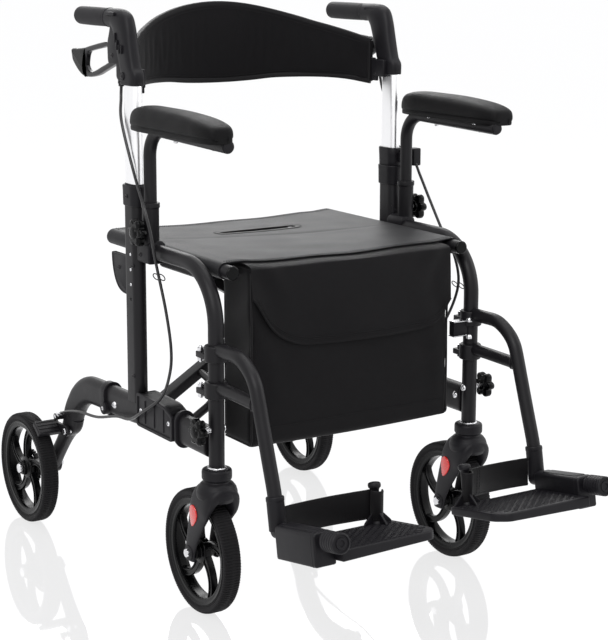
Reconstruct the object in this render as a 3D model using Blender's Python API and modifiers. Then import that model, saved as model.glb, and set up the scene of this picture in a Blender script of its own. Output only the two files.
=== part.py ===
"""Folding walker with seat: side frames, scissor brace, seat, bag, casters and footrests.

Metres, +Z up, forward is -Y, X runs across. The origin is on the floor under the middle.
Each side is built by the same functions: s is -1 for the user's right side and +1 for the left.
"""
import math

import bmesh
import bpy
from mathutils import Matrix, Vector

# Fits
GAP = 0.0003                # between pieces that touch
PIVOT_CLEAR = 0.0003        # radial, pins in their bores
SWING_CLEAR = 0.0005        # between parts that swing past each other

# Wheels
WHEEL_R = 0.1015
TYRE_W = 0.030
TYRE_DEPTH = 0.0158
RIM_WALL = 0.010
RIM_W = 0.024
HUB_R = 0.020
SPOKE_T = 0.012
SPOKE_COUNT = 5
WHEEL_STEPS = 22
REAR_WHEEL_X = 0.2985
REAR_AXLE_Y = 0.4325
AXLE_R = 0.006
REAR_HUB_IN = 0.2655
REAR_HUB_OUT = 0.3145
CASTER_TRAIL = 0.049
CASTER_SIDE_CLEAR = 0.003
CABLE_STOP_Y = 0.3600
CABLE_STOP_Z = 0.2110
BRAKE_Y = 0.3320
BRAKE_Z = 0.1890
BRAKE_CLEAR = 0.0025

# Side frame
LEG_X = 0.248
LEG_Y = -0.182
LEG_R = 0.0125
LEG_BOTTOM = 0.254
SEAT_TUBE_Z = 0.565
SEAT_TUBE_BEND = 0.090
POST_X = 0.2555
POST_Y = 0.070
POST_W = 0.024
POST_L = 0.044
POST_TOP = 0.664
COLLAR_GRIP = 0.029
HANDLE_TUBE_W = 0.020
HANDLE_TUBE_L = 0.040
HANDLE_TUBE_WALL = 0.0015
HANDLE_TUBE_BOTTOM = 0.440
POST_HOLE_R = 0.003
POST_HOLE_PITCH = 0.027
POST_HOLE_COUNT = 4
POST_HOLE_TOP = 0.547
BEAM_X = 0.250
BEAM_W = 0.026
BEAM_H = 0.050
BEAM_Z = 0.290
BEAM_HUMP = 0.282
BEAM_END_Y = 0.338
BEAM_END_Z = 0.212
GUIDE_TOP = 0.546
GUIDE_H = 0.066
GUIDE_L = 0.062

# Cross brace
PIVOT_X = 0.2205
PIVOT_Z = 0.287
BARREL_R = 0.010
BARREL_Y0 = -0.060
BARREL_Y1 = 0.100
PIN_R = 0.004
LUG_T = 0.006
RAIL_Z = 0.5584
RAIL_R = 0.011
RAIL_Y0 = -0.190
RAIL_Y1 = 0.221
BAR_W = 0.028
BAR_T = 0.017
BAR_B_Y = 0.044
BAR_SPACING = 0.032
STRUT_R = 0.0075
STRUT_Y = -0.036
STRUT_REACH = 0.170

# Handle
HANDLE_X = 0.2545
GRIP_Z = 0.9355
GRIP_R = 0.0155
GRIP_Y0 = 0.150
GRIP_LEN = 0.112
HOUSING_H = 0.1055
HOUSING_W = 0.026
HOUSING_L = 0.0517
HOUSING_WALL = 0.0017
HOUSING_GRIP = 0.016
CHEEK_W = 0.021
LEVER_Y = 0.125
LEVER_DROP = 0.0605
LEVER_T = 0.0116
LEVER_HUB_R = 0.009
LEVER_PIN_R = 0.0025
FERRULE_R = 0.004

# Armrest
ARM_X = 0.2535
ARM_Y = 0.0185
ARM_R = 0.0105
ARM_Z = 0.7640
ARM_DROP = 0.0045
ARM_BEND = 0.045
ARM_FRONT = -0.235
ARM_BOTTOM = 0.585
SOCKET_R = 0.0135
SOCKET_TOP = 0.645
PAD_X = 0.2655
PAD_W = 0.058
PAD_Y0 = -0.2385
PAD_LEN = 0.2665
PAD_H = 0.041
PAD_SINK = 0.0105
PAD_CLEAR = 0.0004
KNOB_R = 0.024
KNOB_T = 0.014
KNOB_LOBES = 6
ARM_KNOB_Z = 0.598
LEG_KNOB_Z = 0.314
LEG_KNOB_R = 0.0225
LEG_KNOB_STANDOFF = 0.014

# Seat, backrest and bag
SEAT_Y0 = -0.165
SEAT_Y1 = 0.221
SEAT_SAG = 0.007
SLING_T = 0.002
SLOT_Y = 0.104
SLOT_L = 0.156
SLOT_W = 0.020
BACK_T = 0.012
BACK_BOW = 0.240
BACK_Y = 0.080
BACK_CLIP_T = 0.007
# Half width, lower edge and upper edge of the backrest, the heights measured from the grip's axis
BACK_SHAPE = [
    (0.000, -0.1335, 0.0200), (0.045, -0.1215, 0.0155), (0.098, -0.1110, 0.0005),
    (0.138, -0.1075, -0.0145), (0.190, -0.1125, -0.0405), (0.229, -0.1195, -0.0615),
]
BAG_W = 0.386
BAG_Y0 = -0.1975
BAG_DEPTH = 0.0925
BAG_BOTTOM = 0.272

# Footrest
HANGER_R = 0.011
HANGER_BAR_R = 0.010
HANGER_TOP_Z = 0.442
HANGER_LOW_Z = 0.382
HANGER_REACH = 0.123
HANGER_FOOT_Y = -0.355
HANGER_FOOT_Z = 0.252
COLLAR_R = 0.0185
COLLAR_H = 0.026
SLEEVE_R = 0.0135
SLEEVE_LEN = 0.052
FOOT_X = 0.2465
FOOT_Y = -0.364
FOOT_Z = 0.2015
FOOT_TILT = math.radians(10.0)
FOOT_TUBE_R = 0.009
BUMPER_R = 0.0155
BUMPER_LEN = 0.036
BUMPER_CLEAR = 0.0085
BOX_START = 0.0165
BOX_LEN = 0.109
BOX_W = 0.036
BOX_UP = 0.0125
BOX_DOWN = 0.038
PLATE_START = 0.0150
PLATE_LEN = 0.1320
PLATE_INNER_X = 0.056
PLATE_DROP = 0.0150
PLATE_T = 0.0125
STRAP_POST_X = 0.086
STRAP_POST_R = 0.007
STRAP_POST_H = 0.063
STRAP_H = 0.050
STRAP_T = 0.0025

CABLE_R = 0.0025
CABLE_STEP = 0.030

COLLECTION = "folding_walker_with_seat"
PARTS = None
CUTTERS = None
MATERIALS = {}


def clear_scene():
    """Remove whatever the file holds and make the two collections."""
    global PARTS, CUTTERS
    for obj in list(bpy.data.objects):
        bpy.data.objects.remove(obj, do_unlink=True)
    PARTS = bpy.data.collections.new(COLLECTION)
    CUTTERS = bpy.data.collections.new("cutters")
    bpy.context.scene.collection.children.link(PARTS)
    bpy.context.scene.collection.children.link(CUTTERS)


def make_material(name, rgb, roughness, metallic):
    """A Principled material with one colour."""
    mat = bpy.data.materials.new(name)
    mat.use_nodes = True
    bsdf = mat.node_tree.nodes["Principled BSDF"]
    bsdf.inputs["Base Color"].default_value = (*rgb, 1.0)
    bsdf.inputs["Roughness"].default_value = roughness
    bsdf.inputs["Metallic"].default_value = metallic
    MATERIALS[name] = mat


def make_materials():
    make_material("frame_black", (0.012, 0.011, 0.012), 0.45, 0.3)
    make_material("silver", (0.80, 0.80, 0.82), 0.28, 0.9)
    make_material("plastic_black", (0.010, 0.010, 0.011), 0.5, 0.0)
    make_material("rubber_black", (0.012, 0.012, 0.012), 0.7, 0.0)
    make_material("fabric_black", (0.013, 0.012, 0.013), 0.85, 0.0)
    make_material("chrome", (0.75, 0.75, 0.75), 0.15, 1.0)
    make_material("lever_grey", (0.12, 0.12, 0.13), 0.4, 0.3)


def new_object(name, mesh, cutter=False):
    """Put a mesh in the scene, among the parts or among the cutters."""
    obj = bpy.data.objects.new(name, mesh)
    if cutter:
        CUTTERS.objects.link(obj)
        obj.hide_render = True
        obj.display_type = "WIRE"
    else:
        PARTS.objects.link(obj)
    return obj


def to_cutter(obj):
    """Turn a part into a hidden boolean operand."""
    if obj.name in PARTS.objects:
        PARTS.objects.unlink(obj)
        CUTTERS.objects.link(obj)
    obj.hide_render = True
    obj.display_type = "WIRE"
    return obj


def box(name, centre, size, rotation=None):
    """A cuboid about its centre."""
    bm = bmesh.new()
    bmesh.ops.create_cube(bm, size=1.0)
    bmesh.ops.scale(bm, vec=Vector(size), verts=bm.verts)
    mesh = bpy.data.meshes.new(name)
    bm.to_mesh(mesh)
    bm.free()
    obj = new_object(name, mesh)
    matrix = Matrix.Translation(Vector(centre))
    if rotation is not None:
        matrix = matrix @ rotation.to_4x4()
    obj.matrix_world = matrix
    return obj


def cylinder(name, start, end, radius, sides=12, end_radius=None):
    """A cylinder or cone between two points."""
    start = Vector(start)
    end = Vector(end)
    axis = end - start
    bm = bmesh.new()
    top = radius if end_radius is None else end_radius
    bmesh.ops.create_cone(bm, cap_ends=True, segments=sides, radius1=radius, radius2=top, depth=axis.length)
    mesh = bpy.data.meshes.new(name)
    bm.to_mesh(mesh)
    bm.free()
    obj = new_object(name, mesh)
    turn = Vector((0, 0, 1)).rotation_difference(axis).to_matrix().to_4x4()
    obj.matrix_world = Matrix.Translation((start + end) / 2) @ turn
    return obj


def ball(name, centre, radius, sides=12):
    bm = bmesh.new()
    bmesh.ops.create_uvsphere(bm, u_segments=sides, v_segments=sides // 2, radius=radius)
    mesh = bpy.data.meshes.new(name)
    bm.to_mesh(mesh)
    bm.free()
    obj = new_object(name, mesh)
    obj.location = centre
    return obj


def lathe(name, profile, centre, axis, steps=WHEEL_STEPS, closed=False):
    """A turned shape: profile points (radius, height) run down the outer side, top to bottom."""
    bm = bmesh.new()
    verts = [bm.verts.new((r, 0.0, h)) for r, h in profile]
    for a, b in zip(verts, verts[1:]):
        bm.edges.new((a, b))
    if closed:
        bm.edges.new((verts[-1], verts[0]))
    mesh = bpy.data.meshes.new(name)
    bm.to_mesh(mesh)
    bm.free()
    obj = new_object(name, mesh)
    screw = obj.modifiers.new("turn", "SCREW")
    screw.axis = "Z"
    screw.steps = steps
    screw.render_steps = steps
    screw.use_merge_vertices = True
    screw.merge_threshold = 0.00002
    half_step = Matrix.Rotation(math.pi / steps, 4, "Z")
    turn = Vector((0, 0, 1)).rotation_difference(Vector(axis)).to_matrix().to_4x4()
    obj.matrix_world = Matrix.Translation(Vector(centre)) @ turn @ half_step
    return obj


def curve_to_mesh(obj, name):
    """Replace a curve object by its closed mesh."""
    graph = bpy.context.evaluated_depsgraph_get()
    mesh = bpy.data.meshes.new_from_object(obj.evaluated_get(graph))
    bm = bmesh.new()
    bm.from_mesh(mesh)
    bmesh.ops.remove_doubles(bm, verts=bm.verts, dist=0.00001)
    bmesh.ops.recalc_face_normals(bm, faces=bm.faces)
    bm.to_mesh(mesh)
    bm.free()
    matrix = obj.matrix_world.copy()
    bpy.data.objects.remove(obj, do_unlink=True)
    solid = new_object(name, mesh)
    solid.matrix_world = matrix
    return solid


def tube(name, points, radius, resolution=4, radii=None):
    """A round tube along a run of points."""
    data = bpy.data.curves.new(name, "CURVE")
    data.dimensions = "3D"
    data.bevel_depth = radius
    data.bevel_resolution = resolution
    data.use_fill_caps = True
    spline = data.splines.new("POLY")
    spline.points.add(len(points) - 1)
    for i, point in enumerate(points):
        spline.points[i].co = (*point, 1.0)
        spline.points[i].radius = 1.0 if radii is None else radii[i]
    obj = bpy.data.objects.new(name + "_path", data)
    bpy.context.scene.collection.objects.link(obj)
    return curve_to_mesh(obj, name)


def plate(name, outline, thickness, matrix):
    """A flat outline extruded to a thickness about its own plane, then placed by a matrix."""
    data = bpy.data.curves.new(name, "CURVE")
    data.dimensions = "2D"
    data.fill_mode = "BOTH"
    data.extrude = thickness / 2
    spline = data.splines.new("POLY")
    spline.points.add(len(outline) - 1)
    for point, (u, v) in zip(spline.points, outline):
        point.co = (u, v, 0.0, 1.0)
    spline.use_cyclic_u = True
    obj = bpy.data.objects.new(name + "_outline", data)
    bpy.context.scene.collection.objects.link(obj)
    obj.matrix_world = matrix
    return curve_to_mesh(obj, name)


def sweep(name, points, section):
    """A closed section carried along points in a plane of constant X; section is (across, up)."""
    shape = bpy.data.curves.new(name + "_section", "CURVE")
    shape.dimensions = "2D"
    ring = shape.splines.new("POLY")
    ring.points.add(len(section) - 1)
    for point, (u, v) in zip(ring.points, section):
        point.co = (u, v, 0.0, 1.0)
    ring.use_cyclic_u = True
    shape_obj = bpy.data.objects.new(name + "_section", shape)
    bpy.context.scene.collection.objects.link(shape_obj)
    data = bpy.data.curves.new(name, "CURVE")
    data.dimensions = "3D"
    data.twist_mode = "Z_UP"
    data.bevel_mode = "OBJECT"
    data.bevel_object = shape_obj
    data.use_fill_caps = True
    spline = data.splines.new("POLY")
    spline.points.add(len(points) - 1)
    for point, place in zip(spline.points, points):
        point.co = (*place, 1.0)
    obj = bpy.data.objects.new(name + "_path", data)
    bpy.context.scene.collection.objects.link(obj)
    solid = curve_to_mesh(obj, name)
    bpy.data.objects.remove(shape_obj, do_unlink=True)
    return solid


def stadium(width, length, sides=5):
    """Outline of a slot shape: width across u, length along v, with round ends."""
    radius = width / 2
    straight = length / 2 - radius
    points = []
    for i in range(sides + 1):
        a = math.pi * i / sides
        points.append((radius * math.cos(a), straight + radius * math.sin(a)))
    for i in range(sides + 1):
        a = math.pi + math.pi * i / sides
        points.append((radius * math.cos(a), -straight + radius * math.sin(a)))
    return points


def capsule(a, b, radius_a, radius_b, sides=5):
    """Outline round two circles in a plane, like a tapered link."""
    ax, ay = a
    bx, by = b
    distance = math.hypot(bx - ax, by - ay)
    heading = math.atan2(by - ay, bx - ax)
    lean = math.acos((radius_a - radius_b) / distance)
    points = []
    for i in range(sides + 1):
        t = heading + lean + (2 * math.pi - 2 * lean) * i / sides
        points.append((ax + radius_a * math.cos(t), ay + radius_a * math.sin(t)))
    for i in range(sides + 1):
        t = heading - lean + 2 * lean * i / sides
        points.append((bx + radius_b * math.cos(t), by + radius_b * math.sin(t)))
    return points


def star(radius, lobes, per_lobe=3):
    """Outline of a star knob: a circle with soft lobes."""
    count = lobes * per_lobe
    points = []
    for i in range(count):
        t = 2 * math.pi * i / count
        r = radius * (0.89 + 0.11 * math.cos(lobes * t))
        points.append((r * math.cos(t), r * math.sin(t)))
    return points


def facing_x(x, y=0.0, z=0.0):
    """Matrix that lays a (u, v) outline on the (Y, Z) plane at x."""
    turn = Matrix(((0, 0, 1), (1, 0, 0), (0, 1, 0))).to_4x4()
    return Matrix.Translation((x, y, z)) @ turn


def upright(x, y, z):
    """Matrix that lays a (u, v) outline on the (X, Y) plane at height z."""
    return Matrix.Translation((x, y, z))


def column(name, outline, x, y, z0, z1):
    """A vertical prism between two heights."""
    return plate(name, outline, z1 - z0, upright(x, y, (z0 + z1) / 2))


def boolean(target, operation, *operands):
    """Add live Boolean modifiers for the operands."""
    for operand in operands:
        modifier = target.modifiers.new(operation.lower(), "BOOLEAN")
        modifier.operation = operation
        modifier.solver = "EXACT"
        modifier.object = to_cutter(operand)
    return target


def join(target, *operands):
    return boolean(target, "UNION", *operands)


def cut(target, *operands):
    return boolean(target, "DIFFERENCE", *operands)


def finish(obj, name, material, body=None):
    """Name a finished piece, give it its material and smooth shading, and hang it on its body."""
    obj.name = name
    obj.data.name = name
    obj.data.materials.clear()
    obj.data.materials.append(MATERIALS[material])
    obj.data.shade_smooth()
    obj.data.set_sharp_from_angle(angle=math.radians(35))
    if body is not None:
        bpy.context.view_layer.update()
        world = obj.matrix_world.copy()
        obj.parent = body
        obj.matrix_parent_inverse = body.matrix_world.inverted()
        obj.matrix_world = world
    return obj


def pivot(name, place):
    """An empty on a joint's axis that carries the pieces of one moving body."""
    empty = bpy.data.objects.new(name, None)
    empty.empty_display_size = 0.03
    empty.location = place
    PARTS.objects.link(empty)
    bpy.context.view_layer.update()
    return empty


def arc(centre, radius, start, end, count):
    """Points on a circle in the (Y, Z) plane, angles in degrees from +Y towards +Z."""
    points = []
    for i in range(count + 1):
        t = math.radians(start + (end - start) * i / count)
        points.append((centre[0] + radius * math.cos(t), centre[1] + radius * math.sin(t)))
    return points


def loft(name, rings):
    """A closed shell through rings of equal count, capped at both ends."""
    count = len(rings[0])
    verts = [p for ring in rings for p in ring]
    faces = [tuple(range(count))[::-1], tuple(range(len(verts) - count, len(verts)))]
    for r in range(len(rings) - 1):
        for i in range(count):
            j = (i + 1) % count
            faces.append((r * count + i, r * count + j, (r + 1) * count + j, (r + 1) * count + i))
    mesh = bpy.data.meshes.new(name)
    mesh.from_pydata(verts, [], faces)
    bm = bmesh.new()
    bm.from_mesh(mesh)
    bmesh.ops.recalc_face_normals(bm, faces=bm.faces)
    bm.to_mesh(mesh)
    bm.free()
    return new_object(name, mesh)


def oval_ring(x, a, b, half_w, square, count=12):
    """Ring across X between two (y, z) points: half_w wide, squarer as square falls from 1."""
    ring = []
    for i in range(count):
        t = 2 * math.pi * i / count
        across = math.copysign(abs(math.cos(t)) ** square, math.cos(t))
        along = (1 + math.copysign(abs(math.sin(t)) ** square, math.sin(t))) / 2
        ring.append((x + half_w * across, a[0] + (b[0] - a[0]) * along, a[1] + (b[1] - a[1]) * along))
    return ring


def table_at(table, x, column):
    """Smooth value of a column at x, from rows sorted by their first entry."""
    rows = len(table)
    i = max(0, min(rows - 2, sum(1 for row in table if row[0] <= x) - 1))
    x0, x1 = table[i][0], table[i + 1][0]
    y0, y1 = table[i][column], table[i + 1][column]
    slope = (y1 - y0) / (x1 - x0)
    before = slope if i == 0 else (y1 - table[i - 1][column]) / (x1 - table[i - 1][0])
    after = slope if i == rows - 2 else (table[i + 2][column] - y0) / (table[i + 2][0] - x0)
    if i == 0:
        before = 0.0
    t = (x - x0) / (x1 - x0)
    h = x1 - x0
    return ((2 * t ** 3 - 3 * t * t + 1) * y0 + (t ** 3 - 2 * t * t + t) * h * before
            + (3 * t * t - 2 * t ** 3) * y1 + (t ** 3 - t * t) * h * after)


def smooth_path(route, step):
    """Evenly spaced points on a smooth curve through the route's own points."""
    route = [Vector(p) for p in route]
    ends = [2 * route[0] - route[1]] + route + [2 * route[-1] - route[-2]]
    dense = []
    for i in range(1, len(ends) - 2):
        p0, p1, p2, p3 = ends[i - 1:i + 3]
        for k in range(24):
            t = k / 24
            a = 2 * p1
            b = (p2 - p0) * t
            c = (2 * p0 - 5 * p1 + 4 * p2 - p3) * t * t
            d = (3 * p1 - p0 - 3 * p2 + p3) * t ** 3
            dense.append((a + b + c + d) / 2)
    dense.append(route[-1])
    lengths = [0.0]
    for p, q in zip(dense, dense[1:]):
        lengths.append(lengths[-1] + (q - p).length)
    count = max(2, round(lengths[-1] / step))
    points = []
    j = 0
    for i in range(count + 1):
        want = lengths[-1] * i / count
        while j < len(lengths) - 2 and lengths[j + 1] < want:
            j += 1
        span = lengths[j + 1] - lengths[j]
        t = (want - lengths[j]) / span if span > 0 else 0.0
        points.append(dense[j].lerp(dense[j + 1], t))
    return points


# Derived places
POST_FRONT = POST_Y - POST_L / 2
POST_REAR = POST_Y + POST_L / 2
SOCKET_BOTTOM = SEAT_TUBE_Z + LEG_R + GAP
BEAM_TOP = BEAM_Z + BEAM_H / 2
CENTRE_Z = (PIVOT_Z + RAIL_Z) / 2
BAR_LEN = math.hypot(2 * PIVOT_X, RAIL_Z - PIVOT_Z)
BAR_A_Y = BAR_B_Y + BAR_SPACING
FORK_OUTER = BEAM_X + 0.011
SEAT_UNDER = RAIL_Z + RAIL_R + GAP - SEAT_SAG
HOUSING_BOTTOM = GRIP_Z - HOUSING_H
LEVER_Z = GRIP_Z - LEVER_DROP
HOUSING_FRONT = POST_Y - HANDLE_TUBE_L / 2 - HOUSING_WALL
BACK_END_X = HANDLE_X - HOUSING_W / 2 - BACK_CLIP_T - GAP - BACK_T * 0.45
PAD_BASE = ARM_Z + ARM_R - PAD_SINK
BUMPER_START = BOX_START + BOX_LEN + BUMPER_CLEAR
BUMPER_END = BUMPER_START + BUMPER_LEN
FOOT_DIR = Vector((0.0, -math.cos(FOOT_TILT), math.sin(FOOT_TILT)))
FOOT_UP = Vector((0.0, math.sin(FOOT_TILT), math.cos(FOOT_TILT)))
SLEEVE_DIR = Vector((0.0, -0.1850, -0.9827))


def beam_points(s):
    """Centre line of the lower beam from the front leg to the rear fork."""
    front = LEG_Y + LEG_R + GAP
    shape = [
        (front, BEAM_Z), (-0.080, BEAM_Z), (0.020, BEAM_Z), (0.110, BEAM_HUMP + 0.002),
        (0.235, BEAM_HUMP - 0.001), (0.265, BEAM_HUMP - 0.0045),
        (0.288, BEAM_HUMP - 0.0135), (0.308, BEAM_HUMP - 0.028), (0.322, BEAM_HUMP - 0.044),
        (BEAM_END_Y - 0.007, BEAM_END_Z + 0.014), (BEAM_END_Y, BEAM_END_Z),
    ]
    return [(s * BEAM_X, y, z) for y, z in shape]


def build_side_frame(s, side):
    """The fixed pieces of one side."""
    x = s * LEG_X
    bend = (LEG_Y + SEAT_TUBE_BEND, SEAT_TUBE_Z - SEAT_TUBE_BEND)
    path = [(LEG_Y, LEG_BOTTOM)] + arc(bend, SEAT_TUBE_BEND, 180, 90, 6) + [(POST_FRONT - GAP, SEAT_TUBE_Z)]
    leg = tube("leg", [(x, y, z) for y, z in path], LEG_R)
    stem_hole = cylinder("stem_hole", (x, LEG_Y, LEG_BOTTOM - 0.01), (x, LEG_Y, LEG_BOTTOM + 0.046),
                         AXLE_R + PIVOT_CLEAR)
    knob_hole = cylinder("knob_hole", (x - 0.02, LEG_Y, LEG_KNOB_Z), (x + 0.02, LEG_Y, LEG_KNOB_Z),
                         PIN_R + PIVOT_CLEAR, 10)
    cut(leg, stem_hole, knob_hole)
    finish(leg, side + "_front_leg", "frame_black")

    # Saddle that the seat rail drops into
    saddle_out = LEG_X - LEG_R - GAP
    saddle_in = PIVOT_X - RAIL_R - 0.003
    saddle_y0 = LEG_Y + SEAT_TUBE_BEND - 0.026
    saddle_y1 = BAR_B_Y - BAR_W / 2 - 0.006
    saddle_top = RAIL_Z - GAP * 3
    saddle_bottom = RAIL_Z - RAIL_R - 0.0105
    saddle = box("saddle", (s * (saddle_in + saddle_out) / 2, (saddle_y0 + saddle_y1) / 2,
                            (saddle_top + saddle_bottom) / 2),
                 (saddle_out - saddle_in, saddle_y1 - saddle_y0, saddle_top - saddle_bottom))
    groove = cylinder("groove", (s * PIVOT_X, saddle_y0 - 0.01, RAIL_Z),
                      (s * PIVOT_X, saddle_y1 + 0.01, RAIL_Z),
                      RAIL_R + GAP, 20)
    cut(saddle, groove)
    finish(saddle, side + "_rail_saddle", "plastic_black")

    # Rear post with the armrest socket and the rounded guide plate behind it
    guide = []
    for i in range(9):
        a = math.pi / 2 * i / 8
        guide.append((POST_REAR + GUIDE_L * math.cos(a) ** 0.6, GUIDE_TOP - GUIDE_H * math.sin(a)))
    guide.append((POST_REAR - 0.0012, GUIDE_TOP - GUIDE_H))
    guide.append((POST_REAR - 0.0012, GUIDE_TOP))
    guide_plate = plate("guide", guide, 0.007, facing_x(s * (POST_X - 0.001)))
    post = column("post", stadium(POST_W, POST_L), s * POST_X, POST_Y, BEAM_TOP - 0.012, POST_TOP)
    socket = cylinder("socket", (s * ARM_X, ARM_Y, SOCKET_BOTTOM), (s * ARM_X, ARM_Y, SOCKET_TOP), SOCKET_R)
    web_y0 = ARM_Y + SOCKET_R - 0.0025
    web_y1 = POST_FRONT + 0.002
    web_top = POST_TOP - COLLAR_GRIP - 0.002
    web = box("web", (s * ARM_X, (web_y0 + web_y1) / 2, (SOCKET_BOTTOM + web_top) / 2),
              (0.008, web_y1 - web_y0, web_top - SOCKET_BOTTOM))
    boss_x = ARM_X + SOCKET_R + 0.005
    boss = cylinder("boss", (s * ARM_X, ARM_Y, ARM_KNOB_Z), (s * boss_x, ARM_Y, ARM_KNOB_Z), 0.008, 12)
    join(post, socket, web, boss, guide_plate)
    bore = column("bore", stadium(HANDLE_TUBE_W + 2 * GAP, HANDLE_TUBE_L + 2 * GAP), s * POST_X, POST_Y,
                  BEAM_TOP + 0.012, POST_TOP + 0.01)
    arm_bore = cylinder("arm_bore", (s * ARM_X, ARM_Y, SOCKET_BOTTOM - 0.01),
                        (s * ARM_X, ARM_Y, SOCKET_TOP + 0.01),
                        ARM_R + GAP, 16)
    screw_bore = cylinder("screw_bore", (s * ARM_X, ARM_Y, ARM_KNOB_Z),
                          (s * (boss_x + 0.01), ARM_Y, ARM_KNOB_Z),
                          PIN_R + PIVOT_CLEAR, 10)
    beam_seat = sweep("beam_seat", beam_points(s), stadium(BEAM_W + 2 * GAP, BEAM_H + 2 * GAP))
    holes = []
    hole_y = POST_REAR - 0.0095
    for i in range(POST_HOLE_COUNT):
        z = POST_HOLE_TOP - i * POST_HOLE_PITCH
        holes.append(cylinder("hole", (s * (POST_X - 0.02), hole_y, z), (s * (POST_X + 0.02), hole_y, z),
                              POST_HOLE_R, 6))
    cut(post, bore, arm_bore, screw_bore, beam_seat, *holes)
    finish(post, side + "_rear_post", "frame_black")

    # Collar at the top of the post; the left one also carries the cable clip
    collar_top = POST_TOP + 0.004
    collar = column("collar", stadium(POST_W + 0.006, POST_L + 0.006), s * POST_X, POST_Y,
                    POST_TOP - COLLAR_GRIP, collar_top)
    if s > 0:
        clip = column("clip", stadium(HANDLE_TUBE_W + 0.007, HANDLE_TUBE_L + 0.007), s * POST_X, POST_Y,
                      collar_top - 0.001, collar_top + 0.032)
        lug = box("lug", (s * (POST_X + 0.0125), POST_FRONT - 0.009, collar_top + 0.017),
                  (0.011, 0.024, 0.014))
        join(collar, clip, lug)
    collar_bore = column("collar_bore", stadium(POST_W + 2 * GAP, POST_L + 2 * GAP), s * POST_X, POST_Y,
                         POST_TOP - 0.04, POST_TOP + GAP)
    lip_bore = column("lip_bore", stadium(HANDLE_TUBE_W + 2 * GAP, HANDLE_TUBE_L + 2 * GAP), s * POST_X,
                      POST_Y,
                      POST_TOP - 0.01, collar_top + 0.05)
    cut(collar, collar_bore, lip_bore)
    finish(collar, side + "_post_collar", "plastic_black")

    # Lower beam with its round-headed bolts
    beam = sweep("beam", beam_points(s), stadium(BEAM_W, BEAM_H))
    outer = BEAM_X + BEAM_W / 2
    for y, z in ((LEG_Y + 0.024, BEAM_Z + 0.006), (0.142, BEAM_HUMP - 0.001)):
        join(beam, cylinder("head", (s * (outer - 0.003), y, z), (s * (outer + 0.0045), y, z), 0.006, 12,
                            0.0035))
    finish(beam, side + "_lower_beam", "frame_black")

    # Brace block round the beam with the pivot pin, and the rear clamp ring
    block_y0 = BARREL_Y0 - 0.015
    block_y1 = POST_FRONT + 0.002
    inner = BEAM_X - BEAM_W / 2
    block_z0 = BEAM_Z - BEAM_H / 2 + 0.003
    block_z1 = BEAM_TOP + 0.010
    block = box("block", (s * (BEAM_X + 0.0027), (block_y0 + block_y1) / 2, (block_z0 + block_z1) / 2),
                (BEAM_W + 0.0084, block_y1 - block_y0, block_z1 - block_z0))
    recess = box("recess", (s * (BEAM_X + BEAM_W / 2 + 0.0075), (block_y0 + block_y1) / 2 + 0.004,
                            BEAM_Z + 0.002),
                 (0.006, (block_y1 - block_y0) * 0.6, BEAM_H * 0.62))
    ring = column("ring", stadium(BEAM_W + 0.008, BEAM_H + 0.010), 0.0, 0.0, 0.0, 0.010)
    ring.matrix_world = Matrix.Translation((s * BEAM_X, block_y0 - 0.005, BEAM_Z)) @ Matrix.Rotation(
        math.pi / 2, 4, "X") @ Matrix.Translation((0, 0, -ring.location.z))
    strip_in = PIVOT_X + BARREL_R + 0.0032
    strip = box("strip", (s * (strip_in + inner) / 2, (block_y1 + BARREL_Y1) / 2, PIVOT_Z),
                (inner - GAP - strip_in, BARREL_Y1 - block_y1 + 2 * LUG_T + 0.004, 0.020))
    lug_in = PIVOT_X - BARREL_R
    lugs = []
    for y in (BARREL_Y0 - GAP - LUG_T / 2, BARREL_Y1 + GAP + LUG_T / 2):
        lugs.append(box("lug", (s * (lug_in + inner) / 2, y, PIVOT_Z), (inner - GAP - lug_in, LUG_T, 0.022)))
    pin = cylinder("pin", (s * PIVOT_X, BARREL_Y0 - LUG_T - 0.004, PIVOT_Z),
                   (s * PIVOT_X, BARREL_Y1 + LUG_T + 0.004, PIVOT_Z), PIN_R, 10)
    block_seat = sweep("block_seat", beam_points(s), stadium(BEAM_W + 2 * GAP, BEAM_H + 2 * GAP))
    post_seat = column("post_seat", stadium(POST_W + 2 * GAP, POST_L + 2 * GAP), s * POST_X, POST_Y,
                       BEAM_TOP - 0.02, BEAM_TOP + 0.05)
    join(block, ring, strip, *lugs, pin)
    cut(block, recess, block_seat, post_seat)
    finish(block, side + "_brace_block", "plastic_black")
    clamp = column("clamp", stadium(BEAM_W + 0.008, BEAM_H + 0.008), 0.0, 0.0, 0.0, 0.018)
    clamp_place = Matrix.Translation((s * BEAM_X, 0.194, BEAM_HUMP))
    clamp.matrix_world = clamp_place @ Matrix.Rotation(math.pi / 2, 4, "X")
    clamp_lug = cylinder("clamp_lug", (s * (BEAM_X + BEAM_W / 2 - 0.004), 0.176, BEAM_HUMP - 0.014),
                         (s * (BEAM_X + BEAM_W / 2 + 0.008), 0.176, BEAM_HUMP - 0.014), 0.011, 12)
    clamp_seat = sweep("clamp_seat", beam_points(s), stadium(BEAM_W + 2 * GAP, BEAM_H + 2 * GAP))
    join(clamp, clamp_lug)
    cut(clamp, clamp_seat)
    finish(clamp, side + "_beam_clamp", "plastic_black")

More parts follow.
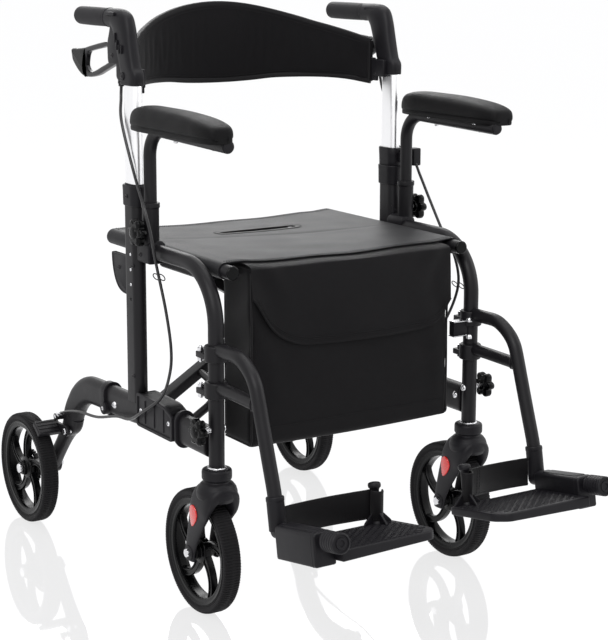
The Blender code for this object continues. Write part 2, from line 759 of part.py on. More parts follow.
    # Cast rear fork from the beam's end down to the axle, with the axle and the cable stop
    fork_in = BEAM_X - 0.011
    end_a = Vector(beam_points(s)[-2])
    end_b = Vector(beam_points(s)[-1])
    along = (end_b - end_a).normalized()
    cap = sweep("cap", [tuple(end_b + along * GAP), tuple(end_b + along * 0.020)], stadium(BEAM_W, BEAM_H))
    centre = end_b + along * 0.014
    limb = plate("limb", capsule((centre.y + 0.004, centre.z), (REAR_AXLE_Y, WHEEL_R), 0.0150, 0.0165),
                 FORK_OUTER - fork_in, facing_x(s * BEAM_X))
    beam_end_cut = sweep("beam_end_cut", [tuple(end_b - along * 0.06), tuple(end_b + along * GAP)],
                         stadium(BEAM_W * 2, BEAM_H * 2))
    spacer = cylinder("spacer", (s * (FORK_OUTER - 0.002), REAR_AXLE_Y, WHEEL_R),
                      (s * (REAR_HUB_IN - GAP), REAR_AXLE_Y, WHEEL_R), 0.011)
    axle = cylinder("axle", (s * fork_in, REAR_AXLE_Y, WHEEL_R),
                    (s * (REAR_HUB_OUT + 0.004), REAR_AXLE_Y, WHEEL_R),
                    AXLE_R)
    nut = cylinder("nut", (s * (REAR_HUB_OUT + GAP), REAR_AXLE_Y, WHEEL_R),
                   (s * (REAR_HUB_OUT + 0.006), REAR_AXLE_Y, WHEEL_R), 0.0095, 6)
    stop = cylinder("stop", (s * (FORK_OUTER - 0.004), CABLE_STOP_Y, CABLE_STOP_Z),
                    (s * (FORK_OUTER + 0.017), CABLE_STOP_Y, CABLE_STOP_Z), 0.006, 12)
    brake_pin = cylinder("brake_pin", (s * (FORK_OUTER - 0.004), BRAKE_Y, BRAKE_Z),
                         (s * (FORK_OUTER + 0.013), BRAKE_Y, BRAKE_Z), PIN_R, 10)
    cut(limb, beam_end_cut)
    join(cap, limb, spacer, axle, nut, stop, brake_pin)
    finish(cap, side + "_rear_fork", "frame_black")


def housing_profile():
    """Front and rear (y, z) points of the elbow's sections, from its foot up to the grip."""
    f = HOUSING_FRONT
    b = HOUSING_BOTTOM
    g = GRIP_Z
    neck = GRIP_R
    return [
        ((f, b), (f + HOUSING_L, b), HOUSING_W / 2, 0.60),
        ((f, b + 0.018), (f + HOUSING_L, b + 0.018), HOUSING_W / 2, 0.60),
        ((f + 0.008, b + 0.029), (f + HOUSING_L + 0.003, b + 0.027), HOUSING_W / 2, 0.62),
        ((f + 0.0145, b + 0.050), (f + HOUSING_L + 0.010, b + 0.047), HOUSING_W / 2 + 0.0005, 0.65),
        ((f + 0.0195, g - 0.0355), (f + HOUSING_L + 0.016, g - 0.043), HOUSING_W / 2 + 0.001, 0.70),
        ((f + 0.0245, g - 0.0135), (f + HOUSING_L + 0.024, g - 0.026), neck - 0.001, 0.80),
        ((f + 0.0325, g + 0.0045), (f + HOUSING_L + 0.029, g - 0.0195), neck - 0.0004, 0.88),
        ((f + 0.0460, g + 0.0128), (f + HOUSING_L + 0.032, g - 0.0165), neck, 0.95),
        ((f + 0.0640, g + neck), (f + HOUSING_L + 0.0335, g - neck), neck, 1.0),
        ((GRIP_Y0 - GAP, g + neck), (GRIP_Y0 - GAP, g - neck), neck, 1.0),
    ]


def build_handle(s, side):
    """Silver tube, housing and grip that slide together, and the brake lever."""
    body = pivot(side + "_handle_slide", (s * POST_X, POST_Y, POST_TOP))
    tube_top = HOUSING_BOTTOM + HOUSING_GRIP
    silver = column("silver", stadium(HANDLE_TUBE_W, HANDLE_TUBE_L), s * POST_X, POST_Y, HANDLE_TUBE_BOTTOM,
                    tube_top)
    hollow = column("hollow",
                    stadium(HANDLE_TUBE_W - 2 * HANDLE_TUBE_WALL, HANDLE_TUBE_L - 2 * HANDLE_TUBE_WALL),
                    s * POST_X, POST_Y, HANDLE_TUBE_BOTTOM - 0.01, tube_top + 0.01)
    cut(silver, hollow)
    finish(silver, side + "_handle_tube", "silver", body)

    # Elbow with cheeks for the lever, the foot that takes the cable, and the clip for the backrest
    x = s * HANDLE_X
    housing = loft("housing", [oval_ring(x, *section) for section in housing_profile()])
    cheek_y = LEVER_Y + 0.0165
    cheek = [(cheek_y - 0.035, LEVER_Z - 0.013), (cheek_y - 0.003, LEVER_Z - 0.014),
             (cheek_y, LEVER_Z - 0.007), (cheek_y + 0.001, LEVER_Z + 0.017),
             (cheek_y - 0.001, LEVER_Z + 0.025), (cheek_y - 0.007, LEVER_Z + 0.038),
             (cheek_y - 0.0105, GRIP_Z - GRIP_R + 0.006), (cheek_y - 0.035, GRIP_Z - GRIP_R + 0.006)]
    cheeks = plate("cheeks", cheek, CHEEK_W, facing_x(x))
    foot_y = HOUSING_FRONT + HOUSING_L
    foot = [(foot_y - 0.012, HOUSING_BOTTOM + 0.003), (foot_y + 0.009, HOUSING_BOTTOM + 0.0045),
            (foot_y + 0.0155, HOUSING_BOTTOM + 0.010), (foot_y + 0.0155, LEVER_Z - 0.010),
            (foot_y - 0.012, LEVER_Z - 0.010)]
    foot = plate("foot", foot, CHEEK_W - 0.003, facing_x(x))
    end, way = cable_start(s)
    ferrule = cylinder("ferrule", end - way * GAP - way * 0.016, end - way * GAP, FERRULE_R, 10)
    clip_out = HANDLE_X - HOUSING_W / 2 + 0.003
    clip_in = HANDLE_X - HOUSING_W / 2 - BACK_CLIP_T
    back_clip = box("back_clip", (s * (clip_in + clip_out) / 2, BACK_Y + 0.003, HOUSING_BOTTOM + 0.010),
                    (clip_out - clip_in, 0.038, 0.032))
    slot_y0 = LEVER_Y - LEVER_HUB_R - 0.0015
    slot = box("slot", (x, (slot_y0 + GRIP_Y0) / 2 + 0.01, LEVER_Z - 0.006),
               (LEVER_T + 2 * SWING_CLEAR, GRIP_Y0 - slot_y0 + 0.02, 0.070))
    lever_pin = cylinder("lever_pin", (x - CHEEK_W / 2 + 0.0005, LEVER_Y, LEVER_Z),
                         (x + CHEEK_W / 2 - 0.0005, LEVER_Y, LEVER_Z), LEVER_PIN_R, 10)
    tube_seat = column("tube_seat", stadium(HANDLE_TUBE_W + 2 * GAP, HANDLE_TUBE_L + 2 * GAP), s * POST_X,
                       POST_Y,
                       HOUSING_BOTTOM - 0.02, tube_top + GAP)
    join(housing, cheeks, foot, back_clip)
    cut(housing, slot, tube_seat)
    join(housing, lever_pin, ferrule)
    finish(housing, side + "_handle_housing", "plastic_black", body)

    end_r = 0.006
    profile = [(0.0, GRIP_LEN), (GRIP_R - end_r, GRIP_LEN)]
    for i in range(1, 4):
        a = math.pi / 2 * i / 3
        profile.append((GRIP_R - end_r + end_r * math.sin(a), GRIP_LEN - end_r + end_r * math.cos(a)))
    profile += [(GRIP_R, 0.0), (0.0, 0.0)]
    grip = lathe("grip", profile, (x, GRIP_Y0, GRIP_Z), (0, 1, 0), 14)
    finish(grip, side + "_handle_grip", "rubber_black", body)

    # Looped lever: (y, z) from its pin, with the wide finger pad at the far end
    lever_body = pivot(side + "_brake_lever_pivot", (x, LEVER_Y, LEVER_Z))
    outline = [(-0.0085, 0.003), (-0.005, 0.010), (0.010, 0.0180), (0.032, 0.0200), (0.0430, 0.0198),
               (0.0865, 0.0125), (0.1205, 0.0058), (0.143, 0.0035), (0.1640, 0.0025), (0.1668, -0.001),
               (0.1648, -0.009), (0.1622, -0.016), (0.152, -0.025), (0.1390, -0.0337), (0.1260, -0.0395),
               (0.1148, -0.0415), (0.100, -0.0417), (0.0845, -0.0400), (0.065, -0.0360), (0.0485, -0.0305),
               (0.010, -0.0175), (-0.005, -0.0100), (-0.0085, -0.003)]
    loop = [(0.0155, 0.001), (0.0180, 0.0100), (0.032, 0.0128), (0.050, 0.0098), (0.0865, 0.0040),
            (0.1024, 0.0012), (0.1090, -0.0060), (0.1125, -0.0160), (0.1136, -0.0232), (0.106, -0.0298),
            (0.093, -0.0330), (0.075, -0.0290), (0.055, -0.0225), (0.032, -0.0150), (0.0180, -0.0090)]
    lever = plate("lever", outline, LEVER_T, facing_x(x, LEVER_Y, LEVER_Z))
    hole = plate("hole", loop, LEVER_T * 2, facing_x(x, LEVER_Y, LEVER_Z))
    lever_bore = cylinder("lever_bore", (x - 0.01, LEVER_Y, LEVER_Z), (x + 0.01, LEVER_Y, LEVER_Z),
                          LEVER_PIN_R + PIVOT_CLEAR, 10)
    cut(lever, hole, lever_bore)
    finish(lever, side + "_brake_lever", "lever_grey", lever_body)


def star_knob(s, side, name, y, z, inner, face, radius):
    """A star knob on a threaded shank along X."""
    body = pivot(side + "_" + name + "_axis", (s * face, y, z))
    head = plate("head", star(radius, KNOB_LOBES), KNOB_T, facing_x(s * (face + KNOB_T / 2), y, z))
    shank = cylinder("shank", (s * inner, y, z), (s * (face + 0.004), y, z), PIN_R, 8)
    hub = cylinder("hub", (s * face, y, z), (s * (face + KNOB_T + 0.003), y, z), radius * 0.45, 8)
    join(head, shank, hub)
    finish(head, side + "_" + name, "plastic_black", body)


def build_armrest(s, side):
    """Bent armrest tube with its pad, sliding in the socket."""
    body = pivot(side + "_armrest_slide", (s * ARM_X, ARM_Y, SOCKET_TOP))
    bend = (ARM_Y - ARM_BEND, ARM_Z - ARM_BEND)
    path = [(ARM_Y, ARM_BOTTOM)] + arc(bend, ARM_BEND, 0, 90, 6) + [(ARM_FRONT, ARM_Z - ARM_DROP)]
    rod = tube("rod", [(s * ARM_X, y, z) for y, z in path], ARM_R)
    finish(rod, side + "_armrest_tube", "frame_black", body)

    # Cushion: a coarse cage, flat below with a groove for the tube, drawn in at the sides and crowned on top
    base = PAD_BASE
    bm = bmesh.new()
    bmesh.ops.create_cube(bm, size=1.0)
    bmesh.ops.scale(bm, vec=(PAD_W, PAD_LEN, PAD_H), verts=bm.verts)
    for axis, cuts in ((1, 4), (0, 1), (2, 1)):
        edges = [e for e in bm.edges if abs((e.verts[0].co - e.verts[1].co)[axis]) > 1e-6]
        bmesh.ops.subdivide_edges(bm, edges=edges, cuts=cuts, use_grid_fill=True)
    for v in bm.verts:
        across = v.co.x / (PAD_W / 2)
        along = v.co.y / (PAD_LEN / 2)
        up = v.co.z / (PAD_H / 2)
        corner = max(0.0, abs(along) - 0.6) / 0.4
        v.co.x *= 1.0 - 0.22 * corner ** 2
        if up > 0.9:
            v.co.z -= 0.006 * across ** 2 + 0.007 * corner ** 2
            v.co.x *= 0.93
            v.co.y *= 0.985
        elif up < -0.9:
            v.co.x *= 0.95
            v.co.y *= 0.99
    mesh = bpy.data.meshes.new("pad")
    bm.to_mesh(mesh)
    bm.free()
    pad = new_object("pad", mesh)
    pad.location = (s * PAD_X, PAD_Y0 + PAD_LEN / 2, base + PAD_H / 2)
    soft = pad.modifiers.new("soft", "SUBSURF")
    soft.levels = 1
    soft.render_levels = 1
    bpy.context.view_layer.update()
    flat = box("flat", (s * PAD_X, PAD_Y0 + PAD_LEN / 2, base - 0.05), (PAD_W * 2, PAD_LEN * 2, 0.1))
    groove_r = ARM_R + PAD_CLEAR
    groove_z = ARM_Z - ARM_DROP * (PAD_Y0 - ARM_Y + ARM_BEND) / (ARM_FRONT - ARM_Y + ARM_BEND)
    groove_path = [(ARM_Y - ARM_BEND, ARM_Z), (PAD_Y0 - 0.02, groove_z)]
    elbow = arc(bend, ARM_BEND, 0, 90, 6)
    groove = tube("groove", [(s * ARM_X, y, z) for y, z in elbow[:-1] + groove_path], groove_r)
    cut(pad, flat, groove)
    finish(pad, side + "_armrest_pad", "rubber_black", body)


def build_rim(name, centre, hub_half, s, tyre_name, body):
    """A spoked rim and its tyre about an axis along X."""
    x, y, z = centre
    scale = 1.0 / math.cos(math.pi / WHEEL_STEPS)
    seat_r = WHEEL_R - TYRE_DEPTH
    inner = seat_r - RIM_WALL
    half = RIM_W / 2
    ring = lathe("ring", [(inner * scale, half), ((seat_r - GAP) * scale, half),
                          ((seat_r - GAP) * scale, -half), (inner * scale, -half)],
                 centre, (1, 0, 0), WHEEL_STEPS, True)
    hub = cylinder("hub", (x - hub_half[0], y, z), (x + hub_half[1], y, z), HUB_R, 12)
    spokes = []
    for k in range(SPOKE_COUNT):
        turn = 2 * math.pi * k / SPOKE_COUNT
        left = []
        right = []
        reach = inner + RIM_WALL / 2
        for i in range(4):
            t = i / 3
            r = HUB_R * 0.6 + (reach - HUB_R * 0.6) * t
            a = turn + 0.55 * t ** 1.5
            half_w = 0.0075 - 0.002 * math.sin(math.pi * t)
            left.append((r * math.cos(a) - half_w * math.sin(a), r * math.sin(a) + half_w * math.cos(a)))
            right.append((r * math.cos(a) + half_w * math.sin(a), r * math.sin(a) - half_w * math.cos(a)))
        spokes.append(plate("spoke", left + right[::-1], SPOKE_T, facing_x(x, y, z)))
    bore = cylinder("bore", (x - 0.05, y, z), (x + 0.05, y, z), AXLE_R + PIVOT_CLEAR, 12)
    join(ring, hub, *spokes)
    cut(ring, bore)
    finish(ring, name, "plastic_black", body)

    w = TYRE_W / 2
    profile = [(seat_r, w * 0.8), (WHEEL_R - 0.005, w), (WHEEL_R, w * 0.72),
               (WHEEL_R, -w * 0.72), (WHEEL_R - 0.005, -w), (seat_r, -w * 0.8)]
    tyre = lathe("tyre", [(r * scale, h) for r, h in profile], centre, (1, 0, 0), WHEEL_STEPS, True)
    finish(tyre, tyre_name, "rubber_black", body)


def build_rear_wheel(s, side):
    centre = (s * REAR_WHEEL_X, REAR_AXLE_Y, WHEEL_R)
    body = pivot(side + "_rear_wheel_axis", centre)
    inboard = REAR_WHEEL_X - REAR_HUB_IN
    outboard = REAR_HUB_OUT - REAR_WHEEL_X
    half = (inboard, outboard) if s > 0 else (outboard, inboard)
    build_rim(side + "_rear_rim", centre, half, s, side + "_rear_tyre", body)


def build_brake(s, side):
    """Arm on the fork's pin with the shoe over the tread."""
    body = pivot(side + "_brake_arm_pivot", (s * FORK_OUTER, BRAKE_Y, BRAKE_Z))
    angle = math.radians(126)
    reach = WHEEL_R + BRAKE_CLEAR + 0.006
    shoe_y = REAR_AXLE_Y + reach * math.cos(angle)
    shoe_z = WHEEL_R + reach * math.sin(angle)
    arm_x0 = FORK_OUTER + 0.003
    arm_t = 0.006
    arm = plate("arm", capsule((BRAKE_Y, BRAKE_Z), (shoe_y, shoe_z), 0.0095, 0.0075), arm_t,
                facing_x(s * (arm_x0 + arm_t / 2)))
    shoe_x1 = REAR_WHEEL_X + TYRE_W / 2 - 0.002
    turn = Matrix.Rotation(angle - math.pi / 2, 3, "X")
    shoe = box("shoe", (s * (arm_x0 + shoe_x1) / 2, shoe_y, shoe_z), (shoe_x1 - arm_x0, 0.030, 0.012), turn)
    tread = cylinder("tread", (s * (arm_x0 - 0.01), REAR_AXLE_Y, WHEEL_R),
                     (s * (shoe_x1 + 0.01), REAR_AXLE_Y, WHEEL_R),
                     WHEEL_R + BRAKE_CLEAR, 24)
    bore = cylinder("bore", (s * FORK_OUTER, BRAKE_Y, BRAKE_Z), (s * (FORK_OUTER + 0.02), BRAKE_Y, BRAKE_Z),
                    PIN_R + PIVOT_CLEAR, 10)
    join(arm, shoe)
    cut(arm, tread, bore)
    finish(arm, side + "_brake_arm", "frame_black", body)


def build_caster(s, side):
    """Swivel fork with its stem, and the front wheel in it."""
    x = s * LEG_X
    body = pivot(side + "_caster_swivel", (x, LEG_Y, LEG_BOTTOM))
    wheel_y = LEG_Y + CASTER_TRAIL
    cap_top = LEG_BOTTOM - 0.003
    crown_r = 0.033
    profile = [(0.0, cap_top), (0.0235, cap_top), (0.0235, cap_top - 0.017), (0.0215, cap_top - 0.020),
               (0.0275, cap_top - 0.025), (crown_r, cap_top - 0.036), (crown_r - 0.0005, cap_top - 0.046),
               (0.028, cap_top - 0.060), (0.0, cap_top - 0.060)]
    crown = lathe("crown", [(r, h - cap_top) for r, h in profile], (x, LEG_Y, cap_top), (0, 0, 1), 12)
    stem = cylinder("stem", (x, LEG_Y, cap_top - 0.01), (x, LEG_Y, LEG_BOTTOM + 0.040), AXLE_R)
    washer = cylinder("washer", (x, LEG_Y, cap_top - 0.001), (x, LEG_Y, LEG_BOTTOM - GAP), LEG_R * 0.85)
    inner = TYRE_W / 2 + CASTER_SIDE_CLEAR + 0.0005
    arm_t = 0.006
    arms = []
    for side_sign in (-1, 1):
        arm = capsule((LEG_Y + 0.004, cap_top - 0.040), (wheel_y, WHEEL_R), 0.024, 0.0135)
        arms.append(plate("arm", arm, arm_t, facing_x(x + side_sign * (inner + arm_t / 2))))
    slot = cylinder("slot", (x - inner, wheel_y, WHEEL_R), (x + inner, wheel_y, WHEEL_R), WHEEL_R + 0.006, 18)
    axle = cylinder("axle", (x - inner - arm_t - 0.003, wheel_y, WHEEL_R),
                    (x + inner + arm_t + 0.003, wheel_y, WHEEL_R), AXLE_R)
    join(crown, *arms)
    cut(crown, slot)
    join(crown, stem, washer, axle)
    finish(crown, side + "_caster_fork", "plastic_black", body)

    centre = (x, wheel_y, WHEEL_R)
    wheel = pivot(side + "_caster_wheel_axis", centre)
    half = inner - 0.0006
    build_rim(side + "_caster_rim", centre, (half, half), s, side + "_caster_tyre", wheel)


def foot_point(along, up, x):
    """World place of a point given along the foot pivot's axis and square to it."""
    p = Vector((0.0, FOOT_Y, FOOT_Z)) + FOOT_DIR * along + FOOT_UP * up
    return Vector((x, p.y, p.z))


def build_footrest(s, side):
    """Hanger round the front leg, its sleeve with the foot pivot, the footplate and the heel strap."""
    x = s * LEG_X
    body = pivot(side + "_hanger_swing", (x, LEG_Y, HANGER_TOP_Z))
    top_y = LEG_Y - COLLAR_R + 0.004
    knee_y = LEG_Y - HANGER_REACH
    path = [(top_y, HANGER_TOP_Z), (LEG_Y - 0.066, HANGER_TOP_Z), (LEG_Y - 0.086, HANGER_TOP_Z - 0.006),
            (LEG_Y - 0.105, HANGER_TOP_Z - 0.018), (LEG_Y - 0.116, HANGER_TOP_Z - 0.030),
            (knee_y, HANGER_TOP_Z - 0.044), (HANGER_FOOT_Y + 0.003, HANGER_FOOT_Z + 0.010),
            (HANGER_FOOT_Y - 0.002, HANGER_FOOT_Z - 0.010)]
    thin = HANGER_BAR_R / HANGER_R
    radii = [thin, thin, thin, (thin + 1) / 2, 1.0, 1.0, 1.0, 1.0]
    hanger = tube("hanger", [(x, y, z) for y, z in path], HANGER_R, 3, radii)
    low = tube("low",
               [(x, LEG_Y - COLLAR_R + 0.004, HANGER_LOW_Z), (x, knee_y - 0.004, HANGER_LOW_Z - 0.002)],
               HANGER_BAR_R, 3)
    collars = []
    bolts = []
    for top in (HANGER_TOP_Z + 0.006, HANGER_LOW_Z + 0.008):
        collars.append(cylinder("collar", (x, LEG_Y, top - COLLAR_H), (x, LEG_Y, top), COLLAR_R, 10))
        z = top - COLLAR_H + 0.006
        ear_y = LEG_Y + 0.036
        ear_x = x + s * 0.007
        collars.append(box("ear", (x + s * 0.004, LEG_Y + 0.026, z), (0.020, 0.032, 0.009)))
        for up in (-1, 1):
            seat = z + up * 0.0035
            bolts.append(cylinder("nut", (ear_x, ear_y, seat), (ear_x, ear_y, seat + up * 0.007), 0.0055, 6))
    leg_bore = cylinder("leg_bore", (x, LEG_Y, HANGER_LOW_Z - 0.05), (x, LEG_Y, HANGER_TOP_Z + 0.05),
                        LEG_R + PIVOT_CLEAR, 16)
    join(hanger, low, *collars, *bolts)
    cut(hanger, leg_bore)
    finish(hanger, side + "_footrest_hanger", "frame_black", body)

    sleeve_top = Vector((x, HANGER_FOOT_Y, HANGER_FOOT_Z))
    sleeve_end = sleeve_top + SLEEVE_DIR * SLEEVE_LEN
    sleeve = cylinder("sleeve", sleeve_top, sleeve_end, SLEEVE_R)
    tube_seat = tube("tube_seat",
                     [(x, knee_y, HANGER_TOP_Z - 0.044), (x, HANGER_FOOT_Y + 0.003, HANGER_FOOT_Z + 0.010),
                      (x, HANGER_FOOT_Y - 0.002, HANGER_FOOT_Z - 0.010 - GAP)], HANGER_R + 0.0005, 3)
    neck = cylinder("neck", foot_point(0.0, 0.0, s * FOOT_X), foot_point(BUMPER_END - 0.01, 0.0, s * FOOT_X),
                    FOOT_TUBE_R)
    collar = cylinder("collar", foot_point(0.0, 0.0, s * FOOT_X),
                      foot_point(BOX_START - GAP, 0.0, s * FOOT_X), 0.0125)
    bumper = cylinder("bumper", foot_point(BUMPER_START, 0.0, s * FOOT_X),
                      foot_point(BUMPER_END, 0.0, s * FOOT_X), BUMPER_R)
    cut(sleeve, tube_seat)
    join(sleeve, neck, collar, bumper)
    finish(sleeve, side + "_foot_pivot", "plastic_black", body)

    turn = Matrix.Rotation(-FOOT_TILT, 3, "X")
    foot = pivot(side + "_footplate_pivot", foot_point(0.0, 0.0, s * FOOT_X))
    mid = foot_point(BOX_START + BOX_LEN / 2, (BOX_UP - BOX_DOWN) / 2, s * FOOT_X)
    housing = box("housing", mid, (BOX_W, BOX_LEN, BOX_UP + BOX_DOWN), turn)
    edge = housing.modifiers.new("edge", "BEVEL")
    edge.width = 0.004
    edge.segments = 2
    plate_out = FOOT_X - BOX_W / 2 + 0.002
    edge_r = 0.003
    under = -PLATE_DROP - PLATE_T
    wedge = [(PLATE_INNER_X + edge_r, -PLATE_DROP), (plate_out, -PLATE_DROP),
             (plate_out, edge_r * 2 - BOX_DOWN), (PLATE_INNER_X + edge_r, under),
             (PLATE_INNER_X, under + edge_r), (PLATE_INNER_X, -PLATE_DROP - edge_r)]
    across = Matrix(((1, 0, 0), (0, FOOT_UP.y, FOOT_DIR.y), (0, FOOT_UP.z, FOOT_DIR.z))).to_4x4()
    slab_mid = foot_point(PLATE_START + PLATE_LEN / 2, 0.0, 0.0)
    slab = plate("slab", [(s * u, v) for u, v in wedge], PLATE_LEN, Matrix.Translation(slab_mid) @ across)
    post_t = PLATE_START + STRAP_POST_R + 0.002
    post = cylinder("post", foot_point(post_t, -PLATE_DROP - 0.004, s * STRAP_POST_X),
                    foot_point(post_t, -PLATE_DROP + STRAP_POST_H - 0.004, s * STRAP_POST_X),
                    STRAP_POST_R, 12)
    knob = cylinder("knob", foot_point(post_t, -PLATE_DROP + STRAP_POST_H - 0.006, s * STRAP_POST_X),
                    foot_point(post_t, -PLATE_DROP + STRAP_POST_H, s * STRAP_POST_X),
                    STRAP_POST_R + 0.0025, 12)
    foot_bore = cylinder("foot_bore", foot_point(BOX_START - 0.01, 0.0, s * FOOT_X),
                         foot_point(BOX_START + BOX_LEN + 0.01, 0.0, s * FOOT_X),
                         FOOT_TUBE_R + PIVOT_CLEAR, 16)
    join(housing, slab, post, knob)
    cut(housing, foot_bore)
    finish(housing, side + "_footplate", "plastic_black", foot)

    # Heel strap: a flat band from the sleeve to the post on the plate
    post_mid = foot_point(post_t, 0.0, s * STRAP_POST_X)
    low_z = post_mid.z - 0.011
    start = Vector((s * (FOOT_X - SLEEVE_R - 0.0005), FOOT_Y + 0.004, low_z + STRAP_H / 2))
    end = Vector((s * (STRAP_POST_X + STRAP_POST_R + 0.0008), post_mid.y + 0.001, low_z + STRAP_H / 2))
    heading = math.atan2(end.y - start.y, end.x - start.x)
    strap = box("strap", (start + end) / 2, ((end - start).length, STRAP_T, STRAP_H),
                Matrix.Rotation(heading, 3, "Z"))
    finish(strap, side + "_heel_strap", "fabric_black", body)


def cable_start(s):
    """Where the cable leaves the housing's foot, and its heading there."""
    place = Vector((s * (HANDLE_X + 0.003), HOUSING_FRONT + HOUSING_L + 0.008, HOUSING_BOTTOM - 0.004))
    return place, Vector((s * 0.12, -0.16, -0.98)).normalized()


def build_cable(s, side):
    """Brake cable from the handle's housing down the frame to the stop on the fork."""
    out = FORK_OUTER + 0.0135
    end, way = cable_start(1)
    start = tuple(end)
    lead = tuple(end + way * 0.020)
    if s > 0:
        upper = [(0.2695, 0.085, 0.780), (0.2735, 0.045, 0.730), (0.2795, 0.030, 0.690),
                 (0.2795, 0.000, 0.655), (0.2740, -0.030, 0.612), (0.2655, -0.080, 0.570),
                 (0.2650, -0.115, 0.535), (0.2640, -0.128, 0.480), (0.2620, -0.095, 0.415)]
    else:
        upper = [(0.2695, 0.085, 0.770), (0.271, 0.043, 0.695), (0.277, -0.006, 0.638),
                 (0.272, -0.0165, 0.598), (0.2655, -0.022, 0.549), (0.262, -0.040, 0.480),
                 (0.260, -0.048, 0.416)]
    lower = [(0.2660, -0.038, 0.362), (0.2760, -0.012, 0.325), (0.2765, 0.020, 0.292), (0.2765, 0.060, 0.277),
             (0.2760, 0.110, 0.270), (0.2790, 0.180, 0.2530), (0.2790, 0.250, 0.246), (0.2760, 0.310, 0.232),
             (out, CABLE_STOP_Y - 0.0093, CABLE_STOP_Z + 0.0065)]
    points = smooth_path([start, lead] + upper + lower, CABLE_STEP)
    cable = tube("cable", [(s * p.x, p.y, p.z) for p in points], CABLE_R, 1)
    finish(cable, side + "_brake_cable", "rubber_black")


def build_brace(name, s, bar_y, holds_bolt):
    """One bar of the scissor: barrel at its lower end, seat rail at its upper end, on opposite sides."""
    low = Vector((s * PIVOT_X, bar_y, PIVOT_Z))
    high = Vector((-s * PIVOT_X, bar_y, RAIL_Z))
    body = pivot(name + "_pivot", (s * PIVOT_X, 0.0, PIVOT_Z) if holds_bolt else (0.0, bar_y, CENTRE_Z))
    direction = (high - low).normalized()
    tilt = math.atan2(direction.z, direction.x)
    bar = box("bar", (low + high) / 2, (BAR_LEN - RAIL_R, BAR_W, BAR_T), Matrix.Rotation(-tilt, 3, "Y"))
    barrel = cylinder("barrel", (low.x, BARREL_Y0, low.z), (low.x, BARREL_Y1, low.z), BARREL_R)
    rail = cylinder("rail", (high.x, RAIL_Y0, high.z), (high.x, RAIL_Y1, high.z), RAIL_R, 14)
    foot = Vector((low.x, STRUT_Y, low.z))
    joint = low + direction * STRUT_REACH
    strut = tube("strut", [foot, (joint.x, bar_y - BAR_W / 2 + 0.006, joint.z)], STRUT_R, 3)
    bore = cylinder("bore", (low.x, BARREL_Y0 - 0.01, low.z), (low.x, BARREL_Y1 + 0.01, low.z),
                    PIN_R + PIVOT_CLEAR, 10)
    join(bar, barrel, rail, strut)
    cut(bar, bore)
    if holds_bolt:
        bolt = cylinder("bolt", (0, BAR_B_Y - BAR_W / 2 - 0.006, CENTRE_Z), (0, bar_y, CENTRE_Z), PIN_R, 10)
        head = cylinder("head", (0, BAR_B_Y - BAR_W / 2 - 0.007, CENTRE_Z),
                        (0, BAR_B_Y - BAR_W / 2 - GAP, CENTRE_Z),
                        0.0075, 12)
        washer = cylinder("washer", (0, BAR_B_Y + BAR_W / 2 + GAP, CENTRE_Z), (0, bar_y, CENTRE_Z), 0.011, 16)
        join(bar, washer, bolt, head)
    else:
        hole = cylinder("hole", (0, bar_y - 0.03, CENTRE_Z), (0, bar_y + 0.03, CENTRE_Z),
                        PIN_R + PIVOT_CLEAR, 10)
        cut(bar, hole)
    finish(bar, name, "frame_black", body)


def build_seat():
    """Sling hung over both rails, sagging a little, with the lifting slot."""
    inner = RAIL_R + GAP
    outer = inner + SLING_T
    top = []
    for i in range(7):
        a = math.pi - math.pi / 2 * i / 6
        top.append((-PIVOT_X + outer * math.cos(a), RAIL_Z + outer * math.sin(a)))
    for i in range(1, 10):
        u = -1 + 2 * i / 10
        top.append((PIVOT_X * u, RAIL_Z + outer - (SEAT_SAG - 0.0015) * (1 - u * u)))
    for i in range(7):
        a = math.pi / 2 - math.pi / 2 * i / 6
        top.append((PIVOT_X + outer * math.cos(a), RAIL_Z + outer * math.sin(a)))
    under = []
    for i in range(7):
        a = math.pi / 2 * i / 6
        under.append((PIVOT_X + inner * math.cos(a), RAIL_Z + inner * math.sin(a)))
    for i in range(1, 10):
        u = 1 - 2 * i / 10
        under.append((PIVOT_X * u, RAIL_Z + inner - SEAT_SAG * (1 - u * u)))
    for i in range(7):
        a = math.pi / 2 + math.pi / 2 * i / 6
        under.append((-PIVOT_X + inner * math.cos(a), RAIL_Z + inner * math.sin(a)))
    turn = Matrix(((1, 0, 0), (0, 0, -1), (0, 1, 0))).to_4x4()
    matrix = Matrix.Translation((0, (SEAT_Y0 + SEAT_Y1) / 2, 0)) @ turn
    seat = plate("seat", top + under, SEAT_Y1 - SEAT_Y0, matrix)
    slot = column("slot", stadium(SLOT_W, SLOT_L), 0, 0, 0, 0.1)
    slot.matrix_world = Matrix.Translation((0, SLOT_Y, RAIL_Z)) @ Matrix.Rotation(math.pi / 2, 4, "Z")
    cut(seat, slot)
    finish(seat, "seat_sling", "fabric_black")


def build_bag():
    """Storage bag under the front of the seat."""
    top = SEAT_UNDER - GAP
    bag = box("bag", (0, BAG_Y0 + BAG_DEPTH / 2, (BAG_BOTTOM + top) / 2),
              (BAG_W, BAG_DEPTH, top - BAG_BOTTOM))
    edge = bag.modifiers.new("edge", "BEVEL")
    edge.width = 0.012
    edge.segments = 2
    finish(bag, "storage_bag", "fabric_black")


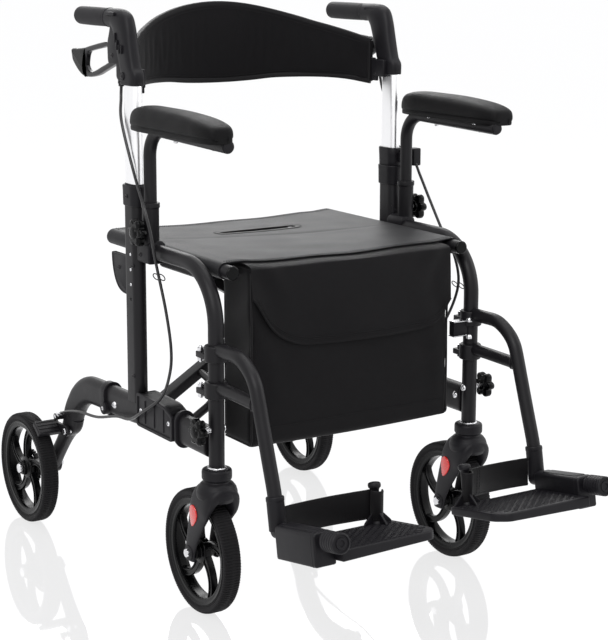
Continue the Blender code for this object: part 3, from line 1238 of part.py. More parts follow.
def build_backrest():
    """Padded band that bows rearward between the two handles."""
    bm = bmesh.new()
    bmesh.ops.create_grid(bm, x_segments=14, y_segments=3, size=1.0)
    for v in bm.verts:
        u = v.co.x
        w = (v.co.y + 1) / 2
        bow = 1 - u * u
        z0 = GRIP_Z + table_at(BACK_SHAPE, abs(u) * BACK_END_X, 1)
        z1 = GRIP_Z + table_at(BACK_SHAPE, abs(u) * BACK_END_X, 2)
        puff = BACK_T * 0.25 * math.sin(math.pi * w)
        v.co = (u * BACK_END_X, BACK_Y + 0.014 + (BACK_BOW - 0.014) * bow + puff, z0 + (z1 - z0) * w)
    mesh = bpy.data.meshes.new("back")
    bm.to_mesh(mesh)
    bm.free()
    back = new_object("back", mesh)
    shell = back.modifiers.new("thickness", "SOLIDIFY")
    shell.thickness = BACK_T
    shell.offset = 0.0
    finish(back, "backrest", "fabric_black")


def main():
    clear_scene()
    make_materials()
    for s, side in ((-1, "right"), (1, "left")):
        build_side_frame(s, side)
        build_handle(s, side)
        build_armrest(s, side)
        star_knob(s, side, "armrest_knob", ARM_Y, ARM_KNOB_Z, ARM_X + ARM_R + GAP * 2,
                  ARM_X + SOCKET_R + 0.005 + GAP, KNOB_R)
        star_knob(s, side, "leg_knob", LEG_Y, LEG_KNOB_Z, LEG_X - LEG_R, LEG_X + LEG_R + LEG_KNOB_STANDOFF,
                  LEG_KNOB_R)
        build_rear_wheel(s, side)
        build_brake(s, side)
        build_caster(s, side)
        build_footrest(s, side)
        build_cable(s, side)
    build_brace("brace_a", -1, BAR_A_Y, True)
    build_brace("brace_b", 1, BAR_B_Y, False)
    build_seat()
    build_bag()
    build_backrest()


main()
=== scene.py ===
"""Looks of a folding walker with seat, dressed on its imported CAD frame.

Metres, +Z up, forward is -Y. The pieces of both sides come from the same functions: s is -1 for the
user's right side and +1 for the left. Every surface is worked out with numpy as whole arrays.
"""
import math

import bpy
import numpy as np
from mathutils import Matrix, Vector


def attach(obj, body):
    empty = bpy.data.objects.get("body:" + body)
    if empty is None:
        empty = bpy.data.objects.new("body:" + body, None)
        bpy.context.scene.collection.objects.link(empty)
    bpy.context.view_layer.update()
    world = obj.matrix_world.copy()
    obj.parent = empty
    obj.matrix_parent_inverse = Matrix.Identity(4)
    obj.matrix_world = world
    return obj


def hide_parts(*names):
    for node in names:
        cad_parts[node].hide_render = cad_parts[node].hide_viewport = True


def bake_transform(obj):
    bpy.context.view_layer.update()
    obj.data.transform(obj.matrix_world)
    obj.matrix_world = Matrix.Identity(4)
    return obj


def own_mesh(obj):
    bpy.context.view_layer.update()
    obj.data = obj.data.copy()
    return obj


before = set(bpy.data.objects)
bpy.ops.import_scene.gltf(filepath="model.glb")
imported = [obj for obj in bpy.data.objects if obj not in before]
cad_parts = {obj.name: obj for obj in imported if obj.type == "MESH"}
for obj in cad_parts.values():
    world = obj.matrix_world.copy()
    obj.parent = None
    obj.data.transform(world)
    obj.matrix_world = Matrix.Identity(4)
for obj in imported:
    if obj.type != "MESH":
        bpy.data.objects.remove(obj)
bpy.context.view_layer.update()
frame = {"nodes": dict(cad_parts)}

bl_info = {
    "name": "Folding walker with seat",
    "version": (1, 0, 0),
    "blender": (4, 5, 0),
    "location": "View3D > Sidebar > Walker",
    "description": "Builds the visible surfaces of a folding walker with a seat, a bag and footrests",
    "category": "Add Mesh",
}

SIDES = ((-1, "right"), (1, "left"))
MATERIALS = {}
SHARP = 38.0                # degrees, edges steeper than this stay sharp
SLOTS = {"powder_coat": "frame_black", "anodised_aluminium": "silver", "moulded_nylon": "plastic_black",
         "polished_abs": "plastic_black", "painted_alloy": "lever_grey", "grip_rubber": "rubber_black",
         "foam_skin": "rubber_black", "tyre_rubber": "tyre", "bag_cloth": "fabric_black", "seat_cloth": "fabric_black",
         "backrest_knit": "fabric_black", "webbing": "fabric_black", "thread": "fabric_black", "zinc_steel": "silver",
         "black_oxide": "frame_black", "reflector_acrylic": "plastic_black", "pvc_sheath": "rubber_black"}

# Places shared with the frame, in metres
WHEEL_R = 0.1015
TYRE_W = 0.03
TYRE_DEPTH = 0.0158
RIM_WALL = 0.01
HUB_R = 0.02
REAR_WHEEL_X = 0.2985
REAR_AXLE_Y = 0.4325
REAR_HUB_IN = 0.2655
REAR_HUB_OUT = 0.3145
CASTER_TRAIL = 0.049
CABLE_STOP = (0.2745, 0.36, 0.211)
BRAKE_PIN = (0.332, 0.189)
BRAKE_CLEAR = 0.0025
LEG_X = 0.248
LEG_Y = -0.182
LEG_R = 0.0125
LEG_BOTTOM = 0.254
SEAT_TUBE_Z = 0.565
SEAT_TUBE_BEND = 0.09
POST_X = 0.2555
POST_Y = 0.07
POST_W = 0.024
POST_L = 0.044
POST_TOP = 0.664
POST_FRONT = POST_Y - POST_L / 2
POST_REAR = POST_Y + POST_L / 2
HANDLE_TUBE_W = 0.02
HANDLE_TUBE_L = 0.04
BEAM_X = 0.25
BEAM_W = 0.026
BEAM_H = 0.05
BEAM_Z = 0.29
BEAM_TOP = BEAM_Z + BEAM_H / 2
FORK_OUTER = BEAM_X + 0.011
PIVOT_X = 0.2205
PIVOT_Z = 0.287
RAIL_Z = 0.5584
RAIL_R = 0.011
RAIL_Y = (-0.19, 0.221)
SEAT_OVER = RAIL_R + 0.0023     # from the rail's centre to the cloth's face
BAR_Y = {"brace_a": 0.076, "brace_b": 0.044}
HANDLE_X = 0.2545
GRIP_Z = 0.9355
GRIP_R = 0.0155
GRIP_Y0 = 0.15
GRIP_LEN = 0.112
HOUSING_BOTTOM = GRIP_Z - 0.1055
HOUSING_FRONT = POST_Y - HANDLE_TUBE_L / 2 - 0.0017
HOUSING_L = 0.0517
LEVER_Y = 0.125
LEVER_Z = GRIP_Z - 0.0605
LEVER_T = 0.0116
ARM_X = 0.2535
ARM_Y = 0.0185
ARM_R = 0.0105
ARM_Z = 0.764
ARM_DROP = 0.0045
ARM_BEND = 0.045
ARM_FRONT = -0.235
ARM_BOTTOM = 0.585
SOCKET_BOTTOM = SEAT_TUBE_Z + LEG_R
SOCKET_TOP = 0.645
PAD_X = 0.2655
PAD_W = 0.058
PAD_Y0 = -0.2385
PAD_LEN = 0.2665
PAD_H = 0.041
PAD_BASE = ARM_Z + ARM_R - 0.0105
SEAT_Y = (-0.165, 0.221)
SEAT_SAG = 0.007
SLOT_Y = 0.104
SLOT_L = 0.156
SLOT_W = 0.02
BACK_Y = 0.08
BACK_BOW = 0.245
BACK_END_X = 0.236
BACK_SHAPE = np.array([
    (0.0, -0.1184, 0.0157), (0.15, -0.1179, 0.0139), (0.3, -0.116, 0.0089), (0.45, -0.1125, 0.0008),
    (0.6, -0.1112, -0.0098), (0.7, -0.1108, -0.0185), (0.8, -0.1112, -0.027), (0.9, -0.1138, -0.037),
    (1.0, -0.12, -0.049)])
BAG_W = 0.386
BAG_Y0 = -0.1975
BAG_DEPTH = 0.0925
BAG_BOTTOM = 0.272
BAG_TOP = 0.5624
FLAP_LOW = np.array([
    (-0.192, 0.52), (-0.182, 0.505), (-0.168, 0.478), (-0.15, 0.457), (-0.128, 0.443), (-0.1, 0.4345),
    (-0.04, 0.432), (0.06, 0.4315), (0.13, 0.4335), (0.16, 0.44), (0.178, 0.452), (0.189, 0.472),
    (0.192, 0.486)])
FLAP_TOP = 0.561
HANGER_R = 0.011
HANGER_TOP_Z = 0.442
HANGER_LOW_Z = 0.382
HANGER_COLLARS = (HANGER_TOP_Z + 0.006, HANGER_LOW_Z + 0.008)
HANGER_FOOT = (-0.355, 0.252)
COLLAR_H = 0.026
SLEEVE_LEN = 0.052
SLEEVE_DIR = np.array([0.0, -0.185, -0.9827])
FOOT_X = 0.2465
FOOT_Y = -0.364
FOOT_Z = 0.2015
FOOT_TILT = math.radians(10.0)
FOOT_DIR = np.array([0.0, -math.cos(FOOT_TILT), math.sin(FOOT_TILT)])
FOOT_UP = np.array([0.0, math.sin(FOOT_TILT), math.cos(FOOT_TILT)])
ARM_KNOB = (ARM_Y, 0.598, 0.2723, 0.024)      # y, z, face and radius
LEG_KNOB = (LEG_Y, 0.314, 0.2745, 0.0225)
BUMPER = (0.0165 + 0.109 + 0.0085, 0.036)
BOX = (0.0165, 0.109, 0.036, 0.0125, 0.038)
PLATE = (0.015, 0.132, 0.056, 0.015, 0.0125)
STRAP_POST = (0.086, 0.007)  # across and along the plate
CABLE_R = 0.0025


# The camera of the photograph
CAMERA_PLACE = (-1.539, -2.4574, 1.0565)
CAMERA_RIGHT = (0.83995298, -0.54264542, 0.00386624)
CAMERA_UP = (0.10142412, 0.16398403, 0.98123513)
CAMERA_LENS = 97.8          # mm on a sensor of 36 mm
CAMERA_SHIFT = (-0.0172, -0.0552)


# ---- arrays and surfaces ----

def unit(v):
    """Each vector over its own length."""
    v = np.asarray(v, float)
    return v / np.maximum(np.linalg.norm(v, axis=-1, keepdims=True), 1e-12)


def resample(points, count):
    """Points evenly spaced by length along a polyline."""
    p = np.asarray(points, float)
    s = np.concatenate([[0.0], np.cumsum(np.linalg.norm(np.diff(p, axis=0), axis=1))])
    want = np.linspace(0.0, s[-1], count)
    return np.stack([np.interp(want, s, p[:, k]) for k in range(p.shape[1])], 1)


def smooth(points, count):
    """Catmull-Rom curve through the points, evenly resampled."""
    p = np.asarray(points, float)
    q = np.concatenate([[2 * p[0] - p[1]], p, [2 * p[-1] - p[-2]]])
    t = np.linspace(0.0, len(p) - 1.0, 40 * len(p))
    i = np.minimum(t.astype(int), len(p) - 2)
    f = (t - i)[:, None]
    a, b, c, d = q[i], q[i + 1], q[i + 2], q[i + 3]
    dense = (2 * b + (c - a) * f + (2 * a - 5 * b + 4 * c - d) * f ** 2 + (3 * b - a - 3 * c + d) * f ** 3) / 2
    return resample(dense, count)


def rounded(corners, radius, steps=5, closed=True):
    """Corners eased by a parabola that leaves each side one radius before the corner."""
    c = np.asarray(corners, float)
    before, after = np.roll(c, 1, 0) - c, np.roll(c, -1, 0) - c
    lb = np.linalg.norm(before, axis=1)[:, None]
    la = np.linalg.norm(after, axis=1)[:, None]
    cut = np.minimum(np.broadcast_to(np.reshape(radius, (-1, 1)), lb.shape), 0.48 * np.minimum(lb, la))
    t = np.linspace(0.0, 1.0, steps)[None, :, None]
    p, q = (c + before / lb * cut)[:, None], (c + after / la * cut)[:, None]
    out = (1 - t) ** 2 * p + 2 * t * (1 - t) * c[:, None] + t * t * q
    if closed:
        return out.reshape(-1, c.shape[1])
    return np.concatenate([c[:1], out[1:-1].reshape(-1, c.shape[1]), c[-1:]])


def turns(n):
    """Angles of n steps round a full turn."""
    return 2 * np.pi * np.arange(n) / n


def polar(r, a):
    """Flat points r cos a, r sin a."""
    return np.stack([r * np.cos(a), r * np.sin(a)], -1)


def circle(radius, n=32):
    """Circle about the origin."""
    return polar(radius, turns(n))


def stadium(width, length, n=14):
    """Slot outline: two half circles of the width joined by straight sides along v."""
    a = np.pi * np.arange(n) / (n - 1)
    r, h = width / 2, (length - width) / 2
    top = (0, h) + polar(r, a)
    return np.concatenate([top, -top])


def bar(w, h, radius, steps=5):
    """Rectangle of half width w and half height h with its corners eased."""
    return rounded([(-w, -h), (w, -h), (w, h), (-w, h)], radius, steps)


def bowed(v, p):
    """Each value's size to the power p, with its sign kept: sign(v) |v|^p."""
    return np.sign(v) * np.abs(v) ** p


def superellipse(n, p, q):
    """Outline sign(cos) |cos|^p across and sign(sin) |sin|^q along."""
    return np.stack([bowed(np.cos(turns(n)), p), bowed(np.sin(turns(n)), q)], 1)


def raised(flat, levels):
    """Rows of flat points, each row lifted to its own level."""
    return np.concatenate([flat, np.broadcast_to(levels[:, None, None], flat.shape[:2] + (1,))], 2)


def xyz(x, y, z):
    """Points from three coordinates, any of which may be one number for all."""
    return np.stack(np.broadcast_arrays(x, y, z), -1)


def at_x(x, line):
    """A line of (y, z) set at one x."""
    return xyz(x, line[:, 0], line[:, 1])


def capsule(a, b, ra, rb, n=14):
    """Outline round two circles joined by their outer tangents."""
    a, b = np.array(a, float), np.array(b, float)
    d = b - a
    heading = math.atan2(d[1], d[0])
    spread = math.acos((ra - rb) / np.linalg.norm(d))
    ta = np.linspace(heading + spread, heading + 2 * np.pi - spread, n)
    tb = np.linspace(heading - spread, heading + spread, n)
    return np.concatenate([a + polar(ra, ta), b + polar(rb, tb)])


def inward(outline):
    """Unit normals of a closed outline, pointing into it."""
    t = np.roll(outline, -1, 0) - np.roll(outline, 1, 0)
    area = np.sum(outline[:, 0] * np.roll(outline[:, 1], -1) - np.roll(outline[:, 0], -1) * outline[:, 1])
    return unit(np.stack([-t[:, 1], t[:, 0]], 1)) * (1.0 if area > 0 else -1.0)


def skin(rows, wrap_rows=False, wrap_cols=True, caps=True):
    """Quads between neighbouring rows of points, with the end rings closed and faces outward.
    Texture places are the mean lengths along and across the rows, in metres."""
    rows = np.asarray(rows, float)
    n, m = rows.shape[:2]
    i, j = np.meshgrid(np.arange(n if wrap_rows else n - 1), np.arange(m if wrap_cols else m - 1), indexing="ij")
    i, j = i.ravel(), j.ravel()
    faces = np.stack([i * m + j, (i + 1) % n * m + j, (i + 1) % n * m + (j + 1) % m, i * m + (j + 1) % m], 1)
    along = np.linalg.norm(np.roll(rows, -1, 0) - rows, axis=2).mean(1)
    across = np.linalg.norm(np.roll(rows, -1, 1) - rows, axis=2).mean(0)
    v = np.concatenate([[0.0], np.cumsum(along)])
    u = np.concatenate([[0.0], np.cumsum(across)])
    uv = np.stack([np.stack([u[j], v[i]], 1), np.stack([u[j], v[i + 1]], 1),
                   np.stack([u[j + 1], v[i + 1]], 1), np.stack([u[j + 1], v[i]], 1)], 1)
    groups = [(faces, uv)]
    closed = wrap_cols and (wrap_rows or caps)
    if closed and not wrap_rows:
        for ring in (np.arange(m), (n - 1) * m + np.arange(m)[::-1]):
            flat = np.stack([u[:m], np.zeros(m)], 1)
            groups.append((ring[None], flat[None]))
    part = {"points": rows.reshape(-1, 3), "groups": groups}
    return outward(part) if closed else part


def side_quads(start, n):
    """Quads between each ring of n points and the next ring, whose first points are at start."""
    j = np.arange(n)
    k = (j + 1) % n
    return np.stack([start + j, start + k, start + n + k, start + n + j], 2).reshape(-1, 4)


def outward(part):
    """The part with its faces turned so that the volume they enclose is positive."""
    total = 0.0
    for faces, _ in part["groups"]:
        p = part["points"][faces]
        a, b, c = p[:, :1], p[:, 1:-1], p[:, 2:]
        total += np.sum(a * np.cross(b, c))
    if total < 0:
        part["groups"] = [(f[:, ::-1], uv[:, ::-1]) for f, uv in part["groups"]]
    return part


def place(local, origin, e1, e2, e3):
    """Points given as (u, v, w) along three axes from an origin."""
    local = np.asarray(local, float)
    axes = np.stack([np.asarray(e, float) for e in (e1, e2, e3)])
    return np.asarray(origin, float) + local @ axes


def facing_x(x, y=0.0, z=0.0):
    """Axes of an outline drawn in Y and Z."""
    return ((x, y, z), (0, 1, 0), (0, 0, 1), (1, 0, 0))


def facing_z(x, y, z):
    """Axes of an outline drawn in X and Y."""
    return ((x, y, z), (1, 0, 0), (0, 1, 0), (0, 0, 1))


def facing_y(x, y, z):
    """Axes of an outline drawn in X and Z."""
    return ((x, y, z), (1, 0, 0), (0, 0, 1), (0, 1, 0))


def facing_foot(s, along=0.0, up=0.0, x=FOOT_X):
    """Axes of the footrest: across, up from the plate and out along its pivot."""
    origin = np.array([0.0, FOOT_Y, FOOT_Z]) + FOOT_DIR * along + FOOT_UP * up
    origin[0] = s * x
    return (origin, (s, 0, 0), FOOT_UP, FOOT_DIR)


def slab(outline, depth, edge, where, steps=4):
    """An outline with thickness. At each face it is drawn in by a quarter round of radius edge:
    inset = edge (1 - sin a), level = depth / 2 - edge (1 - cos a)."""
    o = np.asarray(outline, float)
    a = np.linspace(0.0, np.pi / 2, steps)
    inset = edge * (1 - np.sin(a))
    level = depth / 2 - edge * (1 - np.cos(a))
    inset = np.concatenate([inset, inset[::-1]])
    level = np.concatenate([level, -level[::-1]])
    return skin(place(raised(o[None] + inward(o)[None] * inset[:, None, None], level), *where))


def ring_slab(outer, inner, depth, edge, where, steps=4):
    """A flat ring between two outlines of as many points, its section a rectangle with round corners
    carried round both outlines."""
    a = np.linspace(0.0, np.pi / 2, steps)
    rise = edge * (1 - np.cos(a))
    run = edge * (1 - np.sin(a))
    out_in, in_out = inward(outer), -inward(inner)
    rows, levels = [], []
    for base, way, lift, sign in ((outer, out_in, slice(None, None, -1), 1), (inner, in_out, slice(None), 1),
                                  (inner, in_out, slice(None, None, -1), -1), (outer, out_in, slice(None), -1)):
        rows.append(base[None] + way[None] * run[lift][:, None, None])
        levels.append(sign * (depth / 2 - rise[lift]))
    return skin(place(raised(np.concatenate(rows), np.concatenate(levels)), *where), wrap_rows=True)


def carried(section, path, up, scale=1.0, edge=0.0, wrap=False):
    """A closed section carried square to a path. Its u axis is up made square to the path, its v axis
    is the cross product of the path's heading and u. Ends are eased by a quarter round of radius edge."""
    section = np.asarray(section, float)
    path = np.array(path, float)
    scale = np.broadcast_to(np.reshape(scale, (-1, 1)) if np.ndim(scale) == 1 else scale, (len(path), 2)).copy()
    if wrap:
        t = unit(np.roll(path, -1, 0) - np.roll(path, 1, 0))
    else:
        t = unit(np.gradient(path, axis=0))
    if edge:
        a = np.linspace(0.0, np.pi / 2, 5)[:-1]
        half = np.abs(section).max(0).min()
        for end, turn in ((0, 1), (-1, -1)):
            away = path[end] + turn * t[end] * (edge * (1 - np.cos(a)))[:, None]
            size = scale[end] * (1 - edge * (1 - np.sin(a)) / (half * scale[end].min()))[:, None]
            path[end] = path[end] + turn * t[end] * edge
            join = (lambda x, y: np.concatenate([x, y])) if end == 0 else (lambda x, y: np.concatenate([y, x[::-1]]))
            path, scale = join(away, path), join(size, scale)
            t = join(np.repeat(t[end][None], len(a), 0), t)
    e1 = np.asarray(up, float) - (t @ np.asarray(up, float))[:, None] * t
    e1 = unit(e1)
    e2 = np.cross(t, e1)
    rows = (path[:, None] + section[None, :, :1] * scale[:, None, :1] * e1[:, None]
            + section[None, :, 1:] * scale[:, None, 1:] * e2[:, None])
    return skin(rows, wrap_rows=wrap)


def tube(path, radius, up=(1, 0, 0), sides=28, scale=1.0, edge=0.0006, wrap=False):
    """A round section carried along a path."""
    return carried(circle(radius, sides), path, up, scale, 0.0 if wrap else edge, wrap)


def ring_round(axis, n):
    """The unit axis and n unit directions round it."""
    axis = unit(axis)
    side = unit(np.cross(axis, (0.0, 0.0, 1.0) if abs(axis[2]) < 0.9 else (1.0, 0.0, 0.0)))
    return axis, np.cos(turns(n))[:, None] * side + np.sin(turns(n))[:, None] * np.cross(axis, side)


def turned(profile, centre, axis, steps=56, closed=False, ease=0.0):
    """A profile of (radius, height) turned about an axis: x = r cos a, y = r sin a, z = h."""
    k = np.asarray(profile, float)
    if ease:
        k = rounded(k, ease, 4, closed)
    axis, ring = ring_round(axis, steps)
    return skin(np.asarray(centre, float) + k[:, None, 1:] * axis + k[:, None, :1] * ring[None], wrap_rows=closed)


def rod(start, end, radius, sides=24, edge=0.0005):
    """A straight round bar."""
    start, end = np.asarray(start, float), np.asarray(end, float)
    axis = unit(end - start)
    up = (1, 0, 0) if abs(axis[0]) < 0.9 else (0, 0, 1)
    return tube(np.linspace(start, end, 4), radius, up, sides, 1.0, edge)


def block(centre, size, edge):
    """A box with round corners and edges."""
    return slab(bar(size[0] / 2, size[1] / 2, edge * 1.4), size[2], edge, facing_z(*centre))


def nut(centre, axis, across, height, sides=6):
    """A hexagonal nut or bolt head with its corners turned off."""
    wedge = math.pi / sides
    flat = across / 2 / np.cos((turns(48) + wedge) % (2 * wedge) - wedge)
    axis, ring = ring_round(axis, 48)
    corner = across / 2 / math.cos(wedge)
    radii = np.stack([np.minimum(flat, r) for r in (across * 0.4, across * 0.49, corner, corner, across * 0.49)])
    levels = height * np.array([1.0, 0.94, 0.8, 0.12, 0.0])
    return skin(np.asarray(centre, float) + levels[:, None, None] * axis + radii[:, :, None] * ring[None])


def screw(centre, axis, radius, height):
    """A domed screw head with a round drive hole."""
    profile = [(radius * 0.36, height * 0.35), (radius * 0.4, height * 0.95), (radius * 0.55, height),
        (radius * 0.85, height * 0.72), (radius, height * 0.25), (radius, -0.0005)]
    return turned(profile, centre, axis, 28)


def make_mesh(name, parts):
    """One mesh from all parts, written with foreach_set."""
    points = np.concatenate([p["points"] for p in parts])
    sizes, corners, places = [], [], []
    start = 0
    for p in parts:
        for faces, uv in p["groups"]:
            sizes.append(np.full(len(faces), faces.shape[1]))
            corners.append((faces + start).ravel())
            places.append(uv.reshape(-1, 2))
        start += len(p["points"])
    sizes, corners, places = np.concatenate(sizes), np.concatenate(corners), np.concatenate(places)
    mesh = bpy.data.meshes.new(name)
    mesh.vertices.add(len(points))
    mesh.vertices.foreach_set("co", points.ravel().astype(np.float32))
    mesh.loops.add(len(corners))
    mesh.loops.foreach_set("vertex_index", corners.astype(np.int32))
    mesh.polygons.add(len(sizes))
    mesh.polygons.foreach_set("loop_start", np.concatenate([[0], np.cumsum(sizes)[:-1]]).astype(np.int32))
    layer = mesh.uv_layers.new(name="UVMap")
    mesh.update(calc_edges=True)
    layer.uv.foreach_set("vector", places.ravel().astype(np.float32))
    mesh.validate()
    return mesh


def new_object(name, data):
    """An object in the scene for a mesh, a lamp or a camera."""
    obj = bpy.data.objects.new(name, data)
    bpy.context.scene.collection.objects.link(obj)
    return obj


def piece(name, parts, material, body, slot=None, sharp=SHARP):
    """A finished object: smooth shaded with sharp edges kept, riding on its body. A piece with the name of a
    node takes that node's place."""
    label = name + "_shell" if name in frame["nodes"] else name
    mesh = make_mesh(label, parts if isinstance(parts, list) else [parts])
    mesh.shade_smooth()
    mesh.set_sharp_from_angle(angle=math.radians(sharp))
    mesh.materials.append(MATERIALS[material])
    obj = new_object(label, mesh)
    if body:
        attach(obj, body)
    slot or SLOTS[material]
    if name in frame["nodes"]:
        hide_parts(name)
    return obj


def carve(obj, cutters):
    """Closed parts cut out of a piece, with the Boolean applied."""
    mesh = make_mesh("cutter", cutters)
    tool = new_object("cutter", mesh)
    cut = obj.modifiers.new("cut", "BOOLEAN")
    cut.operation, cut.solver, cut.object = "DIFFERENCE", "EXACT", tool
    bpy.context.view_layer.update()
    done = bpy.data.meshes.new_from_object(obj.evaluated_get(bpy.context.evaluated_depsgraph_get()))
    obj.modifiers.clear()
    old, obj.data = obj.data, done
    bpy.data.objects.remove(tool)
    bpy.data.meshes.remove(mesh)
    bpy.data.meshes.remove(old)
    done.shade_smooth()
    done.set_sharp_from_angle(angle=math.radians(SHARP))


# ---- materials ----

def linear(code):
    """sRGB hex to linear colour."""
    c = np.array([int(code[i:i + 2], 16) for i in (1, 3, 5)]) / 255.0
    c = np.where(c <= 0.04045, c / 12.92, ((c + 0.055) / 1.055) ** 2.4)
    return (*c.tolist(), 1.0)


def add(tree, kind, settings=None, **links):
    """A node with its settings; each link names an input and gives a value or an output socket."""
    node = tree.nodes.new(kind)
    for key, value in (settings or {}).items():
        setattr(node, key, value)
    for key, value in links.items():
        socket = node.inputs[int(key[1:]) if key[0] == "i" and key[1:].isdigit() else key.replace("_", " ")]
        if isinstance(value, bpy.types.NodeSocket):
            tree.links.new(value, socket)
        else:
            socket.default_value = value
    return node


def new_material(name, base, rough, **sockets):
    """Node tree of a Principled material whose constants are set on the shader's own sockets."""
    MATERIALS[name] = bpy.data.materials.new(name)
    MATERIALS[name].use_nodes = True
    tree = MATERIALS[name].node_tree
    for key, value in {"Base Color": tuple(base), "Roughness": rough, **sockets}.items():
        tree.nodes["Principled BSDF"].inputs[key.replace("_", " ")].default_value = value
    return tree


def grain(tree, scale, detail=3.0, stretch=None):
    """Cloudy pattern on object coordinates, stretched where the finish has a direction."""
    coords = add(tree, "ShaderNodeTexCoord").outputs["Object"]
    if stretch:
        coords = add(tree, "ShaderNodeMapping", Vector=coords, Scale=stretch).outputs["Vector"]
    return add(tree, "ShaderNodeTexNoise", Vector=coords, Scale=scale, Detail=detail).outputs["Fac"]


def pits(tree, scale, feature="F1"):
    """Pattern of pits or cells on object coordinates."""
    coords = add(tree, "ShaderNodeTexCoord").outputs["Object"]
    return add(tree, "ShaderNodeTexVoronoi", {"feature": feature}, Vector=coords, Scale=scale).outputs["Distance"]


def dress(tree, tone=None, gloss=None, relief=None):
    """Joins patterns to a finish: tone mixes two colours by one, gloss spreads the roughness over a range, and
    relief raises the surface by a strength and a distance."""
    shader = tree.nodes["Principled BSDF"]
    if tone:
        mix = add(tree, "ShaderNodeMix", {"data_type": "RGBA"}, i0=tone[0], i6=tuple(tone[1]), i7=tuple(tone[2]))
        tree.links.new(mix.outputs[2], shader.inputs["Base Color"])
    if gloss:
        span = add(tree, "ShaderNodeMapRange", Value=gloss[0], To_Min=gloss[1], To_Max=gloss[2])
        tree.links.new(span.outputs["Result"], shader.inputs["Roughness"])
    if relief:
        height = add(tree, "ShaderNodeBump", Height=relief[0], Strength=relief[1], Distance=relief[2])
        tree.links.new(height.outputs["Normal"], shader.inputs["Normal"])


def weave(tree, pitch):
    """Plain weave: the product of two crossed sine waves, one thread pitch apart."""
    split = add(tree, "ShaderNodeSeparateXYZ", Vector=add(tree, "ShaderNodeTexCoord").outputs["UV"])
    waves = []
    for axis in ("X", "Y"):
        turn = add(tree, "ShaderNodeMath", {"operation": "MULTIPLY"}, i0=split.outputs[axis], i1=math.pi / pitch)
        waves.append(add(tree, "ShaderNodeMath", {"operation": "SINE"}, i0=turn.outputs[0]).outputs[0])
    product = add(tree, "ShaderNodeMath", {"operation": "MULTIPLY"}, i0=waves[0], i1=waves[1])
    return add(tree, "ShaderNodeMath", {"operation": "MULTIPLY_ADD"}, i0=product.outputs[0], i1=0.5, i2=0.5).outputs[0]


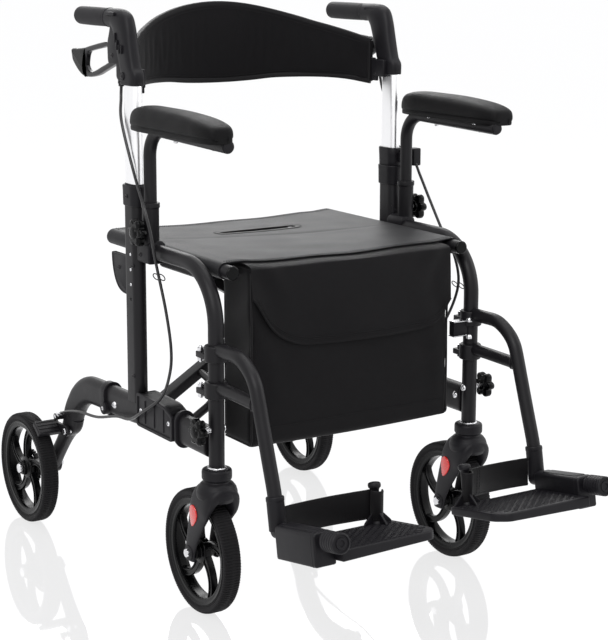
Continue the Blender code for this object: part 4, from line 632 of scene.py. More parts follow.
def make_materials(look):
    """All finishes of the walker."""
    # Powder coat on aluminium tube: sprayed and baked, satin, with a faint orange peel about 2 mm wide
    tree = new_material("powder_coat", look.frame, 0.4, Specular_IOR_Level=0.2)
    dress(tree, (grain(tree, 25.0), look.frame, look.frame_light), (grain(tree, 60.0, 4.0), 0.36, 0.48),
          (grain(tree, 420.0), 0.25, 0.0004))

    # Anodised aluminium tube: extruded, so fine draw lines run along it, bright and slightly soft
    tree = new_material("anodised_aluminium", look.silver, 0.3, Metallic=1.0)
    lines = grain(tree, 600.0, 2.0, (1.0, 1.0, 0.01))
    dress(tree, (lines, look.silver, look.silver_light), (lines, 0.24, 0.38), (lines, 0.12, 0.0002))

    # Glass-filled nylon mouldings: spark-eroded mould texture, grains of about 0.5 mm drawn at 0.8 mm
    tree = new_material("moulded_nylon", look.plastic, 0.44, Specular_IOR_Level=0.18)
    dress(tree, (grain(tree, 30.0), look.plastic, look.plastic_light), (grain(tree, 45.0, 4.0), 0.4, 0.52),
          (grain(tree, 900.0, 2.0), 0.35, 0.0004))

    # Polished ABS of rims, knobs, plugs and lever pads: deep black with a sharp gloss
    tree = new_material("polished_abs", look.gloss, 0.24, Specular_IOR_Level=0.14)
    dress(tree, gloss=(grain(tree, 120.0), 0.18, 0.34), relief=(grain(tree, 300.0), 0.05, 0.0003))

    # Cast lever alloy, painted dark grey: fine sand-cast grain under satin paint
    tree = new_material("painted_alloy", look.lever, 0.32, Metallic=0.5)
    dress(tree, gloss=(grain(tree, 160.0), 0.26, 0.4), relief=(grain(tree, 800.0), 0.2, 0.0003))

    # Thermoplastic rubber grip: soft matt skin with pin-head pits
    tree = new_material("grip_rubber", look.grip, 0.55, Specular_IOR_Level=0.2)
    dress(tree, gloss=(grain(tree, 70.0), 0.52, 0.66), relief=(pits(tree, 700.0), 0.3, 0.0004))

    # Moulded polyurethane foam armrest skin: leather-like grain with cells under 2 mm, soft sheen
    tree = new_material("foam_skin", look.pad, 0.48, Specular_IOR_Level=0.12)
    cells = add(tree, "ShaderNodeMapRange", Value=pits(tree, 620.0, "DISTANCE_TO_EDGE"),
                From_Max=0.25).outputs["Result"]
    dress(tree, (cells, look.gloss, look.pad), (grain(tree, 40.0, 5.0), 0.42, 0.58), (cells, 0.35, 0.0005))

    # Tyre polyurethane: moulded, dull, with dust in the grain
    tree = new_material("tyre_rubber", look.tyre, 0.55, Specular_IOR_Level=0.16)
    dust = grain(tree, 90.0, 6.0)
    dress(tree, (dust, look.tyre, look.tyre_light), (dust, 0.52, 0.72), (grain(tree, 700.0), 0.3, 0.0004))

    # Coated polyester cloth of bag and seat: plain weave of 0.5 mm threads, drawn at 1.1 mm to show
    for name, base, light, rough in (("bag_cloth", look.cloth, look.cloth_light, 0.62),
                                     ("seat_cloth", look.seat, look.seat_light, 0.5)):
        tree = new_material(name, base, rough, Specular_IOR_Level=0.12, Sheen_Weight=0.05, Sheen_Roughness=0.4)
        threads = weave(tree, 0.0011)
        tone = add(tree, "ShaderNodeMath", {"operation": "MULTIPLY"}, i0=threads, i1=grain(tree, 120.0, 5.0))
        dress(tree, (tone.outputs[0], base, light), (grain(tree, 14.0, 4.0), rough - 0.07, rough + 0.07),
              (threads, 0.35, 0.0004))

    # Padded backrest face: brushed knit laminated on foam, with a nap that lightens at grazing angles
    tree = new_material("backrest_knit", look.cloth, 0.75, Sheen_Weight=0.06, Sheen_Roughness=0.35,
                        Specular_IOR_Level=0.12)
    loops = weave(tree, 0.0016)
    dress(tree, (loops, look.cloth, look.cloth_light), relief=(loops, 0.4, 0.0005))

    # Bound edge tape and webbing: herringbone nylon, ribs of 1.5 mm across the tape
    tree = new_material("webbing", look.tape, 0.5, Specular_IOR_Level=0.16, Sheen_Weight=0.04)
    ribs = add(tree, "ShaderNodeTexWave", {"wave_type": "BANDS", "bands_direction": "DIAGONAL"},
               Vector=add(tree, "ShaderNodeTexCoord").outputs["UV"], Scale=210.0, Distortion=0.6,
               Detail=1.0).outputs["Fac"]
    dress(tree, (ribs, look.tape, look.cloth_light), relief=(ribs, 0.35, 0.0004))

    # Polyester sewing thread: twisted, slightly lighter than the cloth it lies on
    tree = new_material("thread", look.cloth_light, 0.55, Specular_IOR_Level=0.15)
    dress(tree, gloss=(grain(tree, 900.0), 0.45, 0.65), relief=(grain(tree, 1500.0), 0.3, 0.0002))

    # Zinc-plated steel screws, nuts and pins: bright with a faint cloudy passivation
    tree = new_material("zinc_steel", look.zinc, 0.25, Metallic=1.0)
    dress(tree, (grain(tree, 90.0), look.zinc, look.silver), (grain(tree, 260.0, 4.0), 0.16, 0.36))

    # Black oxide screws: dark steel with an oily satin
    tree = new_material("black_oxide", look.oxide, 0.34, Metallic=0.8)
    dress(tree, gloss=(grain(tree, 300.0, 4.0), 0.26, 0.42))

    # Red reflector: clear acrylic over a prismatic back, cells of 2 mm; the lighter red towards each cell's edge is
    # painted glints of the prisms
    tree = new_material("reflector_acrylic", look.reflector, 0.15, Coat_Weight=0.6, Coat_Roughness=0.05)
    prisms = pits(tree, 480.0)
    dress(tree, (prisms, look.reflector, look.reflector_glint), relief=(prisms, 0.4, 0.0004))

    # Brake cable sheath: extruded PVC over a wire coil, smooth with a slight gloss
    tree = new_material("pvc_sheath", look.plastic, 0.3, Specular_IOR_Level=0.5)
    dress(tree, gloss=(grain(tree, 200.0), 0.24, 0.38), relief=(grain(tree, 500.0), 0.1, 0.0002))


# ---- frame ----

def build_legs(s, side):
    """Front leg that bends back into the seat tube: straight, a quarter circle in Y and Z, straight."""
    a = np.linspace(np.pi, np.pi / 2, 24)
    cy, cz = LEG_Y + SEAT_TUBE_BEND, SEAT_TUBE_Z - SEAT_TUBE_BEND
    bend = (cy, cz) + polar(SEAT_TUBE_BEND, a)
    line = np.concatenate([[(LEG_Y, LEG_BOTTOM), (LEG_Y, 0.3), (LEG_Y, 0.36), (LEG_Y, 0.42)], bend,
                           [(-0.04, SEAT_TUBE_Z), (0.01, SEAT_TUBE_Z), (POST_FRONT - 0.0003, SEAT_TUBE_Z)]])
    path = at_x(s * LEG_X, line)
    piece(side + "_front_leg", tube(path, LEG_R, sides=36, edge=0.0012), "powder_coat", side + "_side")
    # Saddle under the seat rail: a box outline with a half-round groove, extruded along the tube
    inner, outer = PIVOT_X - RAIL_R - 0.003, LEG_X - LEG_R - 0.0003
    top, low, r = RAIL_Z - 0.0009, RAIL_Z - RAIL_R - 0.0105, RAIL_R + 0.0006
    g = np.linspace(np.pi, 2 * np.pi, 16)
    groove = np.stack([PIVOT_X + r * np.cos(g), top + 0.0008 + (r - 0.0006) * np.sin(g)], 1)
    outline = np.concatenate([[(inner, top)], groove, [(outer, top), (outer, low + 0.003), (outer - 0.003, low),
                                                       (inner + 0.004, low), (inner, low + 0.004)]])
    outline[:, 0] *= s
    y0, y1 = LEG_Y + SEAT_TUBE_BEND - 0.026, 0.024
    parts = [slab(outline, y1 - y0, 0.0008, facing_y(0, (y0 + y1) / 2, 0))]
    parts += [block((s * (inner + 0.002), y, low + 0.006), (0.004, 0.01, 0.01), 0.0006)
              for y in (y0 + 0.012, (y0 + y1) / 2, y1 - 0.012)]
    piece(side + "_rail_saddle", parts, "moulded_nylon", side + "_side")


def build_posts(s, side):
    """Rear post of flat-sided tube with its holes, armrest socket, gusset and guide plate."""
    where = facing_z(s * POST_X, POST_Y, (BEAM_TOP - 0.012 + POST_TOP) / 2)
    post = slab(stadium(POST_W, POST_L, 20), POST_TOP - BEAM_TOP + 0.012, 0.001, where)
    socket = turned([(0.0118, SOCKET_TOP), (0.0152, SOCKET_TOP), (0.0152, SOCKET_TOP - 0.0075),
                     (0.0138, SOCKET_TOP - 0.009), (0.0135, SOCKET_BOTTOM + 0.0003),
                     (0.0118, SOCKET_BOTTOM + 0.0003)], (s * ARM_X, ARM_Y, 0.0), (0, 0, 1), 48, ease=0.0008)
    web = slab(rounded([(ARM_Y + 0.01, SOCKET_BOTTOM), (POST_FRONT + 0.003, SOCKET_BOTTOM),
                        (POST_FRONT + 0.003, 0.633), (ARM_Y + 0.01, 0.622)], 0.003), 0.008, 0.0008,
               facing_x(s * ARM_X))
    boss = turned([(0.0042, 0.0), (0.0088, 0.0), (0.008, 0.0175), (0.0072, 0.0185), (0.0042, 0.0185)],
                  (s * ARM_X, ARM_Y, 0.598), (s, 0, 0), 32, ease=0.0006)
    post = piece(side + "_rear_post", [post, socket, web, boss], "powder_coat", side + "_side")
    hole_y, levels = 0.066, (0.554, 0.5285, 0.5035, 0.479)
    carve(post, [rod((s * (POST_X - 0.02), hole_y, z), (s * (POST_X + 0.02), hole_y, z), 0.003, 24, 0.0002)
                 for z in levels])
    rivets = [screw((s * (POST_X + 0.0112), hole_y, z), (s, 0, 0), 0.0028, 0.0016) for z in levels[:3]]
    piece(side + "_post_rivets", rivets, "zinc_steel", side + "_side")
    t = np.linspace(0, np.pi / 2, 16)
    curve = np.stack([POST_REAR + 0.062 * np.cos(t) ** 0.6, 0.546 - 0.066 * np.sin(t)], 1)
    guide = rounded(np.concatenate([curve, [(POST_REAR - 0.0012, 0.48), (POST_REAR - 0.0012, 0.546)]]), 0.0035, 3)
    # Moulded guide plate behind the post with a raised border
    parts = [slab(guide, 0.0062, 0.0012, facing_x(s * (POST_X - 0.001)))]
    inset = guide + inward(guide) * 0.003
    parts.append(ring_slab(guide, inset, 0.0074, 0.0008, facing_x(s * (POST_X - 0.001))))
    piece(side + "_guide_plate", parts, "moulded_nylon", side + "_side")
    # Junction block that clamps the rear end of the seat tube to the post
    tee = slab(rounded([(-0.016, -0.018), (0.016, -0.018), (0.016, 0.015), (0.009, 0.0205), (-0.009, 0.0205),
                        (-0.016, 0.015)], 0.006), 0.042, 0.003, facing_y(s * 0.2495, 0.026, 0.563))
    rib = slab(rounded([(0.046, 0.548), (0.053, 0.536), (0.052, 0.6), (0.046, 0.586)], 0.003), 0.014, 0.001,
               facing_x(s * 0.254))
    piece(side + "_junction", [tee, rib], "moulded_nylon", side + "_side")
    x = s * (POST_X + 0.0026)
    parts = [screw((x - s * 0.0006, 0.128, 0.522), (s, 0, 0), 0.0036, 0.002),
             screw((s * 0.265, 0.034, 0.558), (s, 0, 0), 0.004, 0.0024),
             screw((s * (POST_X + 0.0118), 0.057, 0.536), (s, 0, 0), 0.0034, 0.0022),
             screw((s * (POST_X + 0.0118), 0.06, 0.35), (s, 0, 0), 0.0034, 0.0022)]
    piece(side + "_post_screws", parts, "black_oxide", side + "_side")


def build_collars(s, side):
    """Moulded collar at the top of the post: the tube's outline, pushed out by a small step at each level. The
    left one carries a second collar and a cable clip."""
    top = POST_TOP + 0.004
    levels = np.array([-0.03, -0.029, -0.02, -0.0045, -0.003, 0.0028, 0.004, 0.004])
    grow = np.array([0.0016, 0.0026, 0.0028, 0.003, 0.0032, 0.0034, 0.0024, 0.0004])
    base = stadium(POST_W, POST_L, 20)
    rows = raised(base[None] - inward(base)[None] * grow[:, None, None], levels + POST_TOP)
    parts = [skin(place(rows, *facing_z(s * POST_X, POST_Y, 0)))]
    parts.append(slab(stadium(POST_W - 0.001, POST_L - 0.001, 20), 0.004, 0.0008,
                      facing_z(s * POST_X, POST_Y, top + 0.0004)))
    if s > 0:
        levels = np.array([-0.0004, 0.001, 0.008, 0.019, 0.0305, 0.032, 0.032])
        grow = np.array([0.0026, 0.0036, 0.0036, 0.004, 0.0046, 0.0036, 0.0004])
        base = stadium(HANDLE_TUBE_W, HANDLE_TUBE_L, 20)
        rows = raised(base[None] - inward(base)[None] * grow[:, None, None], levels + top)
        parts.append(skin(place(rows, *facing_z(s * POST_X, POST_Y, 0))))
        parts.append(block((s * (POST_X + 0.0125), POST_FRONT - 0.009, top + 0.017), (0.011, 0.024, 0.014), 0.0015))
        parts.append(block((s * (POST_X + 0.0125), POST_FRONT - 0.004, top + 0.026), (0.009, 0.02, 0.01), 0.0015))
        parts.append(block((s * 0.27, 0.046, top + 0.016), (0.028, 0.016, 0.018), 0.0015))
        parts.append(block((s * 0.2845, 0.036, top + 0.016), (0.0165, 0.018, 0.031), 0.002))
    piece(side + "_post_collar", parts, "moulded_nylon", side + "_side")
    x = s * (POST_X + POST_W / 2 + 0.0032)
    piece(side + "_collar_screw", [screw((x, POST_Y, POST_TOP - 0.014), (s, 0, 0), 0.0034, 0.0016)], "black_oxide",
          side + "_side")


def beam_line(s):
    """Centre line of the lower beam, level at first and turned down to the fork."""
    line = np.array([(LEG_Y + LEG_R + 0.0003, 0.29), (-0.08, 0.29), (0.02, 0.29), (0.11, 0.284), (0.235, 0.281),
        (0.265, 0.2775), (0.288, 0.2685), (0.308, 0.254), (0.322, 0.238), (0.331, 0.226), (0.338, 0.212)])
    return at_x(s * BEAM_X, line)


def build_beams(s, side):
    """Flat-sided lower beam that turns down to the rear fork: a stadium carried along its centre line."""
    path = smooth(beam_line(s), 90)
    piece(side + "_lower_beam", carried(stadium(BEAM_W, BEAM_H, 18), path, (1, 0, 0), edge=0.002), "powder_coat",
          side + "_side")
    bolts = [screw((s * (BEAM_X + d * BEAM_W / 2), y, z), (d * s, 0, 0), 0.006, height)
             for d, height in ((1, 0.0042), (-1, 0.0036)) for y, z in ((-0.158, 0.296), (0.142, 0.281))]
    piece(side + "_beam_bolts", bolts, "zinc_steel", side + "_side")
    # Brace block: a moulded clamp round the beam with a raised frame, a collar ring and pin lugs
    y0, y1, z0, z1 = -0.075, 0.05, 0.268, 0.325
    mid = ((y0 + y1) / 2, (z0 + z1) / 2)
    x = s * (BEAM_X + 0.0027)
    outline = rounded([(y0, z0), (y1, z0), (y1, z1), (y1 - 0.022, z1), (y0 + 0.03, z1 - 0.002), (y0, z1 - 0.014)],
                      0.008, 6)
    parts = [slab(outline, BEAM_W + 0.005, 0.0022, facing_x(x))]
    inset = outline + inward(outline) * 0.0055
    parts.append(ring_slab(outline, inset, BEAM_W + 0.0084, 0.0012, facing_x(x)))
    parts += [block((x, y, mid[1]), (BEAM_W + 0.0076, 0.0028, z1 - z0 - 0.018), 0.0008) for y in (-0.044, -0.012, 0.02)]
    parts.append(slab(stadium(BEAM_W + 0.008, BEAM_H + 0.01, 20), 0.01, 0.0016, facing_y(s * BEAM_X, y0 - 0.005, 0.29)))
    parts.append(slab(stadium(BEAM_W + 0.0105, BEAM_H + 0.0125, 20), 0.004, 0.0014,
        facing_y(s * BEAM_X, y0 - 0.0078, 0.29)))
    inner = BEAM_X - BEAM_W / 2
    strip = PIVOT_X + 0.0132
    parts.append(block((s * (strip + inner) / 2, 0.0765, PIVOT_Z), (inner - strip, 0.066, 0.02), 0.0015))
    parts += [slab(rounded([(-0.0105, -0.011), (0.0165, -0.011), (0.0165, 0.011), (-0.0105, 0.011)], 0.0095), 0.005,
                   0.001, ((s * PIVOT_X, y, PIVOT_Z), (s, 0, 0), (0, 0, 1), (0, 1, 0))) for y in (-0.0632, 0.1032)]
    piece(side + "_brace_block", parts, "moulded_nylon", side + "_side")
    pins = [rod((s * PIVOT_X, -0.0712, PIVOT_Z), (s * PIVOT_X, 0.1112, PIVOT_Z), 0.004)]
    pins += [nut((s * PIVOT_X, y, PIVOT_Z), (0, d, 0), 0.0105, 0.0045) for y, d in ((-0.0658, -1), (0.1058, 1))]
    pins += [screw((x + s * 0.0146, y, 0.296), (s, 0, 0), 0.0042, 0.0022) for y in (-0.06, 0.036)]
    piece(side + "_block_hardware", pins, "zinc_steel", side + "_side")
    parts = [slab(stadium(BEAM_W + 0.008, BEAM_H + 0.008, 20), 0.018, 0.0016, facing_y(s * BEAM_X, 0.185, 0.282)),
             turned([(0.0045, -0.004), (0.011, -0.004), (0.011, 0.0065), (0.0085, 0.008), (0.0045, 0.008)],
                    (s * (BEAM_X + BEAM_W / 2), 0.176, 0.268), (s, 0, 0), 36, ease=0.0008),
             slab(stadium(BEAM_W + 0.0104, BEAM_H + 0.0104, 20), 0.003, 0.0012, facing_y(s * BEAM_X, 0.1765, 0.282))]
    piece(side + "_beam_clamp", parts, "moulded_nylon", side + "_side")
    head = screw((s * (BEAM_X + BEAM_W / 2 + 0.0065), 0.176, 0.268), (s, 0, 0), 0.0044, 0.002)
    piece(side + "_clamp_screw", head, "zinc_steel", side + "_side")


def build_forks(s, side):
    """Cast rear fork: the beam's section narrows along a smooth line to a boss at the axle."""
    line = np.array([(0.3348, 0.2185), (0.342, 0.203), (0.356, 0.187), (0.375, 0.166), (0.398, 0.14), (0.418, 0.1175),
        (0.4325, 0.1015)])
    half = np.array([(0.014, 0.0262), (0.0142, 0.0245), (0.0125, 0.018), (0.0112, 0.0152), (0.0108, 0.0145),
                     (0.011, 0.0152), (0.011, 0.016)])
    both = smooth(np.column_stack([line, half * 4]), 60)
    path = at_x(s * BEAM_X, both)
    scale = both[:, 2:] / 4
    centre = np.array([s * BEAM_X, REAR_AXLE_Y, WHEEL_R])
    parts = [carried(superellipse(40, 0.7, 0.85), path, (1, 0, 0), scale)]
    parts.append(turned([(0.006, -0.0112), (0.015, -0.0112), (0.0168, -0.0095), (0.0168, 0.0095), (0.015, 0.0112),
                         (0.0112, 0.0114), (0.011, 0.015), (0.006, 0.015)], centre, (s, 0, 0), 48, ease=0.0008))
    parts.append(turned([(0.0038, -0.004), (0.007, -0.004), (0.0062, 0.005), (0.0062, 0.0165), (0.0038, 0.0165)],
                        (s * FORK_OUTER, CABLE_STOP[1], CABLE_STOP[2]), (s, 0, 0), 28, ease=0.0006))
    piece(side + "_rear_fork", parts, "powder_coat", side + "_side")
    hub = REAR_HUB_OUT
    parts = [rod((s * (BEAM_X - 0.0145), REAR_AXLE_Y, WHEEL_R), (s * (hub + 0.004), REAR_AXLE_Y, WHEEL_R), 0.006),
             nut((s * (BEAM_X - 0.0112), REAR_AXLE_Y, WHEEL_R), (-s, 0, 0), 0.016, 0.0065),
             rod((s * (FORK_OUTER - 0.004), *BRAKE_PIN), (s * (FORK_OUTER + 0.0122), *BRAKE_PIN), 0.004),
             nut((s * (FORK_OUTER + 0.0093), *BRAKE_PIN), (s, 0, 0), 0.01, 0.0036),
             screw((s * (FORK_OUTER + 0.0162), CABLE_STOP[1], CABLE_STOP[2]), (s, 0, 0), 0.0042, 0.0014),
             nut((s * (hub + 0.0003), REAR_AXLE_Y, WHEEL_R), (s, 0, 0), 0.0165, 0.0056)]
    piece(side + "_rear_hardware", parts, "zinc_steel", side + "_side")
    # Brake arm with the shoe carried along a short arc round the wheel
    angle = math.radians(126)
    reach = WHEEL_R + BRAKE_CLEAR + 0.0052
    end = (REAR_AXLE_Y + (reach + 0.001) * math.cos(angle), WHEEL_R + (reach + 0.001) * math.sin(angle))
    x0, x1 = FORK_OUTER + 0.003, REAR_WHEEL_X + TYRE_W / 2 - 0.002
    arm = slab(capsule(BRAKE_PIN, end, 0.0095, 0.0072, 16), 0.006, 0.001, facing_x(s * (x0 + 0.003)))
    t = np.linspace(angle - 0.137, angle + 0.137, 24)
    arc = xyz(s * (x0 + x1) / 2, REAR_AXLE_Y + reach * np.cos(t), WHEEL_R + reach * np.sin(t))
    w = (x1 - x0) / 2
    shoe = carried(bar(w, 0.0048, 0.002), arc, (1, 0, 0), edge=0.001)
    rise = reach + np.array([0.004, 0.0052, 0.006])
    ribs = [carried(bar(w - 0.004, 0.0012, 0.0006),
                    xyz(s * (x0 + x1) / 2, REAR_AXLE_Y + rise * math.cos(v), WHEEL_R + rise * math.sin(v)), (1, 0, 0))
            for v in np.linspace(angle - 0.1, angle + 0.1, 4)]
    piece(side + "_brake_arm", [arm, shoe] + ribs, "powder_coat", side + "_brake")


def build_brace(name, s):
    """One bar of the scissor: a rectangular tube from its barrel up to the seat rail on the other side."""
    bar_y = BAR_Y[name]
    low = np.array([s * PIVOT_X, bar_y, PIVOT_Z])
    high = np.array([-s * PIVOT_X, bar_y, RAIL_Z])
    way = unit(high - low)
    w, h = 0.014, 0.0085
    path = np.linspace(low + way * 0.006, high - way * 0.004, 12)
    parts = [carried(bar(w, h, 0.003, 6), path, (0, 1, 0), edge=0.001)]
    parts.append(turned([(0.0046, -0.06), (0.01, -0.06), (0.01, 0.1), (0.0046, 0.1)],
                        (low[0], 0, PIVOT_Z), (0, 1, 0), 36, ease=0.001))
    # Strut beside the bar, from the barrel's front end, that turns back to join it
    t = np.array([0.004, 0.024, 0.046, 0.066, 0.084, 0.098])
    strut = low + way * t[:, None]
    strut[:, 1] = (-0.042, -0.042, -0.041, -0.03, 0.0, bar_y - w + 0.004)
    parts.append(tube(smooth(strut, 40), 0.0068, up=(0, 0, 1)))
    parts.append(rod((high[0], RAIL_Y[0] + 0.004, RAIL_Z), (high[0], RAIL_Y[1] - 0.003, RAIL_Z), RAIL_R, 36, 0.001))
    # Weld beads where barrel, rail and bar meet
    for centre, r in ((low, 0.0104), (high, 0.0112)):
        t = np.linspace(-2.2, 2.2, 20) + math.atan2(way[2], way[0]) + (0 if centre is low else np.pi)
        parts += [tube(xyz(centre[0] + r * 0.92 * np.cos(t), bar_y + d * w, centre[2] + r * 0.92 * np.sin(t)),
                       0.0016, up=(0, 1, 0), sides=10) for d in (-1, 1)]
    piece(name, parts, "powder_coat", name)
    plugs = [turned([(0.0, 0.0), (0.0095, 0.0), (0.0112, -0.0016), (0.0112, -0.005), (0.0, -0.005)],
                    (high[0], y, RAIL_Z), (0, d, 0), 36, ease=0.001) for y, d in ((RAIL_Y[0], -1), (RAIL_Y[1], 1))]
    piece(name + "_plugs", plugs, "polished_abs", name)
    centre_z = (PIVOT_Z + RAIL_Z) / 2
    if name == "brace_a":
        face = BAR_Y["brace_b"] - w
        parts = [nut((0, face - 0.0003, centre_z), (0, -1, 0), 0.013, 0.007),
                 turned([(0.0045, 0.0), (0.011, 0.0), (0.011, -0.0014), (0.0045, -0.0014)],
                        (0, BAR_Y["brace_b"] + w + 0.002, centre_z), (0, 1, 0), 36),
                 rod((0, face - 0.008, centre_z), (0, bar_y + w + 0.006, centre_z), 0.0038),
                 nut((0, bar_y + w, centre_z), (0, 1, 0), 0.013, 0.006)]
        piece("brace_bolt", parts, "zinc_steel", name)


# ---- handles and armrests ----

def housing_sections():
    """Rings of the elbow: front y and z, rear y and z, half width, and the power of its superellipse."""
    f, b, g, n = HOUSING_FRONT, HOUSING_BOTTOM, GRIP_Z, GRIP_R
    back = f + HOUSING_L
    return np.array([
        (f, b, back, b, 0.013, 0.6), (f, b + 0.018, back, b + 0.018, 0.013, 0.6),
        (f + 0.008, b + 0.029, back + 0.003, b + 0.027, 0.013, 0.62),
        (f + 0.0145, b + 0.05, back + 0.01, b + 0.047, 0.0135, 0.65),
        (f + 0.0195, g - 0.0355, back + 0.016, g - 0.043, 0.014, 0.7),
        (f + 0.0245, g - 0.0135, back + 0.024, g - 0.026, 0.0145, 0.8),
        (f + 0.0325, g + 0.0045, back + 0.029, g - 0.0195, 0.0151, 0.88),
        (f + 0.046, g + 0.0128, back + 0.032, g - 0.0165, 0.0155, 0.95),
        (f + 0.064, g + n, back + 0.0335, g - n, 0.0155, 1.0),
        (GRIP_Y0 - 0.0016, g + n, GRIP_Y0 - 0.0016, g - n, 0.0155, 1.0)])


def build_handles(s, side):
    """Silver tube, moulded elbow and grip. The elbow's rings run between its front and rear lines as
    superellipses: across = w sign(cos) |cos|^q, along = (1 + sign(sin) |sin|^q) / 2."""
    body = side + "_handle"
    z0, z1 = 0.44, 0.846
    inner_tube = slab(stadium(HANDLE_TUBE_W, HANDLE_TUBE_L, 20), z1 - z0, 0.0008,
                      facing_z(s * POST_X, POST_Y, (z0 + z1) / 2))
    inner_tube = piece(side + "_handle_tube", inner_tube, "anodised_aluminium", body)
    carve(inner_tube, [rod((s * (POST_X - 0.02), POST_REAR - 0.0095, 0.466),
                           (s * (POST_X + 0.02), POST_REAR - 0.0095, 0.466), 0.003, 24, 0.0002)])
    k = smooth(housing_sections() * np.array([1, 1, 1, 1, 1, 0.05]), 72) / np.array([1, 1, 1, 1, 1, 0.05])
    a = turns(56)
    q = k[:, 5:6]
    across = k[:, 4:5] * bowed(np.cos(a), q)
    t = (1 + bowed(np.sin(a), q)) / 2
    x = s * HANDLE_X
    rows = xyz(x + across, k[:, 0:1] + (k[:, 2:3] - k[:, 0:1]) * t, k[:, 1:2] + (k[:, 3:4] - k[:, 1:2]) * t)
    lip = rows[:1] + (rows[:1].mean(1, keepdims=True) - rows[:1]) * 0.06 - np.array([0, 0, 0.0005])
    parts = [skin(np.concatenate([lip, rows]))]
    # Rim round the foot of the elbow and a parting ridge before the grip
    parts.append(slab(stadium(0.0272, HOUSING_L + 0.0014, 20), 0.005, 0.0014,
                      facing_z(x, HOUSING_FRONT + HOUSING_L / 2, HOUSING_BOTTOM + 0.0025)))
    parts.append(turned([(0.01, -0.0022), (0.0162, -0.0022), (0.0162, 0.0014), (0.01, 0.0014)],
                        (x, GRIP_Y0, GRIP_Z), (0, 1, 0), 56, ease=0.0008))
    y = LEVER_Y + 0.0165
    cheek = rounded([(y - 0.045, LEVER_Z - 0.013), (y - 0.003, LEVER_Z - 0.014), (y, LEVER_Z - 0.007),
                     (y + 0.001, LEVER_Z + 0.017), (y - 0.001, LEVER_Z + 0.025), (y - 0.007, LEVER_Z + 0.038),
                     (y - 0.0105, GRIP_Z - GRIP_R + 0.006), (y - 0.045, GRIP_Z - GRIP_R + 0.006)], 0.003)
    for d in (-1, 1):
        parts.append(slab(cheek, 0.0041, 0.0012, facing_x(x + d * 0.00845)))
    y = HOUSING_FRONT + HOUSING_L
    foot = rounded([(y - 0.016, HOUSING_BOTTOM + 0.003), (y + 0.009, HOUSING_BOTTOM + 0.0045),
                    (y + 0.0155, HOUSING_BOTTOM + 0.01), (y + 0.0155, LEVER_Z - 0.01),
                    (y - 0.016, LEVER_Z - 0.01)], 0.004)
    parts.append(slab(foot, 0.018, 0.003, facing_x(x)))
    # Clip that holds the end of the backrest, with a tapered tongue
    cx = HANDLE_X - 0.015
    parts.append(block((s * cx, BACK_Y + 0.003, HOUSING_BOTTOM + 0.01), (0.01, 0.036, 0.03), 0.0018))
    parts.append(block((s * (cx - 0.0015), BACK_Y - 0.004, HOUSING_BOTTOM - 0.006), (0.007, 0.014, 0.016), 0.0014))
    # Boss of the screw low on the outer flank, then short seams cut beside it
    parts.append(turned([(0.003, -0.003), (0.0072, -0.003), (0.0066, 0.0018), (0.003, 0.0018)],
                        (s * (HANDLE_X + 0.0128), 0.0835, 0.844), (s, 0, 0), 36, ease=0.0006))
    obj = piece(side + "_handle_housing", parts, "moulded_nylon", body)
    cuts = [slab(stadium(0.0024, h, 8), 0.006, 0.0004, facing_x(s * (HANDLE_X + 0.014), yy, zz))
            for yy, zz, h in ((0.0965, 0.8935, 0.016), (0.089, 0.887, 0.014), (0.0815, 0.887, 0.014))]
    cuts.append(block((s * (HANDLE_X + 0.015), 0.103, 0.905), (0.004, 0.003, 0.016), 0.0006))
    cuts.append(block((x - 0.0152, 0.119, 0.943), (0.0046, 0.03, 0.0056), 0.0008))
    carve(obj, cuts)
    end, way = cable_start(s)
    parts = [turned([(0.0026, 0.0), (0.0046, 0.0), (0.0046, 0.004), (0.0056, 0.0044), (0.0056, 0.011),
                     (0.0048, 0.016), (0.0026, 0.016)], end + way * 0.0002, -way, 28, ease=0.0004)]
    piece(side + "_cable_adjuster", parts, "black_oxide", body)
    parts = [screw((s * (HANDLE_X + 0.0145), 0.0835, 0.844), (s, 0, 0), 0.0034, 0.0012),
             screw((s * (HANDLE_X + 0.0104), LEVER_Y, LEVER_Z), (s, 0, 0), 0.004, 0.0016),
             screw((s * (HANDLE_X - 0.0104), LEVER_Y, LEVER_Z), (-s, 0, 0), 0.004, 0.0016),
             screw((s * (cx - 0.0048), BACK_Y + 0.01, HOUSING_BOTTOM - 0.001), (-s, 0, 0), 0.0026, 0.0012)]
    piece(side + "_handle_screws", parts, "black_oxide", body)
    # Grip: a slightly barrelled sleeve with a rounded end, shallow rings and a dimple in its end
    h = np.linspace(0, 1, 60)
    r = GRIP_R - 0.0004 + 0.0004 * np.sin(np.pi * h)
    groove = 0.0006 * (np.exp(-((h - 0.035) / 0.01) ** 2) + np.exp(-((h - 0.93) / 0.01) ** 2))
    end_r = np.minimum(1.0, (1 - h) * GRIP_LEN / 0.0065)
    r = (r - groove) - 0.0065 * (1 - np.sqrt(np.maximum(0.0, 1 - (1 - end_r) ** 2)))
    profile = np.concatenate([[(0.01, 0.0)], np.stack([r, h * GRIP_LEN], 1)])
    profile = np.concatenate([profile, [(0.0055, GRIP_LEN + 0.0001), (0.005, GRIP_LEN - 0.001),
                                        (0.0002, GRIP_LEN - 0.001)]])
    piece(side + "_handle_grip", turned(profile, (x, GRIP_Y0, GRIP_Z), (0, 1, 0), 64), "grip_rubber", body)


